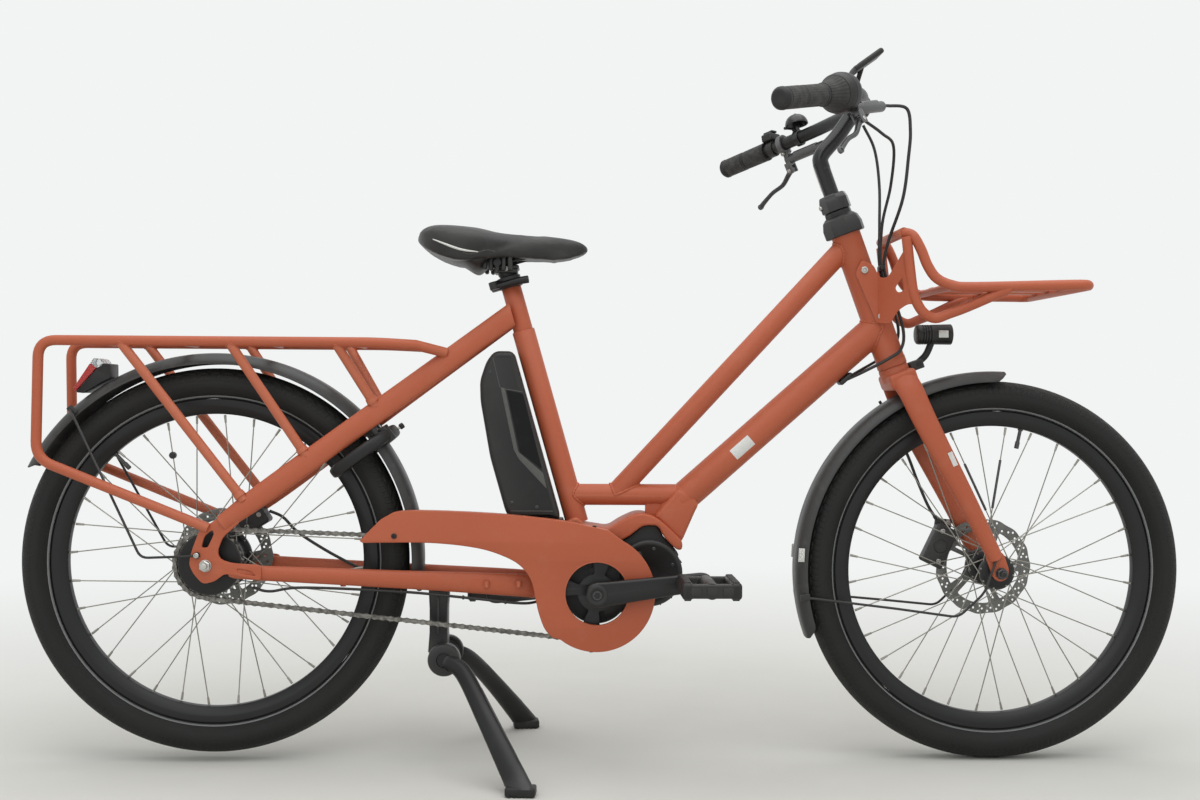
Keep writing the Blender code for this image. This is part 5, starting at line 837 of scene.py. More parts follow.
Form().turned(mm((5.1, 50), (12.5, 50), (14.8, 48), (14.8, 36), (23.5, 35.2), (24, 33), (24, 26), (28.2, 24),
    (29, 23.2), (29, 18.8), (28.2, 18), (19, 16.5), (16.5, 12), (15.5, 0), (15.8, -20), (19, -28.5),
    (28.2, -30), (29, -30.8), (29, -35.2), (28.2, -36), (13, -38.5), (11, -41), (10.8, -49.5), (5.1, -50)),
    sideways(FRONT), 64).done("front_hub_shell", hub_black, "front_wheel", "front_hub", at=FRONT)

for word, centre, y, body, bore in (("rear", REAR, 0.047, "rear_wheel", 0.0203),
        ("front", FRONT, 0.0365, "front_wheel", 0.0153)):
    rim_line = [polar(centre, 0.0792 + 0.0008 * cos(radians(a * 15)), a) for a in range(0, 360, 3)]
    holes = [arc(centre, bore, 0, 350, 35)]
    for i in range(5):
        start = 72 * i + 8
        holes.append(softened(arc(centre, 0.031, start, start + 48, 4) + arc(centre, 0.0615, start + 56,
            start + 2, 6), 0.003, 3, True))
        holes.append(softened([polar(centre, r, start + a) for r, a in ((0.04, 56), (0.056, 62), (0.0575, 66),
            (0.04, 63))], 0.002, 2, True))
    for i in range(30):
        for radius, shift in ((0.0752, 0), (0.0708, 5), (0.0666, 1.5)):
            if (i + int(shift)) % 5:
                holes.append(arc(polar(centre, radius, 12 * i + shift), 0.0019, 0, 324, 9))
    Form().plate(rim_line, y - 0.001, y + 0.001, holes, edge=0.00015).done(word + "_brake_disc", rotor_steel,
        body, word + "_rotor", at=centre)
    lock = Form().turned([(bore + 0.0001, -0.0022), (bore + 0.0085, -0.002), (bore + 0.0095, -0.0012),
        (bore + 0.0095, 0.0014), (bore + 0.008, 0.0026), (bore + 0.0001, 0.0028)],
        sideways(near(centre, 0, 0, y)), 48)
    for i in range(24):
        place = polar(centre, bore + 0.0072, 15 * i, y + 0.0026)
        lock.block(place, (0.0014, 0.0012, 0.001), edge=0.0002, segments=1)
    lock.done(word + "_lock_ring", hub_black, body, at=centre)

for word, centre, radius, reach_y, nut_y, body, node in (("rear", REAR, 0.005, 0.089, 0.0753, "frame",
        "rear_axle"), ("front", FRONT, 0.0045, 0.072, 0.0568, "steering", "front_axle")):
    axle = Form().tube(across(centre, -reach_y, reach_y), radius, 24, blunt=0.001)
    for side in (-1, 1):
        stand = along(near(centre, 0, 0, side * nut_y), side * LEFT)
        axle.turned([(radius, 0), (0.0094, 0), (0.0094, 0.0014), (0.0085, 0.0016)], stand, 32)
        axle.turned([(0.0082, 0.0014), (0.009, 0.002), (0.009, 0.0078), (0.0078, 0.0088), (radius, 0.0088)],
            stand, 6)
    axle.done(word + "_axle_and_nuts", bright if word == "rear" else hub_black, body, node, at=centre)

# Mudguards: thin moulded plastic arches with rolled edges and bent wire stays. The wires are
# bolted to the drop-outs, and clips on the guards hold their upper ends.
guard_plastic = Finish("mudguard_plastic", "guard_plastic", Specular_IOR_Level=0.5)
guard_cloud = guard_plastic.noise(8, 4)
guard_dust = guard_plastic.noise(46, 6).between(0.5, 0.8)
guard_plastic.put(height=guard_plastic.noise(1400, 2), depth=0.00008, Base_Color=guard_plastic.mix(guard_dust
    * 0.5, guard_plastic.mix(guard_cloud, rgb(44, 44, 44), rgb(56, 56, 55)), rgb(88, 87, 83)),
    Roughness=0.42 + guard_dust * 0.2)
moulded = Finish("moulded_black_plastic", "black_plastic", Specular_IOR_Level=0.38)
moulded_wear = moulded.noise(38, 6).between(0.5, 0.8)
moulded.coat(moulded_wear, moulded.cells(1500, "F1") * 0.5 + moulded.noise(240, 3) * 0.2, 0.00012,
    (19, 19, 19), (66, 65, 64), 0.44, 0.18, moulded.edges() * 0.45 + moulded_wear * 0.2)
powder = Finish("satin_black_powder_coat", "black_metal", Metallic=0.05, Specular_IOR_Level=0.42)
powder_cloud = powder.noise(26, 5)
powder.coat(powder_cloud, powder.noise(1100, 3), 0.0001, (17, 17, 18), (74, 73, 72), 0.32, 0.16,
    powder.edges() * 0.4 + powder_cloud.between(0.55, 0.9) * 0.2)
prism = Finish("prismatic_reflector", "bright_metal", Roughness=0.16, Metallic=0.25)
cells = prism.cells(420)
prism.put(height=cells.between(0, 0.2), depth=0.0003, Base_Color=prism.mix(cells.between(0, 0.12),
    rgb(170, 170, 166), rgb(224, 224, 220)))
red_clear = Finish("red_lens_plastic", "red_lens", Roughness=0.14, Coat_Weight=0.4, Coat_Roughness=0.08)
ruts = red_clear.cells(300)
red_clear.put(height=ruts.between(0, 0.25), depth=0.0003, Base_Color=red_clear.mix(ruts.between(0, 0.15),
    rgb(120, 12, 12), rgb(196, 34, 28)))


def guard(form, centre, radius, first, last):
    """A mudguard's arch between two angles, rounded at its ends."""
    rings = []
    steps = round((last - first) / 1.2)
    for i in range(steps + 1):
        angle = first + (last - first) * i / steps
        from_end = min(angle - first, last - angle)
        half = 0.0322 * (1 - 0.3 * (1 - min(from_end / 3.5, 1)) ** 2.5)
        outer, inner = [], []
        for k in range(-10, 11):
            y = half * k / 10
            r = radius - 0.017 * abs(y / 0.0325) ** 4
            outer.append(polar(centre, r + 0.0008, angle, y))
            inner.append(polar(centre, r - 0.0008, angle, y * 0.985))
        lip = 0.0014
        outer = [outer[0] - (outer[0] - centre).normalized() * lip, *outer, outer[-1]
            - (outer[-1] - centre).normalized() * lip]
        rings.append(outer + inner[::-1])
    return form.rings(rings)


guard(Form(), REAR, 0.332, -8.2, 153).done("rear_mudguard_arch", guard_plastic, "frame", "rear_mudguard",
    angle=50)
front_guard = guard(Form(), FRONT, 0.324, 87, 200)
front_guard.rod(polar(FRONT, 0.3234, 117), head(0.3304), 0.006, 16)
front_guard.done("front_mudguard_arch", guard_plastic, "steering", "front_mudguard", angle=50)
rear_wires, front_wires, rear_fixings, front_fixings = Form(), Form(), Form(), Form()
for side in (1, -1):
    path = [polar(REAR, 0.33, 133, side * 0.032), *spots(REAR, (-212, 229, side * 48),
        (-100, 12, side * 75), (-26, 15, side * 78.5), (-13, 16.5, side * 78.5))]
    rear_wires.tube([path[0]] + softened(path[1:], 0.012, 5), 0.002, 12)
    rear_wires.rod(*across(near(REAR, -0.013, 0.0165), side * 0.0753, side * 0.0805), 0.005, 20)
    bolt(rear_fixings, near(REAR, -0.013, 0.0165, side * 0.0805), side * LEFT, 0.0042, 0.0022)
    path = [polar(FRONT, 0.3168, 187.7, side * 0.0287), *spots(FRONT, (-165, -58, side * 48),
        (-71, -69, side * 63), (-30, -30, side * 66), (-8, 26, side * 59.5))]
    front_wires.tube([path[0]] + softened(path[1:], 0.012, 5), 0.002, 12)
    bolt(front_fixings, near(FRONT, -0.008, 0.026, side * 0.059), side * LEFT, 0.0045, 0.003)
    clip = near(REAR, 0, 0, side * 0.0322) + (polar(REAR, 0.326, 132.6) - REAR)
    rear_wires.block(clip, (0.01, 0.0035, 0.016), tipped(-radians(40.9)), 0.001)
    clip = near(FRONT, 0, 0, side * 0.0318) + (polar(FRONT, 0.3135, 187.7) - FRONT)
    front_wires.block(clip, (0.016, 0.0035, 0.01), tipped(-radians(7.7)), 0.001)
rear_wires.done("rear_guard_wires", powder, "frame")
front_wires.done("front_guard_wires", powder, "steering")
rear_fixings.done("rear_guard_bolts", bright, "frame")
front_fixings.done("front_guard_bolts", bright, "steering")
side_mark = Form()
for side in (1, -1):
    side_mark.block(polar(FRONT, 0.3185, 175.3, side * 0.033), (0.01, 0.0016, 0.022), tipped(radians(2.5)),
        0.0006)
side_mark.done("front_guard_reflectors", prism, "steering")

# Fork: a welded crown with two oval tapered blades and cut drop-outs, painted with the frame.
# Its steel steerer runs through the head tube under a pair of black bearing collars.
fork_form = Form()
for side in (1, -1):
    shoulder, ankle = head(0.324, 0.004, 0.045), near(FRONT, -0.008, 0.0225, 0.0545)
    upper = shoulder.lerp(ankle, 0.209) - 0.0027 * STEER_OUT
    lower = shoulder.lerp(ankle, 0.674)
    upper.y, lower.y = 0.0525, 0.054
    knots = [head(0.346, 0.002, 0.03), shoulder, upper, lower, ankle]
    fork_form.tube([Vector((p.x, side * p.y, p.z)) for p in smooth(knots)], swelling(
        (0.021, 0.0205, 0.019, 0.015, 0.0122)), 32, wide=0.0105, blunt=0.003)
    tip = spots(FRONT, (-26, 30), (-12, 40), (4, 32), (13, 6), (10, -9), (-2, -14), (-12, -8))
    fork_form.plate(softened(tip, 0.006, 4, True), side * 0.0505, side * 0.0565,
        (arc(FRONT, 0.0048, 0, 345, 23),), edge=0.001)
fork_form.block(head(0.3445, 0.002), (0.046, 0.08, 0.026), HEAD_TURN, 0.006, 4)
fork_form.turned(mm((14, 0), (24.5, 0), (24.5, 19), (23.6, 20), (23.6, 21.5), (14, 21.7)),
    along(head(0.346), STEER), 40)
fork_form.done("fork_blades_and_crown", terracotta, "steering", "fork", angle=50)
steerer = Form().rod(head(0.36), head(0.6365), 0.0143, 32)
steerer.done("fork_steerer", bright, "steering")
blade_mark = Form()
for side in (-1, 1):
    mark = Vector((0.547, side * 0.064, 0.492))
    blade_mark.block(mark, (0.024, 0.0008, 0.008), tipped(radians(66)), 0.0003, 1)
blade_mark.done("fork_foil", foil, "steering")
collar = Form().turned(mm((24.9, 596.2), (32.2, 596.2), (33.6, 597.6), (33.8, 612), (30, 624), (25, 628.5),
    (22.6, 630), (22.2, 636.8), (16, 636.8), (16, 608.5), (24.9, 608.2), (24.9, 596.2)),
    along(HEAD_FOOT, STEER), 8)
collar.done("headset_collar", powder, "frame", "headset_upper", angle=25, bevel=0.0009)

# Stem and bar: a cone, a riser and a forged arm clamp the swept aluminium bar. A thin bright
# strip up the back of the riser is a painted highlight along its back edge, not a part.
BAR_END, BAR_BEND, BAR_MIDDLE = fore(-0.2379, 0.3696, 0.302), fore(-0.1015, 0.413, 0.154), fore(-0.0629,
    0.4206)
gloss_black = Finish("polished_black", "black_metal", Metallic=0.3, Coat_Weight=0.35, Coat_Roughness=0.12)
gloss_black.coat(gloss_black.noise(30, 5), gloss_black.noise(500, 2), 0.00004, (10, 10, 11), (60, 60, 60),
    0.28, 0.12, gloss_black.edges() * 0.4)
riser_top = head(0.722)
stem_form = Form().turned(mm((12.9, 637.1), (22.2, 637.1), (24.6, 638.8), (25, 640), (24.7, 656), (22.2, 664),
    (20.6, 665.5), (15, 666.2)), along(HEAD_FOOT, STEER), 8)
stem_form.turned(mm((12.9, 640), (12.9, 666), (12.7, 668), (12.7, 721)), along(HEAD_FOOT, STEER), 48)
arm = [riser_top - 0.014 * STEER, riser_top + Vector((0.002, 0, 0.01)), riser_top + Vector((0.03, 0, 0.045)),
    BAR_MIDDLE]
stem_form.tube(smooth(arm, 8), swelling((0.0127, 0.013, 0.0128, 0.0124), 8), 36)
stem_form.turned(both((12.9, -23.5), (19.5, -24), (20.5, -22.8), (20.5, -5), (19.8, -4.4)),
    along(BAR_MIDDLE, LEFT), 48)
lid = (BAR_MIDDLE - arm[2]).normalized()
side_way = lid.cross(LEFT).normalized()
stem_bolts = Form()
for y in (-0.0165, 0.0165):
    for lift in (-1, 1):
        place = BAR_MIDDLE + y * LEFT + side_way * lift * 0.0165
        stem_form.tube([place - lid * 0.006, place + lid * 0.011], 0.0052, 20, blunt=0.001)
        bolt(stem_bolts, place + lid * 0.011, lid, 0.004, 0.0026)
bolt(stem_bolts, head(0.65, -0.0235), -STEER_OUT, 0.0042, 0.003)
stem_form.done("stem_body", gloss_black, "steering", "stem", angle=30)
stem_bolts.done("stem_bolts", bright, "steering")
# A thin bright rod set into the riser's back: a painted highlight along the back edge of the black stem.
Form().rod(head(0.676, -0.0121), head(0.716, -0.0121), 0.0016, 10).done("stem_height_strip", bright,
    "steering")
GRIP_AXIS = (BAR_BEND - BAR_END).normalized()
half_bar = softened([BAR_END + 0.004 * GRIP_AXIS, BAR_BEND, fore(-0.0809, 0.4185, 0.11),
    BAR_MIDDLE + Vector((-0.0015, 0.052, 0)), BAR_MIDDLE + 0.04 * LEFT], 0.024, 8)
half_radii = [0.0111] * (len(half_bar) - 1) + [0.0127]
whole = half_bar + [Vector((p.x, -p.y, p.z)) for p in reversed(half_bar)]
Form().tube(whole, half_radii + half_radii[::-1], 32).done("swept_bar", powder, "steering", "handlebar",
    angle=40)

# Grips: soft rubber sleeves, each with two zones of raised diamonds parted by a smooth ring.
# The right sleeve is shorter and runs on into the twist shifter, which flares to its drum.
grip_rubber = Finish("grip_rubber", "rubber", Specular_IOR_Level=0.4)
grip_x, grip_y, grip_z = (grip_rubber.axis(i) for i in range(3))
grip_turn = around(grip_y, grip_x)
diamonds = wave(grip_turn * 14 + grip_z * 900) * wave(grip_turn * 14 - grip_z * 900)
grip_grey = grip_rubber.noise(70, 5)
grip_rubber.coat(grip_grey, diamonds.between(-0.05, 0.4) + grip_rubber.noise(900, 2) * 0.15, 0.0008,
    (52, 52, 51), (78, 77, 75), 0.66, 0.18, grip_grey.between(0.35, 0.75))
smooth_rubber = Finish("smooth_rubber", "rubber", Specular_IOR_Level=0.45)
smooth_grey = smooth_rubber.noise(55, 5)
smooth_rubber.coat(smooth_grey, smooth_rubber.noise(1200, 2), 0.0001, (26, 26, 26), (46, 46, 45), 0.48, 0.2,
    smooth_grey.between(0.4, 0.8))
ribbed = Finish("ribbed_sleeve_rubber", "rubber", Specular_IOR_Level=0.4)
rib_turn = around(ribbed.axis(1), ribbed.axis(0))
rib_grey = ribbed.noise(60, 5)
ribbed.coat(rib_grey, wave(rib_turn * 26).between(-0.5, 0.3), 0.0009, (50, 50, 49), (76, 75, 73), 0.62, 0.2,
    rib_grey.between(0.4, 0.8))
REACH = Vector((0.5, 0, -0.87))


def grip_frame(side):
    """The frame at the bar's end: Z inwards along the grip, X towards the lever."""
    return along(Vector((BAR_END.x, side * BAR_END.y, BAR_END.z)), Vector((GRIP_AXIS.x, side * GRIP_AXIS.y,
        GRIP_AXIS.z)), REACH)


def held(item, matrix):
    """Keep a finished piece's shape in a frame of its own, which its pattern follows."""
    item.data.transform(matrix.inverted())
    item.matrix_world = matrix
    return item


for side, word, long in ((1, "left", 0.1), (-1, "right", 0.113)):
    stand = grip_frame(side)
    zones = ((0.009, 0.047), (0.053, long - 0.006))
    sleeve = Form()
    for low, high in zones:
        sleeve.turned([(0.015, low), (0.0162, low + 0.0008), (0.0164, high - 0.0008), (0.015, high)], stand,
            96)
    held(sleeve.done("grip_%s_sleeve" % word, grip_rubber, "steering"), stand)
    ends = Form().turned(mm((0, -4), (10, -4), (12.8, -3.4), (14.2, -2), (16.5, 1), (16.8, 5), (15.8, 8.5),
        (15, 9.2), (15, 46.8), (15.8, 47.4), (16, 50), (15.8, 52.6), (15, 53.2)) + [(0.015, long - 0.0062),
        (0.0164, long - 0.0055), (0.0168, long - 0.003), (0.0164, long), (0.0114, long)], stand, 64)
    ends.done("grip_%s_ends" % word, smooth_rubber, "steering", "grip_" + word)
stand = grip_frame(-1)
z0, z1 = 0.1133, 0.1833
sleeve = Form().turned([(0.0114, z0), (0.0172, z0), (0.0178, z0 + 0.001), (0.0182, z0 + 0.01),
    (0.0196, z0 + 0.018), (0.0224, z0 + 0.026), (0.0262, z0 + 0.034), (0.0266, z0 + 0.0352),
    (0.0114, z0 + 0.0353)], stand, 96)
held(sleeve.done("shifter_sleeve", ribbed, "shifter", "twist_shifter"), stand)
drum = Form().turned([(0.0114, z0 + 0.0356), (0.0272, z0 + 0.0356), (0.029, z0 + 0.038), (0.031, z0 + 0.049),
    (0.031, z1 - 0.01), (0.03, z1 - 0.005), (0.028, z1 - 0.0004), (0.027, z1), (0.0114, z1)], stand, 64)
drum.turned([(0.0311, z0 + 0.05), (0.0314, z0 + 0.051), (0.0314, z0 + 0.053), (0.0311, z0 + 0.054)], stand,
    64)
drum.done("shifter_drum", moulded, "shifter")

# Brake levers: a cast body clamped to the bar holds the cylinder, and a one-finger blade turns on
# a bright pin between its ears. The clamp's two bolts are a separate piece, and the hose nut is part of the
# body.
cast_grey = Finish("grey_cast_alloy", "black_metal", Metallic=0.55)
cast_cloud = cast_grey.noise(45, 5)
cast_grey.coat(cast_cloud, cast_grey.noise(800, 3), 0.0001, (58, 58, 60), (128, 128, 128), 0.34, 0.14,
    cast_grey.edges() * 0.5 + cast_cloud * 0.2)
for side, word, z in ((1, "left", 0.136), (-1, "right", 0.1886)):
    stand = grip_frame(side)

    def local(x, y, up, stand=stand):
        return stand @ Vector((x, y, up))

    turn = stand.to_3x3()
    along_bar = turn @ UP
    body = Form().turned([(0.0114, z - 0.005), (0.016, z - 0.005), (0.017, z - 0.0042), (0.017, z + 0.0042),
        (0.016, z + 0.005), (0.0114, z + 0.005)], stand, 48)
    body.tube([local(0.028, 0, z - 0.005), local(0.028, 0, z + 0.081)], 0.0085, 32, blunt=0.0022)
    body.tube([local(0.028, 0, z + 0.078), local(0.028, 0, z + 0.086)], 0.0046, 20, blunt=0.0008)
    body.block(local(0.021, 0, z), (0.02, 0.0135, 0.01), turn, 0.0022)
    body.block(local(0.034, 0, z), (0.012, 0.016, 0.01), turn, 0.0022)
    body.block(local(0.026, 0, z + 0.04), (0.0155, 0.016, 0.052), turn, 0.004)
    for y in (-0.0068, 0.0068):
        body.block(local(0.043, y, z - 0.002), (0.02, 0.0032, 0.0138), turn, 0.0012)
    body.done("brake_%s_body" % word, cast_grey, "steering", "brake_body_" + word, angle=40)
    pins = Form()
    for y in (-0.0125, 0.0125):
        bolt(pins, local(0.0155, y, z), turn @ Vector((0, 1 if y > 0 else -1, 0)), 0.0032, 0.0024)
    for lift in (-1, 1):
        pins.rod(local(0.047, lift * 0.0084, z - 0.003), local(0.047, lift * 0.0092, z - 0.003), 0.0034, 20)
    pins.done("brake_%s_bolts" % word, bright, "steering")
    root = Vector((0.047, 0, z - 0.003))
    blade = smooth(spots(root, (0, 0), (8, -12), (20, -30), (26, -56), (36, -80), (42, -92)), 5)
    radii = [0.005 - 0.0012 * min(i / 12, 1) + 0.001 * max(0, (i - 17) / 8) for i in range(len(blade))]
    lever = Form().tube([stand @ p for p in blade], radii, 20, blunt=0.001)
    lever.tube([local(0.047, -0.005, z - 0.003), local(0.047, 0.005, z - 0.003)], 0.006, 28, blunt=0.0006)
    lever.tube([stand @ (blade[-1] + Vector((0, -0.003, 0))), stand @ (blade[-1] + Vector((0, 0.003, 0)))],
        0.0052, 20, blunt=0.001)
    lever.done("brake_%s_blade" % word, cast_grey, "brake_lever_" + word, "brake_lever_" + word)

# Display, bell and assist switch: small plastic housings on their own clamp rings. The display
# is a glossy dark glass in a slim slab, and the bell's dome is blackened spring brass.
glass = Finish("display_glass", "black_plastic", Roughness=0.06, Specular_IOR_Level=0.5, Coat_Weight=0.6,
    Coat_Roughness=0.03)
smear = glass.noise(24, 6).between(0.5, 0.8)
glass.coat(smear, glass.noise(60, 2), 0.00002, (12, 13, 15), (28, 30, 33), 0.05, 0.12)
tilt = tipped(-radians(36))
slab_at = fore(-0.0469, 0.4966)
screen_up = tilt @ UP
pad = Form().block(slab_at, (0.056, 0.05, 0.009), tilt, 0.0034, 4)
pad.turned(both((13.1, -4), (15.8, -4), (16.5, -3.2)), along(BAR_MIDDLE + 0.029 * LEFT, LEFT), 40)
pad.tube(smooth([BAR_MIDDLE + Vector((0.004, 0.0292, 0.0135)), fore(-0.0559, 0.4646, 0.0292),
    fore(-0.0509, 0.4926, 0.012)], 8), 0.004, 20)
pad.done("display_housing", moulded, "steering", "display", angle=40)
Form().block(slab_at + screen_up * 0.0042 + tilt @ Vector((0.003, 0, 0)), (0.045, 0.043, 0.0016), tilt,
    0.0007).done("display_screen", glass, "steering")
keys_form = Form()
for y in (-0.012, 0, 0.012):
    keys_form.block(slab_at + screen_up * 0.0044 + tilt @ Vector((-0.0235, y, 0)), (0.0045, 0.009, 0.0014),
        tilt, 0.0006)
keys_form.done("display_keys", smooth_rubber, "steering")
stand = grip_frame(1)
up_in_grip = stand.to_3x3().inverted() @ UP
up_in_grip.z = 0
up_in_grip.normalize()
bell_at = Vector((0, 0, 0.172))
upward = stand.to_3x3() @ up_in_grip
bell_form = Form().turned(mm((11.4, 167), (13.8, 167), (14.5, 167.6), (14.5, 176.4), (13.8, 177),
    (11.4, 177)), stand, 40)
bell_form.rod(stand @ (up_in_grip * 0.01 + bell_at), stand @ (up_in_grip * 0.03 + bell_at), 0.004, 16)
bell_form.turned(mm((0, 19), (5, 18.6), (11, 16.6), (15.5, 13.2), (18.6, 8.6), (20.2, 3.6), (20.5, 0.4),
    (20.3, 0), (19.3, 0.4), (17, 8), (10, 15), (0, 17.5)), along(stand @ (up_in_grip * 0.024 + bell_at),
    upward), 64)
bell_form.turned(mm((3, 18.4), (3.4, 19.6), (2.6, 20.4), (0, 20.6)), along(stand
    @ (up_in_grip * 0.024 + bell_at), upward), 24)
bell_form.done("bell_dome", gloss_black, "steering", "bell")
striker_at = up_in_grip * 0.0188 + Vector((0, 0, 0.1642))
back_way = up_in_grip.cross(UP)
thumb = Form().tube([stand @ striker_at, stand @ (striker_at - back_way * 0.014 - UP * 0.0025),
    stand @ (striker_at - back_way * 0.022 - UP * 0.004)], [0.0018, 0.0019, 0.0026], 16, blunt=0.0008)
thumb.rod(stand @ (striker_at - up_in_grip * 0.003), stand @ (striker_at + up_in_grip * 0.003), 0.0035, 20)
thumb.done("bell_thumb_lever", smooth_rubber, "striker", "bell_striker")
switch_at = Vector((0, 0, 0.1125))
turn = along(Vector(), up_in_grip).to_3x3()
cube_turn = stand.to_3x3() @ turn
switch = Form().turned(mm((11.4, 106.5), (13.8, 106.5), (14.5, 107.2), (14.5, 117.8), (13.8, 118.5),
    (11.4, 118.5)), stand, 40)
switch.block(stand @ (switch_at + up_in_grip * 0.02), (0.022, 0.03, 0.014), cube_turn, 0.003, 4)
switch.done("assist_switch_housing", moulded, "steering", "assist_switch", angle=40)
rocker = Form().cad("assist_rocker")
rocker.done("assist_rocker_key", smooth_rubber, "rocker", "assist_rocker", bevel=0.0006)

# Front lamp: a drum with a clear lens, a bright bowl and a small window in its side, on an arm
# that tilts between the two ears of its bracket. Fins cool the lamp's back.
clear_lens = Finish("lamp_lens", "black_plastic", Roughness=0.05, Transmission_Weight=0.85, IOR=1.45)
flute = wave(clear_lens.axis(1) * 2600)
clear_lens.put(height=flute * 0.5, depth=0.0002, Base_Color=clear_lens.mix(clear_lens.noise(50, 3),
    rgb(214, 220, 222), rgb(238, 242, 242)))
LAMP_HINGE = head(0.358, 0.041)
drum_start, drum_end = LAMP_HINGE + Vector((-0.004, 0, 0.0474)), LAMP_HINGE + Vector((0.054, 0, 0.0482))
barrel = along(drum_start, drum_end - drum_start)
lamp_profile = [(0, 0), (0.013, 0), (0.0152, 0.0016), (0.016, 0.004)]
for i in range(4):
    z = 0.0065 + i * 0.0042
    lamp_profile += [(0.0162, z), (0.0162, z + 0.0018), (0.0148, z + 0.0022), (0.0148, z + 0.0038)]
lamp_profile += mm((16.2, 23.6), (16.5, 40), (16.7, 50), (16.8, 57.5), (16.3, 58), (15.2, 58), (14, 52),
    (0, 48))
lamp_form = Form().turned(lamp_profile, barrel, 64)
lamp_form.tube(smooth(spots(LAMP_HINGE, (2, 3), (14, 16), (24, 40)), 8), 0.0056, 24)
lamp_form.tube(across(LAMP_HINGE, -0.0072, 0.0072), 0.0068, 32, blunt=0.0008)
lamp_form.done("lamp_drum", moulded, "lamp", "headlight")
Form().turned(mm((15.1, 56), (14, 58.8), (8, 60.2), (0, 60.6)), barrel, 48).done("lamp_glass", clear_lens,
    "lamp")
Form().turned(mm((14.6, 55.5), (12, 53), (6, 50.6), (0, 50)), barrel, 48).done("lamp_bowl", bright, "lamp")
Form().block(barrel @ Vector((0, 0, 0.042)) - 0.0149 * LEFT, (0.0165, 0.004, 0.012),
    barrel.to_3x3() @ tipped(pi / 2), 0.0012).done("lamp_window", bright, "lamp")
bracket = Form().block(head(0.3455, 0.0275), (0.0044, 0.025, 0.021), HEAD_TURN, 0.0012)
for side in (1, -1):
    bracket.block(head(0.357, 0.0368, side * 0.0094), (0.0215, 0.0036, 0.015), HEAD_TURN, 0.0012)
    bracket.tube(across(LAMP_HINGE, side * 0.0108, side * 0.0132), 0.0042, 24, blunt=0.0006)
bracket.rod(*across(LAMP_HINGE, -0.0112, 0.0112), 0.0022, 16)
bracket.done("lamp_bracket", powder, "steering", "headlight_bracket", angle=40)

# Motor: a cast drum and crank housing in one casing, hung by lugs from the arched bracket. A
# round cover with a raised rim and six screws closes the drum.
casing = Finish("cast_motor_casing", "black_metal", Metallic=0.2)
casing_cloud = casing.noise(30, 4)
casing.coat(casing_cloud, casing.noise(700, 4), 0.0002, (15, 15, 16), (74, 74, 73), 0.42, 0.16,
    casing.edges() * 0.5 + casing_cloud * 0.12)
drum_at = near(CRANK, 0.085, 0.029)
motor_form = Form().turned(mm((0, 30), (18, 30), (20, 31.8), (44, 31.8), (46, 32.8), (50, 32.8), (52, 31.8),
    (53.5, 30), (53.5, 12), (52.8, 11.2), (52.8, 9.2), (53.5, 8.4), (53.5, -30), (52, -31.8), (50, -32.8),
    (46, -32.8), (44, -31.2), (20, -31.2), (18, -29.6), (0, -29.6)), sideways(drum_at), 96)
motor_form.turned(both((12.6, 33), (20, 33), (21.5, 32), (44, 31.2), (51, 30.6), (52.2, 29.2), (52.2, 26.2),
    (46, 24)), sideways(CRANK), 80)
motor_form.block(near(CRANK, 0.042, 0.012), (0.095, 0.064, 0.088), tipped(-0.33), 0.006, 4)
shoulder = spots(CRANK, (30, 75.5), (52, 86.2), (75.7, 105.7), (97.5, 105.7), (108.8, 85.6), (129, 65.2),
    (134, 56), (120, 45), (60, 30))
motor_form.plate(softened(shoulder, 0.004, 3, True), -0.022, 0.022, edge=0.0025).block(
    near(CRANK, -0.0472, 0.004), (0.025, 0.044, 0.024), edge=0.003)
for i in range(7):
    motor_form.block(polar(drum_at, 0.0535, -70 + 22 * i), (0.004, 0.052, 0.0022),
        tipped(-radians(-70 + 22 * i)), 0.0008)
motor_form.done("motor_casing", casing, "frame", "motor", angle=40)
motor_screws = Form()
for i in range(6):
    for side in (1, -1):
        bolt(motor_screws, polar(drum_at, 0.04, 60 * i + 20, side * 0.0316), side * LEFT, 0.003, 0.0016)
motor_screws.done("motor_screws", hub_black, "frame")

# Chain case: a moulded cover painted with the frame. It is a plate outside the chain whose rim
# turns in over the top run and round the chainring, open below.
ring_side = arc(CRANK, 0.0925, 62, -128, 76)
crest = smooth(spots(CRANK, (-374, 83), (-352, 106), (-334, 121), (-298, 131), (-167, 127), (-58, 116),
    (-12, 107), (24, 99)), 6)
under = smooth(spots(CRANK, (-66.5, -72.5), (-82, -56), (-92, -30), (-97, -8), (-104, 20), (-119, 42),
    (-145, 58), (-190, 72), (-265, 80), (-370, 80)), 5)
case_loop = crest[:-1] + ring_side + under[1:]
case_form = Form().plate(case_loop, -0.061, -0.0572, (arc(CRANK, 0.05, 0, 355, 71),), edge=0.0016)
rim_path = crest[2:-1] + ring_side
rim_rings = []
for i, place in enumerate(rim_path):
    run = (rim_path[min(i + 1, len(rim_path) - 1)] - rim_path[max(i - 1, 0)]).normalized()
    inward = LEFT.cross(run)
    rim_rings.append([Vector((q.x, y, q.z)) for q, y in ((place + inward * 0.0003, -0.059),
        (place + inward * 0.0003, -0.0426), (place + inward * 0.0009, -0.042), (place + inward * 0.0017,
        -0.042), (place + inward * 0.0021, -0.0426), (place + inward * 0.0021, -0.059))])
case_form.rings(rim_rings)
case_form.rod(*across(near(CRANK, 0.083, 0.029), -0.058, -0.0333), 0.0038, 16)
case_form.done("chain_case_cover", terracotta, "frame", "chain_case", angle=50)
Form().turned(mm((49.6, -56), (49.6, -60.6), (50, -61.2), (51.6, -61.2), (52, -60.6)), sideways(CRANK),
    96).done("chain_case_lip", terracotta, "frame")
case_bolts = Form()
bolt(case_bolts, near(CRANK, -0.32, 0.091, -0.0606), -LEFT, 0.0044, 0.0026)
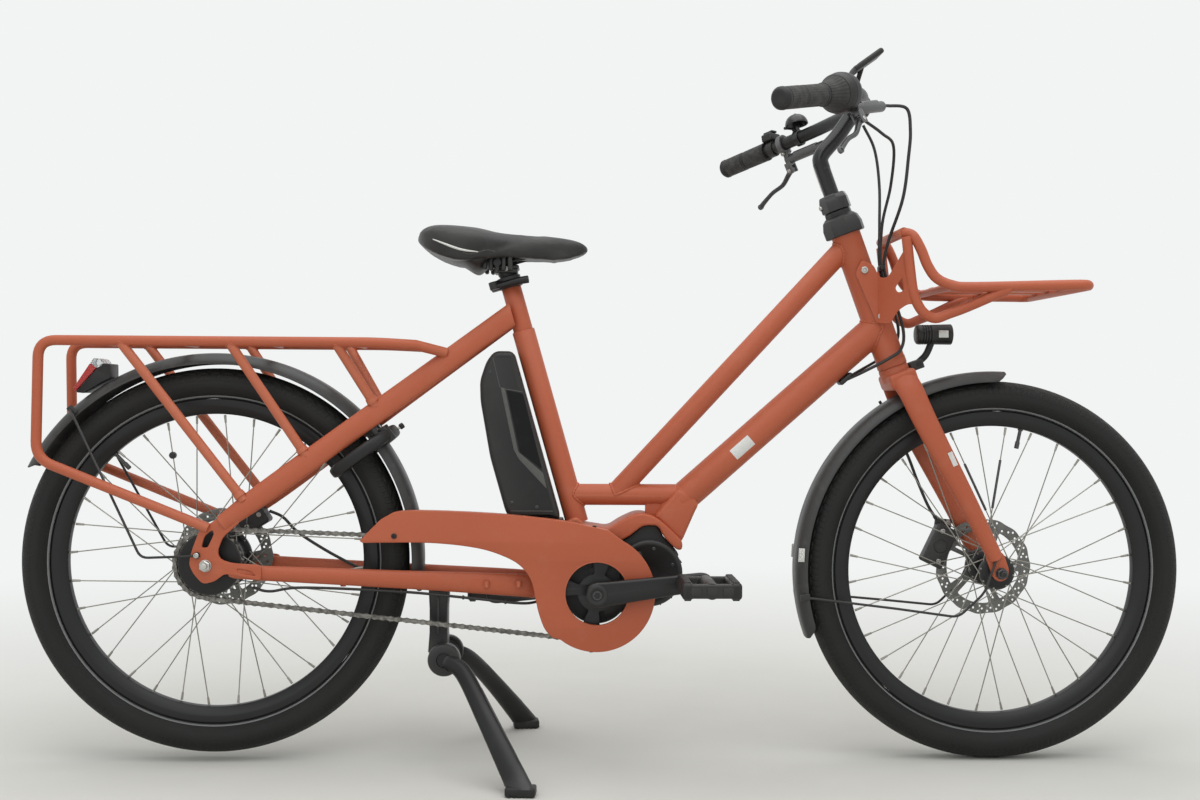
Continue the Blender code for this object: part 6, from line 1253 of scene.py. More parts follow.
for x, z in ((-0.004, 0.105), (-0.008, -0.0918)):
    case_bolts.tube([near(CRANK, x, up, -0.052) for up in (z, z * 1.022)], 0.0034, 16, blunt=0.0004)
case_bolts.done("chain_case_bolts", moulded, "frame")

# Chain drive: a 38-tooth ring on the crank, a 27-tooth sprocket on the gear hub and a half-inch
# roller chain, every link of it with its two pairs of plates and its roller.
chain_steel = Finish("oiled_chain_steel", "bright_metal", Metallic=0.85)
oil = chain_steel.noise(120, 5)
chain_steel.coat(oil, chain_steel.noise(900, 2), 0.00005, (92, 90, 86), (146, 143, 137), 0.3, 0.24,
    oil.between(0.35, 0.7))
CHAINRING_R, SPROCKET_R, CHAIN_Y = 0.076808, 0.054574, -0.047
apart = CRANK - REAR
lean = atan2(apart.z, apart.x) * 180 / pi
tuck = 180 / pi * (CHAINRING_R - SPROCKET_R) / apart.length
track = arc(CRANK, 0.0772, lean + 90 + tuck, lean - 90 - tuck, 120) + arc(REAR, 0.055, lean - 90 - tuck,
    lean - 270 + tuck, 90)
laps = [0]
for a, b in zip(track, track[1:] + track[:1]):
    laps.append(laps[-1] + (b - a).length)
count = 2 * round(laps[-1] / 0.0254)
step = laps[-1] / count


def on_track(distance):
    distance %= laps[-1]
    for i in range(len(track)):
        if laps[i + 1] >= distance:
            t = (distance - laps[i]) / (laps[i + 1] - laps[i])
            return track[i].lerp(track[(i + 1) % len(track)], t)
    return track[0]


pins_at = [on_track(i * step) for i in range(count)]
links = Form()
for i, a in enumerate(pins_at):
    b = pins_at[(i + 1) % count]
    run = (b - a).normalized()
    level = Matrix((run, LEFT, run.cross(LEFT))).transposed()
    loop = []
    for k in range(-4, 5):
        loop.append((b - a).length * Vector((1, 0, 0)) + 0.004 * Vector((cos(k * pi / 9), 0,
            sin(k * pi / 9))))
    loop.append(Vector((step / 2, 0, 0.0026)))
    for k in range(5, 14):
        loop.append(0.004 * Vector((cos(k * pi / 9), 0, sin(k * pi / 9))))
    loop.append(Vector((step / 2, 0, -0.0026)))
    offsets = (0.0017, 0.0025) if i % 2 else (0.0027, 0.0034)
    for side in (1, -1):
        links.rings([[a + level @ p + (CHAIN_Y + side * y) * LEFT for p in loop] for y in offsets])
    for side in (1, -1):
        links.rod(*across(a, CHAIN_Y + side * 0.0016, CHAIN_Y + side * 0.0037), 0.0017, 8, blunt=0.0001)
    links.tube(across(a, -0.0488, -0.0452), 0.0037, 10)
links.done("roller_chain", chain_steel, "frame", "chain", angle=30)


def cog(form, centre, radius, teeth, y, bore, windows=()):
    """A toothed wheel with rounded hollows for the rollers."""
    loop = []
    for i in range(teeth):
        for share, r in ((0, -0.0052), (0.14, -0.0048), (0.3, -0.0034), (0.42, -0.0018), (0.5, -0.0014),
                (0.58, -0.0018), (0.7, -0.0034), (0.86, -0.0048)):
            loop.append(polar(centre, radius + r, 360 * (i + share) / teeth))
    return form.plate(loop, y - 0.00105, y + 0.00105, (arc(centre, bore, 0, 352, 44), *windows), edge=0.0003)


cog(Form(), CRANK, CHAINRING_R, 38, CHAIN_Y, 0.0123, [softened(arc(CRANK, 0.03, s + 6, s + 66, 6)
    + arc(CRANK, 0.06, s + 66, s + 6, 8), 0.004, 3, True) for s in (0, 90, 180, 270)]).done("chainring_teeth",
    hub_black, "crankset", "chainring", at=CRANK)
cog(Form(), REAR, SPROCKET_R, 27, CHAIN_Y, 0.0181).done("sprocket_teeth", chain_steel, "sprocket",
    "rear_sprocket", at=REAR)
Form().turned(mm((18.2, -49.2), (47, -49.2), (49.2, -49), (49.6, -50), (49, -51.2), (47, -51.4), (30, -53),
    (18.2, -53)), sideways(REAR), 72).done("sprocket_guard_disc", moulded, "sprocket", at=REAR)

# Cranks and pedals: forged arms with a round boss and a recessed bolt, and plastic pedals whose
# two ribbed treads join at the ends round the spindle's barrel.
TILT = 7.4
for side, word in ((1, "left"), (-1, "right")):
    loop = mm((-18, 0), (-12, 15), (0, 20), (20, 19), (60, 17.5), (150, 14.8), (170, 13.5), (180, 8),
        (182.5, 0))
    loop += [(x, -z) for x, z in loop[-2:0:-1]]
    lean = TILT if side < 0 else TILT + 180
    place = Matrix.Translation(CRANK) @ Matrix.Rotation(-radians(lean), 4, "Y")
    outline = smooth([Vector((x, 0, z)) for x, z in loop + loop[:1]], 4)[:-1]
    arm = Form().plate(outline, side * 0.066, side * 0.08, edge=0.0042, matrix=place)
    end = CRANK + 0.17 * Vector((cos(radians(lean)), 0, sin(radians(lean))))
    arm.turned(mm((0, 79), (8.8, 79), (9.2, 80.2), (11.5, 81.2), (15, 81.2), (16.5, 80)),
        sideways(CRANK, side), 48)
    arm.rod(*across(end, side * 0.07, side * 0.166), 0.007, 24)
    if side > 0:
        arm.rod(*across(CRANK, -0.0657, 0.07), 0.012, 32)
    arm.done("crank_arm_%s_forging" % word, powder, "crankset", "crank_arm_" + word, angle=45)
    caps = Form()
    bolt(caps, CRANK + side * 0.079 * LEFT, side * LEFT, 0.0076, 0.0014)
    caps.turned(mm((5.2, 80), (7.8, 80), (8.2, 80.6), (7.8, 81.2), (5.2, 81.2)), sideways(end, side), 32)
    caps.done("crank_bolt_" + word, hub_black, "crankset")
    foot = Form().tube(across(end, side * 0.088, side * 0.184), 0.0125, 32, blunt=0.0015)
    for x in (-1, 1):
        middle = end + Vector((x * 0.0365, side * 0.138, 0))
        foot.block(middle, (0.0175, 0.0995, 0.0262), edge=0.0062, segments=5)
        for k in range(9):
            for lift in (1, -1):
                foot.block(middle + Vector((0, -0.0412 + k * 0.0103, lift * 0.0125)), (0.0105, 0.0056, 0.004),
                    edge=0.0012, segments=2)
        for k in (-1, 0, 1):
            foot.block(middle + Vector((x * 0.0082, k * 0.03, 0)), (0.0015, 0.022, 0.012), edge=0.0006,
                segments=2)
    for y, wide in ((0.0945, 0.012), (0.1805, 0.012)):
        foot.block(end + Vector((0, side * y, 0)), (0.074, wide, 0.0215), edge=0.003)
    for x in (-0.024, 0, 0.024):
        foot.block(end + Vector((x, side * 0.1866, 0)), (0.016, 0.0024, 0.0125), edge=0.0011, segments=2)
    foot.done("pedal_%s_body" % word, moulded, "pedal_" + word, "pedal_" + word, angle=40)

# Battery: a moulded pack that stands in a dock behind the seat tube and tips out sideways. A
# glossy inset in a grey band runs down each side, and the key lock is on its left flank.
def seat_back(z):
    """X of the seat tube's back at a height."""
    return seat((z - CRANK.z) / cos(SEAT_ANGLE)).x - 0.0183 / cos(SEAT_ANGLE)


BATTERY_LOW, BATTERY_TOP = CRANK.z + 0.115, CRANK.z + 0.384
pack_edge = [Vector((seat_back(BATTERY_TOP) - 0.0055, 0, BATTERY_TOP)), Vector((seat_back(BATTERY_LOW)
    - 0.0055, 0, BATTERY_LOW)), Vector((seat_back(BATTERY_LOW) - 0.086, 0, BATTERY_LOW)),
    Vector((seat_back(BATTERY_LOW) - 0.094, 0, BATTERY_LOW + 0.012)), *spots(CRANK, (-171, 214), (-187, 304),
    (-188, 336), (-178, 367), (-165, 384))]
Form().plate(softened(pack_edge, 0.009, 6, True), -0.04, 0.04, edge=0.0085).done("battery_shell", moulded,
    "battery", "battery", angle=50)
band_satin = Finish("battery_trim", "black_plastic", Specular_IOR_Level=0.5)
band_satin.coat(band_satin.noise(120, 5), band_satin.noise(1500, 2), 0.00005, (68, 68, 66), (88, 88, 85),
    0.38, 0.14)
inset_gloss = Finish("battery_gloss", "black_plastic", Specular_IOR_Level=0.22)
inset_dust = inset_gloss.noise(60, 6).between(0.5, 0.8)
inset_gloss.coat(inset_dust, inset_gloss.noise(90, 2), 0.00003, (7, 7, 8), (30, 30, 30), 0.14, 0.2,
    inset_dust * 0.4)
panel = spots(CRANK, (-145.5, 321.9), (-119, 316), (-88, 196), (-123.5, 223))
band = spots(CRANK, (-154.8, 325.5), (-148, 325), (-126, 223.5), (-86.2, 190), (-80, 164), (-125.2, 212),
    (-133.2, 226.7))
side_panels, trims, plugs, seams = Form(), Form(), Form(), Form()
for side in (-1, 1):
    side_panels.plate(softened(panel, 0.003, 3, True), side * 0.0392, side * 0.0402, edge=0.0002)
    trims.plate(softened(band, 0.0025, 3, True), side * 0.039, side * 0.0406, edge=0.0005)
    line = [near(CRANK, x, z, side * 0.0401) for x, z in ((-0.1673, 0.374), (-0.156, 0.327), (-0.152, 0.324),
        (-0.12, 0.319))]
    seams.tube(line, 0.0006, 8)
    for x, z in ((-0.172, 0.35), (-0.096, 0.135), (-0.136, 0.142)):
        bolt(plugs, near(CRANK, x, z, side * 0.0396), side * LEFT, 0.003, 0.0012)
side_panels.done("battery_side_panels", inset_gloss, "battery")
trims.done("battery_trim_bands", band_satin, "battery")
plugs.done("battery_screws", hub_black, "battery")
for side in (-1, 1):
    seams.tube([near(CRANK, x, 0.129, side * 0.0399) for x in (-0.138, -0.07)], 0.0007, 8)
seams.done("battery_seams", band_satin, "battery")
lock_face = Form().turned(mm((0, 0), (8.2, 0), (9, -0.8), (9, -3)), along(near(CRANK, -0.146, 0.346, 0.0408),
    LEFT), 32)
lock_face.block(near(CRANK, -0.146, 0.346, 0.041), (0.0016, 0.001, 0.007), edge=0.0002)
lock_face.done("battery_key_lock", bright, "battery")
back, sill = seat_back(BATTERY_LOW), BATTERY_LOW - 0.012
dock_edge = [Vector((back - 0.0015, 0, BATTERY_LOW - 0.0003)), Vector((seat_back(sill) - 0.0015, 0, sill)),
    Vector((CRANK.x - 0.065, 0, sill)), Vector((CRANK.x - 0.079, 0, sill - 0.019)),
    Vector((CRANK.x - 0.106, 0, sill - 0.019)), Vector((back - 0.08, 0, sill - 0.002)),
    Vector((back - 0.08, 0, BATTERY_LOW - 0.0003))]
Form().plate(softened(dock_edge, 0.002, 3, True), -0.018, 0.018, edge=0.0012).done("battery_dock", moulded,
    "frame", "battery_mount", angle=50)

# Seat: an alloy post with a two-piece clamp holds the saddle's steel rails. A split collar with a
# quick-release lever pinches the seat tube round the post.
post_top = 0.533
seat_form = Form().turned([(0, 0.25), (0.013, 0.25), (0.0136, 0.2506), (0.0136, post_top - 0.006),
    (0.015, post_top - 0.002), (0.015, post_top + 0.001)], along(CRANK, SEAT), 40)
clamp_at = seat(post_top + 0.004)
seat_form.block(clamp_at - Vector((0, 0, 0.0028)), (0.038, 0.05, 0.0075), edge=0.0026)
seat_form.block(clamp_at + Vector((0, 0, 0.0034)), (0.042, 0.052, 0.0064), edge=0.0026)
for side in (-1, 1):
    seat_form.rod(*across(clamp_at, side * 0.026, side * 0.0275), 0.0056, 24)
seat_form.done("seat_post_and_clamp", powder, "saddle", "seat_post", angle=40)
post_bolts = Form()
for side in (-1, 1):
    bolt(post_bolts, clamp_at + side * 0.0275 * LEFT, side * LEFT, 0.0044, 0.0024)
post_bolts.done("seat_clamp_bolts", bright, "saddle")
collar_form = Form().turned(mm((14.1, 507.3), (18.8, 507.3), (19.5, 508), (19.5, 511), (18.8, 511.4),
    (18.8, 512.6), (19.5, 513), (19.5, 524.3), (18.8, 525), (14.1, 525), (14.1, 507.3)), along(CRANK, SEAT),
    56)
for side in (-1, 1):
    collar_form.block(seat(0.516, -0.0245, side * 0.0073), (0.0155, 0.0122, 0.0158), tipped(-SEAT_ANGLE),
        0.0028)
collar_form.done("seat_collar", powder, "frame", "seat_clamp", angle=40)
pin = seat(0.516, -0.026, 0)
LEVER_AXIS = pin - 0.0213 * LEFT
quick = Form().tube([LEVER_AXIS - 0.0064 * SEAT, LEVER_AXIS + 0.0064 * SEAT], 0.0074, 32, blunt=0.0012)
quick.tube(smooth([LEVER_AXIS, LEVER_AXIS + Vector((0.012, -0.0042, 0.001)), LEVER_AXIS
    + Vector((0.034, -0.0048, 0.007)), LEVER_AXIS + Vector((0.056, -0.0035, 0.011))], 6),
    [0.004 + 0.0022 * min(1, i / 16) for i in range(19)], 24, blunt=0.0015)
quick.done("seat_quick_lever", powder, "clamp_lever", "seat_clamp_lever", angle=50)
SADDLE_BASE = seat(post_top).z + 0.0256


def base_rise(x):
    return 0.115 * max(0, -0.15 - x)


rail_z = clamp_at.z + 0.01055
rails = Form()
for side in (1, -1):
    rails.tube(smooth([Vector((-0.268, side * 0.03, SADDLE_BASE + base_rise(-0.268) + 0.002)),
        Vector((-0.235, side * 0.026, rail_z + 0.004)), Vector((-0.21, side * 0.022, rail_z)),
        Vector((-0.168, side * 0.022, rail_z)), Vector((-0.145, side * 0.021, rail_z + 0.006)),
        Vector((-0.118, side * 0.016, SADDLE_BASE + 0.001)), Vector((-0.09, side * 0.01,
        SADDLE_BASE + 0.004))], 8), 0.0035, 20)
rails.done("saddle_rails", powder, "saddle")
base_keys = mm((-300, 40, 22, 30), (-285, 62, 10, 26), (-262, 72, -6, 20), (-235, 75, -18, 14),
    (-212, 66, -30, 10), (-196, 58, -18, 8), (-180, 50, -4, 7), (-145, 36, 0, 7), (-100, 22, 0, 8),
    (-60, 14, 0, 8))
halves = smooth([Vector((x, half, 0)) for x, half, low, high in base_keys], 6)
heights = smooth([Vector((x, low, high)) for x, half, low, high in base_keys], 6)
base_rings = []


def bulge(value, power):
    """A sine or cosine made squarer, with its sign kept."""
    return abs(value) ** power * (1 if value > 0 else -1)


for p, q in zip(halves, heights):
    ring = []
    for k in range(36):
        c, s = cos(tau * k / 36), sin(tau * k / 36)
        wide = p.y * (1 if s > 0 else 1 - 0.34 * abs(s) ** 1.4)
        ring.append(Vector((p.x, wide * bulge(c, 0.7), SADDLE_BASE + (q.y + q.z) / 2 + (q.z - q.y) / 2
            * bulge(s, 0.8))))
    base_rings.append(ring)
shell_form = Form().rings(base_rings)
for k in range(5):
    for side in (-1, 1):
        place = Vector((-0.2 + k * 0.01, side * 0.037, SADDLE_BASE - 0.0145))
        shell_form.block(place, (0.007, 0.018, 0.025 - 0.0016 * abs(k - 2)), edge=0.003)
for side in (-1, 1):
    shell_form.rod(*across(Vector((-0.18, 0, SADDLE_BASE - 0.014)), side * 0.0455, side * 0.0475), 0.0062, 24)
shell_form.done("saddle_base", moulded, "saddle", "saddle_shell", angle=50)

# Cushion: foam under a stretched synthetic leather cover, swollen a little by a cloth run and
# pulled down at its edge. Piping and stitches follow each flank, and a reflective insert is sewn in.
leather = Finish("saddle_cover", "cover", Specular_IOR_Level=0.42)
sheen = leather.noise(16, 4)
leather.coat(sheen, leather.cells(420).between(0, 0.14) * 0.7 + leather.cells(900, "F1") * 0.3, 0.00022,
    (34, 34, 33), (54, 54, 52), 0.34, 0.14, sheen.between(0.35, 0.75))
width_keys = mm((-308.5, 18), (-303, 44), (-293, 63), (-270, 80), (-235, 86.5), (-195, 75), (-155, 52),
    (-115, 36), (-75, 29), (-52, 24.5), (-41, 17.5), (-33.5, 7))
crown_keys = mm((-308.5, 28), (-303, 38), (-290, 45), (-262, 46), (-212.5, 40), (-182.6, 33.5), (-160, 31.2),
    (-119, 30.8), (-82, 30.8), (-56, 27.2), (-41, 21.5), (-33.5, 14))
skirt_keys = mm((-308.5, 20), (-300, 12), (-285, 2), (-262, -8), (-235, -13.5), (-195, -8.5), (-155, -6),
    (-115, -7), (-82, -7.5), (-63, -4), (-41, 3.5), (-33.5, 10))


def keyed(keys, x):
    """A value read off a smooth line through its keys."""
    for i in range(len(keys) - 1):
        (x0, a), (x1, b) = keys[i], keys[i + 1]
        if x <= x1 or i == len(keys) - 2:
            before, after = keys[max(i - 1, 0)], keys[min(i + 2, len(keys) - 1)]
            t = min(max((x - x0) / (x1 - x0), 0), 1)
            m0 = (b - before[1]) / (x1 - before[0]) * (x1 - x0)
            m1 = (after[1] - a) / (after[0] - x0) * (x1 - x0)
            return a * (2 * t ** 3 - 3 * t * t + 1) + m0 * (t ** 3 - 2 * t * t + t) + b * (3 * t * t - 2
                * t ** 3) + m1 * (t ** 3 - t * t)


def cushion_ring(x, shrink=0):
    """The cushion's section at x: crowned on top, drawn in at the flanks, tucked under."""
    half = keyed(width_keys, x) - shrink
    crown = SADDLE_BASE + keyed(crown_keys, x) - shrink
    skirt = SADDLE_BASE + keyed(skirt_keys, x)
    waist = crown - 0.45 * (crown - skirt)
    ring = []
    for k in range(-12, 13):
        v = k / 12
        groove = 0.003 * max(0, 1 - 16 * v * v) * max(0, 1 - ((x + 0.19) / 0.085) ** 2)
        ring.append(Vector((x, half * sin(v * pi / 2) * 0.97, crown - (crown - waist) * abs(v) ** 3.6
            - groove)))
    for k in (0.25, 0.5, 0.75, 1):
        ring.append(Vector((x, half * (0.97 - 0.1 * k + 0.02 * sin(k * pi)), waist + (skirt - waist) * k)))
    tuck_half = half * 0.66
    ring.append(Vector((x, tuck_half, skirt + 0.0008)))
    ring.append(Vector((x, -tuck_half, skirt + 0.0008)))
    for k in (1, 0.75, 0.5, 0.25):
        ring.append(Vector((x, -half * (0.97 - 0.1 * k + 0.02 * sin(k * pi)), waist + (skirt - waist) * k)))
    return ring


stations = [-0.3085 + 0.275 * (0.5 - 0.5 * cos(pi * i / 48)) for i in range(49)]
swell = 0.0016
pad_form = Form().rings([cushion_ring(x, swell) for x in stations])
cushion = pad_form.done("saddle_cushion", leather, "saddle", angle=180)
fine = cushion.modifiers.new("even_mesh", "REMESH")
fine.mode, fine.voxel_size = "VOXEL", 0.0042
even = settled(cushion)
cushion.modifiers.clear()
cushion.data = even
start = [v.co.copy() for v in even.vertices]
held_down = cushion.vertex_groups.new(name="stapled_edge")
low_edge = [v.index for v in even.vertices if v.co.z < SADDLE_BASE + 0.0015 + keyed(skirt_keys, v.co.x)]
held_down.add(low_edge, 1, "REPLACE")
cover = cushion.modifiers.new("cover", "CLOTH")
cover.settings.quality = 6
cover.settings.mass = 0.3
cover.settings.tension_stiffness = cover.settings.compression_stiffness = 18
cover.settings.bending_stiffness = 0.6
cover.settings.use_pressure = True
cover.settings.uniform_pressure_force = 4
cover.settings.effector_weights.gravity = 0
cover.settings.vertex_group_mass = "stapled_edge"
cover.point_cache.frame_start, cover.point_cache.frame_end = 1, 20
for frame_at in range(1, 21):
    bpy.context.scene.frame_set(frame_at)
swollen = cushion.evaluated_get(bpy.context.evaluated_depsgraph_get()).data
reached = [v.co.copy() for v in swollen.vertices]
cushion.modifiers.clear()
for vertex, before, after in zip(even.vertices, start, reached):
    move = after - before
    vertex.co = before + move * min(1, 0.0045 / max(move.length, 1e-9))
bpy.context.scene.frame_set(1)
finer = cushion.modifiers.new("finer", "SUBSURF")
finer.levels = finer.render_levels = 1
swollen = settled(cushion)
cushion.modifiers.clear()
cushion.data = swollen
swollen.shade_smooth()
cushion.data.materials.clear()
cushion.data.materials.append(leather.made)
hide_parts("saddle_pad")


def flank(x, share, side, out=0.0006):
    """A place on the cushion's side, share 0 at its widest line and 1 at its skirt."""
    half, crown = keyed(width_keys, x), SADDLE_BASE + keyed(crown_keys, x)
    skirt = SADDLE_BASE + keyed(skirt_keys, x)
    waist = crown - 0.45 * (crown - skirt)
    guess = Vector((x, side * half * (0.97 - 0.1 * share), waist + (skirt - waist) * share))
    _, spot, normal, _ = cushion.closest_point_on_mesh(guess)
    return spot + normal * out


piping, stitches = Form(), Form()
for side in (-1, 1):
    path = [flank(-0.28 + 0.0717 * i / 15, 0.23 + 0.4 * i / 15, side, 0.0002) for i in range(16)]
    piping.tube(smooth(path, 2), [0.0008 + 0.0012 * sin(pi * k / 30) for k in range(31)], 12, blunt=0.0004)
    for i in range(20):
        a = flank(-0.232 + 0.0025 * i, 0.62 + 0.1 * sin(i * 0.3), side, 0.0002)
        b = flank(-0.2305 + 0.0025 * i, 0.62 + 0.1 * sin((i + 0.6) * 0.3), side, 0.0002)
        stitches.tube([a, b], 0.00042, 6)
piping.done("saddle_piping", foil, "saddle")
thread = Finish("grey_thread", "cover", Roughness=0.8)
thread.put(height=thread.noise(3000, 2), depth=0.0001, Base_Color=thread.mix(thread.noise(500, 2),
    rgb(96, 96, 92), rgb(130, 130, 124)))
stitches.done("saddle_stitches", thread, "saddle")

# Centre stand: a cast column bolted between the chain stays, and two steel legs on one shaft
# through its barrel. The legs end in flat rubber feet.
column = Form()
column.block(near(CRANK, -0.253, 0.014), (0.046, 0.084, 0.012), edge=0.0025)
column_rings = []
for z, deep, wide in ((0.01, 0.034, 0.05), (-0.03, 0.03, 0.046), (-0.07, 0.03, 0.044), (-0.1, 0.034, 0.05)):
    ring = []
    for k in range(40):
        a = tau * k / 40
        c, s = cos(a), sin(a)
        ring.append(near(CRANK, -0.253 + deep / 2 * bulge(c, 0.35), z, wide / 2 * bulge(s, 0.35)))
    column_rings.append(ring)
column.rings(column_rings)
STAND_PIVOT = near(CRANK, -0.242, -0.108)
column.turned(both((7.3, 28), (18.5, 28), (20, 26.5), (20, 18), (19.2, 17.2)), sideways(STAND_PIVOT), 56)
for side in (-1, 1):
    column.block(near(CRANK, -0.253, -0.04, side * 0.0235), (0.004, 0.004, 0.06), edge=0.001)
column.done("stand_column", powder, "frame", "stand_bracket", angle=40)
column_bolts = Form()
bolt(column_bolts, near(CRANK, -0.253, 0.0195), UP, 0.006, 0.004)
column_bolts.done("stand_bolt", bright, "frame")
legs = Form().rod(*across(STAND_PIVOT, -0.038, 0.038), 0.007, 24)
feet = Form()
for side in (1, -1):
    stand = sideways(STAND_PIVOT, side)
    legs.turned(mm((0, 28.3), (24.5, 28.3), (26, 29.8), (26, 44), (24.5, 47), (20, 48.3), (12, 48.3),
        (11, 46.5), (0, 46.5)), stand, 48)
    knee = STAND_PIVOT + Vector((0.033, side * 0.064, -0.018))
    ankle = Vector((-0.138, side * 0.201, 0.014))
    bowed = knee.lerp(ankle, 0.444) + Vector((0, side * 0.005, 0.003))
    path = smooth([STAND_PIVOT + Vector((0.005, side * 0.04, -0.002)), knee, bowed, ankle], 8)
    legs.tube(path, swelling((0.013, 0.0138, 0.0152, 0.019), 8), 28, wide=0.0105)
    down_leg = (ankle - bowed).normalized()
    for i in range(len(legs.points) - 28, len(legs.points)):
        legs.points[i] = legs.points[i] + down_leg * ((0.012 - legs.points[i].z) / down_leg.z)
    legs.tube([knee.lerp(ankle, 0.16) + Vector((0.0105, side * 0.004, 0.005)), knee.lerp(ankle, 0.8)
        + Vector((0.0125, side * 0.005, 0.006))], 0.005, 16, blunt=0.003)
    pad_turn = Matrix.Rotation(radians(side * 6), 3, "Z")
    feet.block(Vector((-0.1345, side * 0.2035, 0.0071)), (0.045, 0.027, 0.014), pad_turn, 0.003)
    for i in range(5):
        feet.block(Vector((-0.1505 + i * 0.008, side * 0.2035, 0.0012)), (0.004, 0.0275, 0.0022), pad_turn,
            0.0006)
legs.done("stand_leg_pair", powder, "stand", "stand_legs", angle=45)
feet.done("stand_feet", smooth_rubber, "stand")

# Ring lock: a horseshoe case clamped to the seat stays. Its hardened bow slides round through the
# wheel when the lever is pushed down, and the key turns in a barrel on its right shoulder.
stay = STAY_TOP - STAY_LOW
lock_radial = Vector((stay.x, 0, stay.z)).normalized()
lock_centre = REAR + 0.287 * lock_radial
lock_tangent = lock_radial.cross(LEFT).normalized()
LOCK_R = 0.061


def lock_ring(degrees, radius, along_axle=0):
    """A place on the lock, 90 outwards from the hub, 180 to the left."""
    return lock_centre + radius * (cos(radians(degrees)) * -LEFT + sin(radians(degrees))
        * lock_radial) + along_axle * lock_tangent


case = Form()
case_rings = []
for i in range(56):
    degrees = -47 + 275 * i / 55
    end = min(i, 55 - i)
    swell_here = 1 if end > 2 else (0.8, 0.93, 0.98)[end]
    ring = []
    for k in range(28):
        c, s = cos(tau * k / 28), sin(tau * k / 28)
        ring.append(lock_ring(degrees, LOCK_R + 0.0104 * swell_here * bulge(c, 0.6),
            0.0104 * swell_here * bulge(s, 0.6)))
    case_rings.append(ring)
case.rings(case_rings)
case.tube([lock_ring(62, LOCK_R, -0.0125), lock_ring(62, LOCK_R, 0.0145)], 0.011, 32, blunt=0.0014)
for side in (1, -1):
    root = lock_ring(90 + side * 44.2, LOCK_R)
    case.tube([root, root + lock_tangent * 0.04], 0.0048, 16, blunt=0.0008)
case.done("ring_lock_horseshoe", moulded, "frame", "ring_lock_case", angle=50)
key_form = Form().turned(mm((0, 0), (6.6, 0), (7, -0.6), (7, -2)), along(lock_ring(62, LOCK_R, 0.015),
    lock_tangent), 28)
key_form.block(lock_ring(62, LOCK_R, 0.02), (0.0018, 0.006, 0.01), along(Vector(), lock_tangent,
    lock_radial).to_3x3(), 0.0004)
key_form.block(lock_ring(62, LOCK_R, 0.03), (0.0024, 0.018, 0.013), along(Vector(), lock_tangent,
    lock_radial).to_3x3(), 0.001)
key_form.done("ring_lock_key", bright, "frame")
bow = Form().tube([lock_ring(99 + 120 * i / 40, LOCK_R) for i in range(41)], 0.004, 20, blunt=0.001)
bow.tube([lock_ring(105, LOCK_R), lock_ring(105, 0.079)], 0.0024, 16)
bow.done("ring_lock_bow", bright, "shackle", "ring_lock_shackle")
Form().tube([lock_ring(105, 0.0755), lock_ring(105, 0.083)], 0.0048, 20, blunt=0.0014).done(
    "ring_lock_thumb_knob", moulded, "shackle")

# Brake calipers and lights: cast calipers straddle the discs behind the left blade and inside the
# left stay. The rear light is a red lens on a black foot, screwed to the mudguard's tail.
front_body = Form()
for place, sizes, angle, edge, segments in (((-0.074, 0.034, 0.0505), (0.036, 0.011, 0.07), 0.45, 0.0045, 4),
        ((-0.074, 0.034, 0.031), (0.036, 0.006, 0.07), 0.45, 0.0028, 3), ((-0.086, 0.04, 0.04),
        (0.01, 0.022, 0.062), 0.45, 0.0025, 3), ((-0.0635, 0.0705, 0.0515), (0.028, 0.0072, 0.0146), 0.12,
        0.0018, 3)):
    front_body.block(near(FRONT, *place), sizes, tipped(angle), edge, segments)
front_body.turned(mm((0, 3), (10.5, 3), (12.5, 1.5), (13, 0)), along(near(FRONT, -0.074, 0.034, 0.0555),
    LEFT), 40)
front_body.turned(mm((0, 1.4), (10.5, 1.4), (12, 0)), along(near(FRONT, -0.074, 0.034, 0.0283), -LEFT), 40)
front_body.done("front_caliper_casting", casing, "steering", "front_caliper", angle=40)
Form().cad("rear_caliper").done("rear_caliper_casting", casing, "frame", "rear_caliper", angle=30,
    bevel=0.0014)
caliper_bolts, rear_caliper_bolts = Form(), Form()
for x, z in ((-0.0708, 0.0591), (-0.0772, 0.0089)):
    bolt(caliper_bolts, near(FRONT, x, z, 0.0558), LEFT, 0.0042, 0.003)
    bolt(caliper_bolts, near(FRONT, x, z, 0.0282), -LEFT, 0.0042, 0.0024)
bolt(caliper_bolts, near(FRONT, -0.056, 0.0715, 0.0478), -LEFT, 0.0044, 0.0028)
caliper_bolts.done("front_caliper_bolts", bright, "steering")
for x, z in ((0.04, 0.05), (0.059, 0.07)):
    bolt(rear_caliper_bolts, near(REAR, x, z, 0.0314), -LEFT, 0.0038, 0.0026)
rear_caliper_bolts.done("rear_caliper_bolts", bright, "frame")
light_out = (polar(REAR, 1, 122) - REAR).normalized()
light_at = REAR + 0.3461 * light_out
foot_line = mm((-36, -24.8), (-3, 13.4), (8, 21.2), (18.2, 20.5), (18.5, -2.2), (6, -8.5), (-24, -26.2))
red_line = mm((-39.9, -18.2), (-13.7, 21.7), (-3.6, 13.8), (-36.2, -23.6))
clear_line = mm((-13.7, 21.7), (-8, 30), (1.8, 28.8), (7.8, 21.8), (-3.4, 13.8))
for line, name, finish, cad_node in ((foot_line, "foot", moulded, ("rear_light",)),
        (red_line, "lens", red_clear, ()), (clear_line, "window", clear_lens, ())):
    Form().plate(softened([light_at + Vector((x, 0, z)) for x, z in line], 0.0022, 4, True), -0.0218, 0.0218,
        edge=0.0016).done("rear_light_" + name, finish, "frame", cad_node, angle=50)

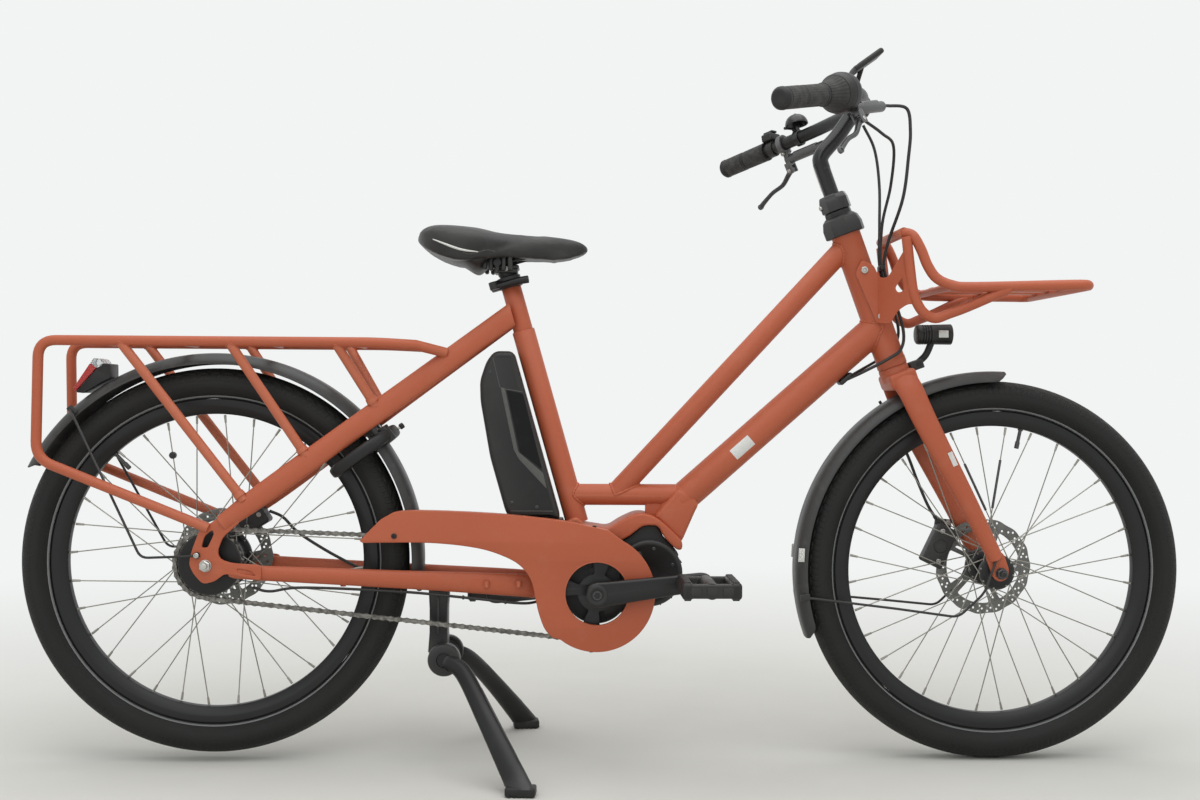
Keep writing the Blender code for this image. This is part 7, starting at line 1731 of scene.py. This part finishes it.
# Cables: a brake hose, a shift cable and the display's lead leave the bars, gather in two ties ahead of
# the head tube and enter the frame through a rubber port. Others run under the chain stays.
sheath = Finish("cable_sheath", "rubber", Specular_IOR_Level=0.5)
sheath.coat(sheath.noise(80, 5), sheath.noise(1500, 2), 0.00005, (22, 22, 22), (40, 40, 39), 0.36, 0.2)
below = Vector((DOWN_RUN.z, 0, -DOWN_RUN.x))
port = DOWN_TUBE[1] - 0.098 * DOWN_RUN + 0.0288 * below
NOZZLE = grip_frame(-1) @ Vector((0.028, 0, 0.2758))
flipped_axis = (grip_frame(-1).to_3x3() @ UP).normalized()
brake_line = [NOZZLE, NOZZLE + 0.016 * flipped_axis, *spots(HEAD_LOW, (-1.9, 403.6, -86), (4.1, 369.6, -86),
    (2.1, 329.6, -84), (-2.9, 264.6, -70), (-15.9, 199.6, -30), (-18.9, 159.6, -16.5)),
    head(0.48, 0.036, -0.016), head(0.42, 0.033, -0.016), head(0.392, 0.016, -0.029),
    head(0.384, -0.01, -0.034), fore(-0.0529, -0.0094, -0.024), port + Vector((0.002, -0.008, -0.001))]
shift_line = [*spots(HEAD_LOW, (-84.9, 379.6, -128), (-46.9, 359.6, -110), (-20.9, 344.6, -80),
    (-14.9, 289.6, -40), (-21.9, 229.6, -14), (-21.9, 159.6, -8.5)), head(0.48, 0.034, -0.006)]
lead_line = [*spots(HEAD_LOW, (-44.4, 399.6, 29), (-24.9, 359.6, 30), (-18.9, 299.6, 20), (-21.9, 229.6, 4),
    (-21.9, 159.6, -0.5)), head(0.48, 0.035, 0.004), head(0.42, 0.033, 0.014), head(0.392, 0.016, 0.03),
    head(0.384, -0.01, 0.034), fore(-0.0529, -0.0094, 0.024), port + Vector((0.002, 0.008, -0.001))]
bar_runs = Form()
for line, radius in ((brake_line, 0.0026), (shift_line, 0.0024), (lead_line, 0.0024)):
    bar_runs.tube(smooth(line, 8), radius, 14)
bar_runs.block(fore(-0.0214, 0.1596, -0.0085), (0.009, 0.025, 0.009), edge=0.0025)
bar_runs.block(head(0.478, 0.035, -0.006), (0.009, 0.026, 0.008), HEAD_TURN, 0.0025)
bar_runs.block(port, (0.026, 0.028, 0.008), tipped(-atan2(DOWN_RUN.z, DOWN_RUN.x)), 0.003)
bar_lines = bar_runs.done("bar_cable_set", sheath, None, "bar_cables", angle=50)
fore(-0.0189, 0.1796)
fore(-0.0029, 0.3696)
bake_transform(bar_lines)
rear_shift = smooth(spots(CRANK, (-88, -16.5, -22), (-120, -19, -34), (-200, -10, -40))
    + spots(REAR, (300, -44.5, -45), (150, -36, -60), (98, -41, -65.5), (70, -36, -60)), 8)
rear_hose = smooth(spots(CRANK, (-88, -16.5, 22), (-120, -19, 34), (-200, -10, 40))
    + spots(REAR, (300, -44.5, 45), (262, -40, 40.5), (215, -15, 40), (165, 12, 41), (120, 40, 47),
    (94, 64, 54), (71.5, 74.2, 56)), 8)
rear_runs = Form().tube(rear_shift, 0.0022, 14).tube(rear_hose, 0.0025, 14)
rear_runs.block(near(CRANK, -0.088, -0.0168), (0.01, 0.052, 0.006), edge=0.0018)
for clip in (0.3, 0.395, 0.46):
    for line in (rear_shift, rear_hose):
        spot = min(line, key=lambda p: abs(p.x - REAR.x - clip))
        rear_runs.tube([near(spot, x, 0) for x in (-0.0016, 0.0016)], 0.0034, 16, blunt=0.0004)
rear_runs.done("chain_stay_cables", sheath, "frame", "rear_cables", angle=50)
fork_hose = smooth([head(0.318, -0.03, 0.04), *spots(FRONT, (-130, 196, 50), (-108, 142, 50), (-90, 100, 48),
    (-76.4, 78.2, 45.1))], 8)
hose_form = Form().tube(fork_hose, 0.0025, 14, blunt=0.0005)
hose_form.tube([fork_hose[-3], fork_hose[-1]], 0.0036, 16, blunt=0.0006)
hose_form.done("front_brake_hose", sheath, "steering", "front_hose")

size = {"cad": [list(c) for c in cad_box], "visual": [list(c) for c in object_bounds()]}
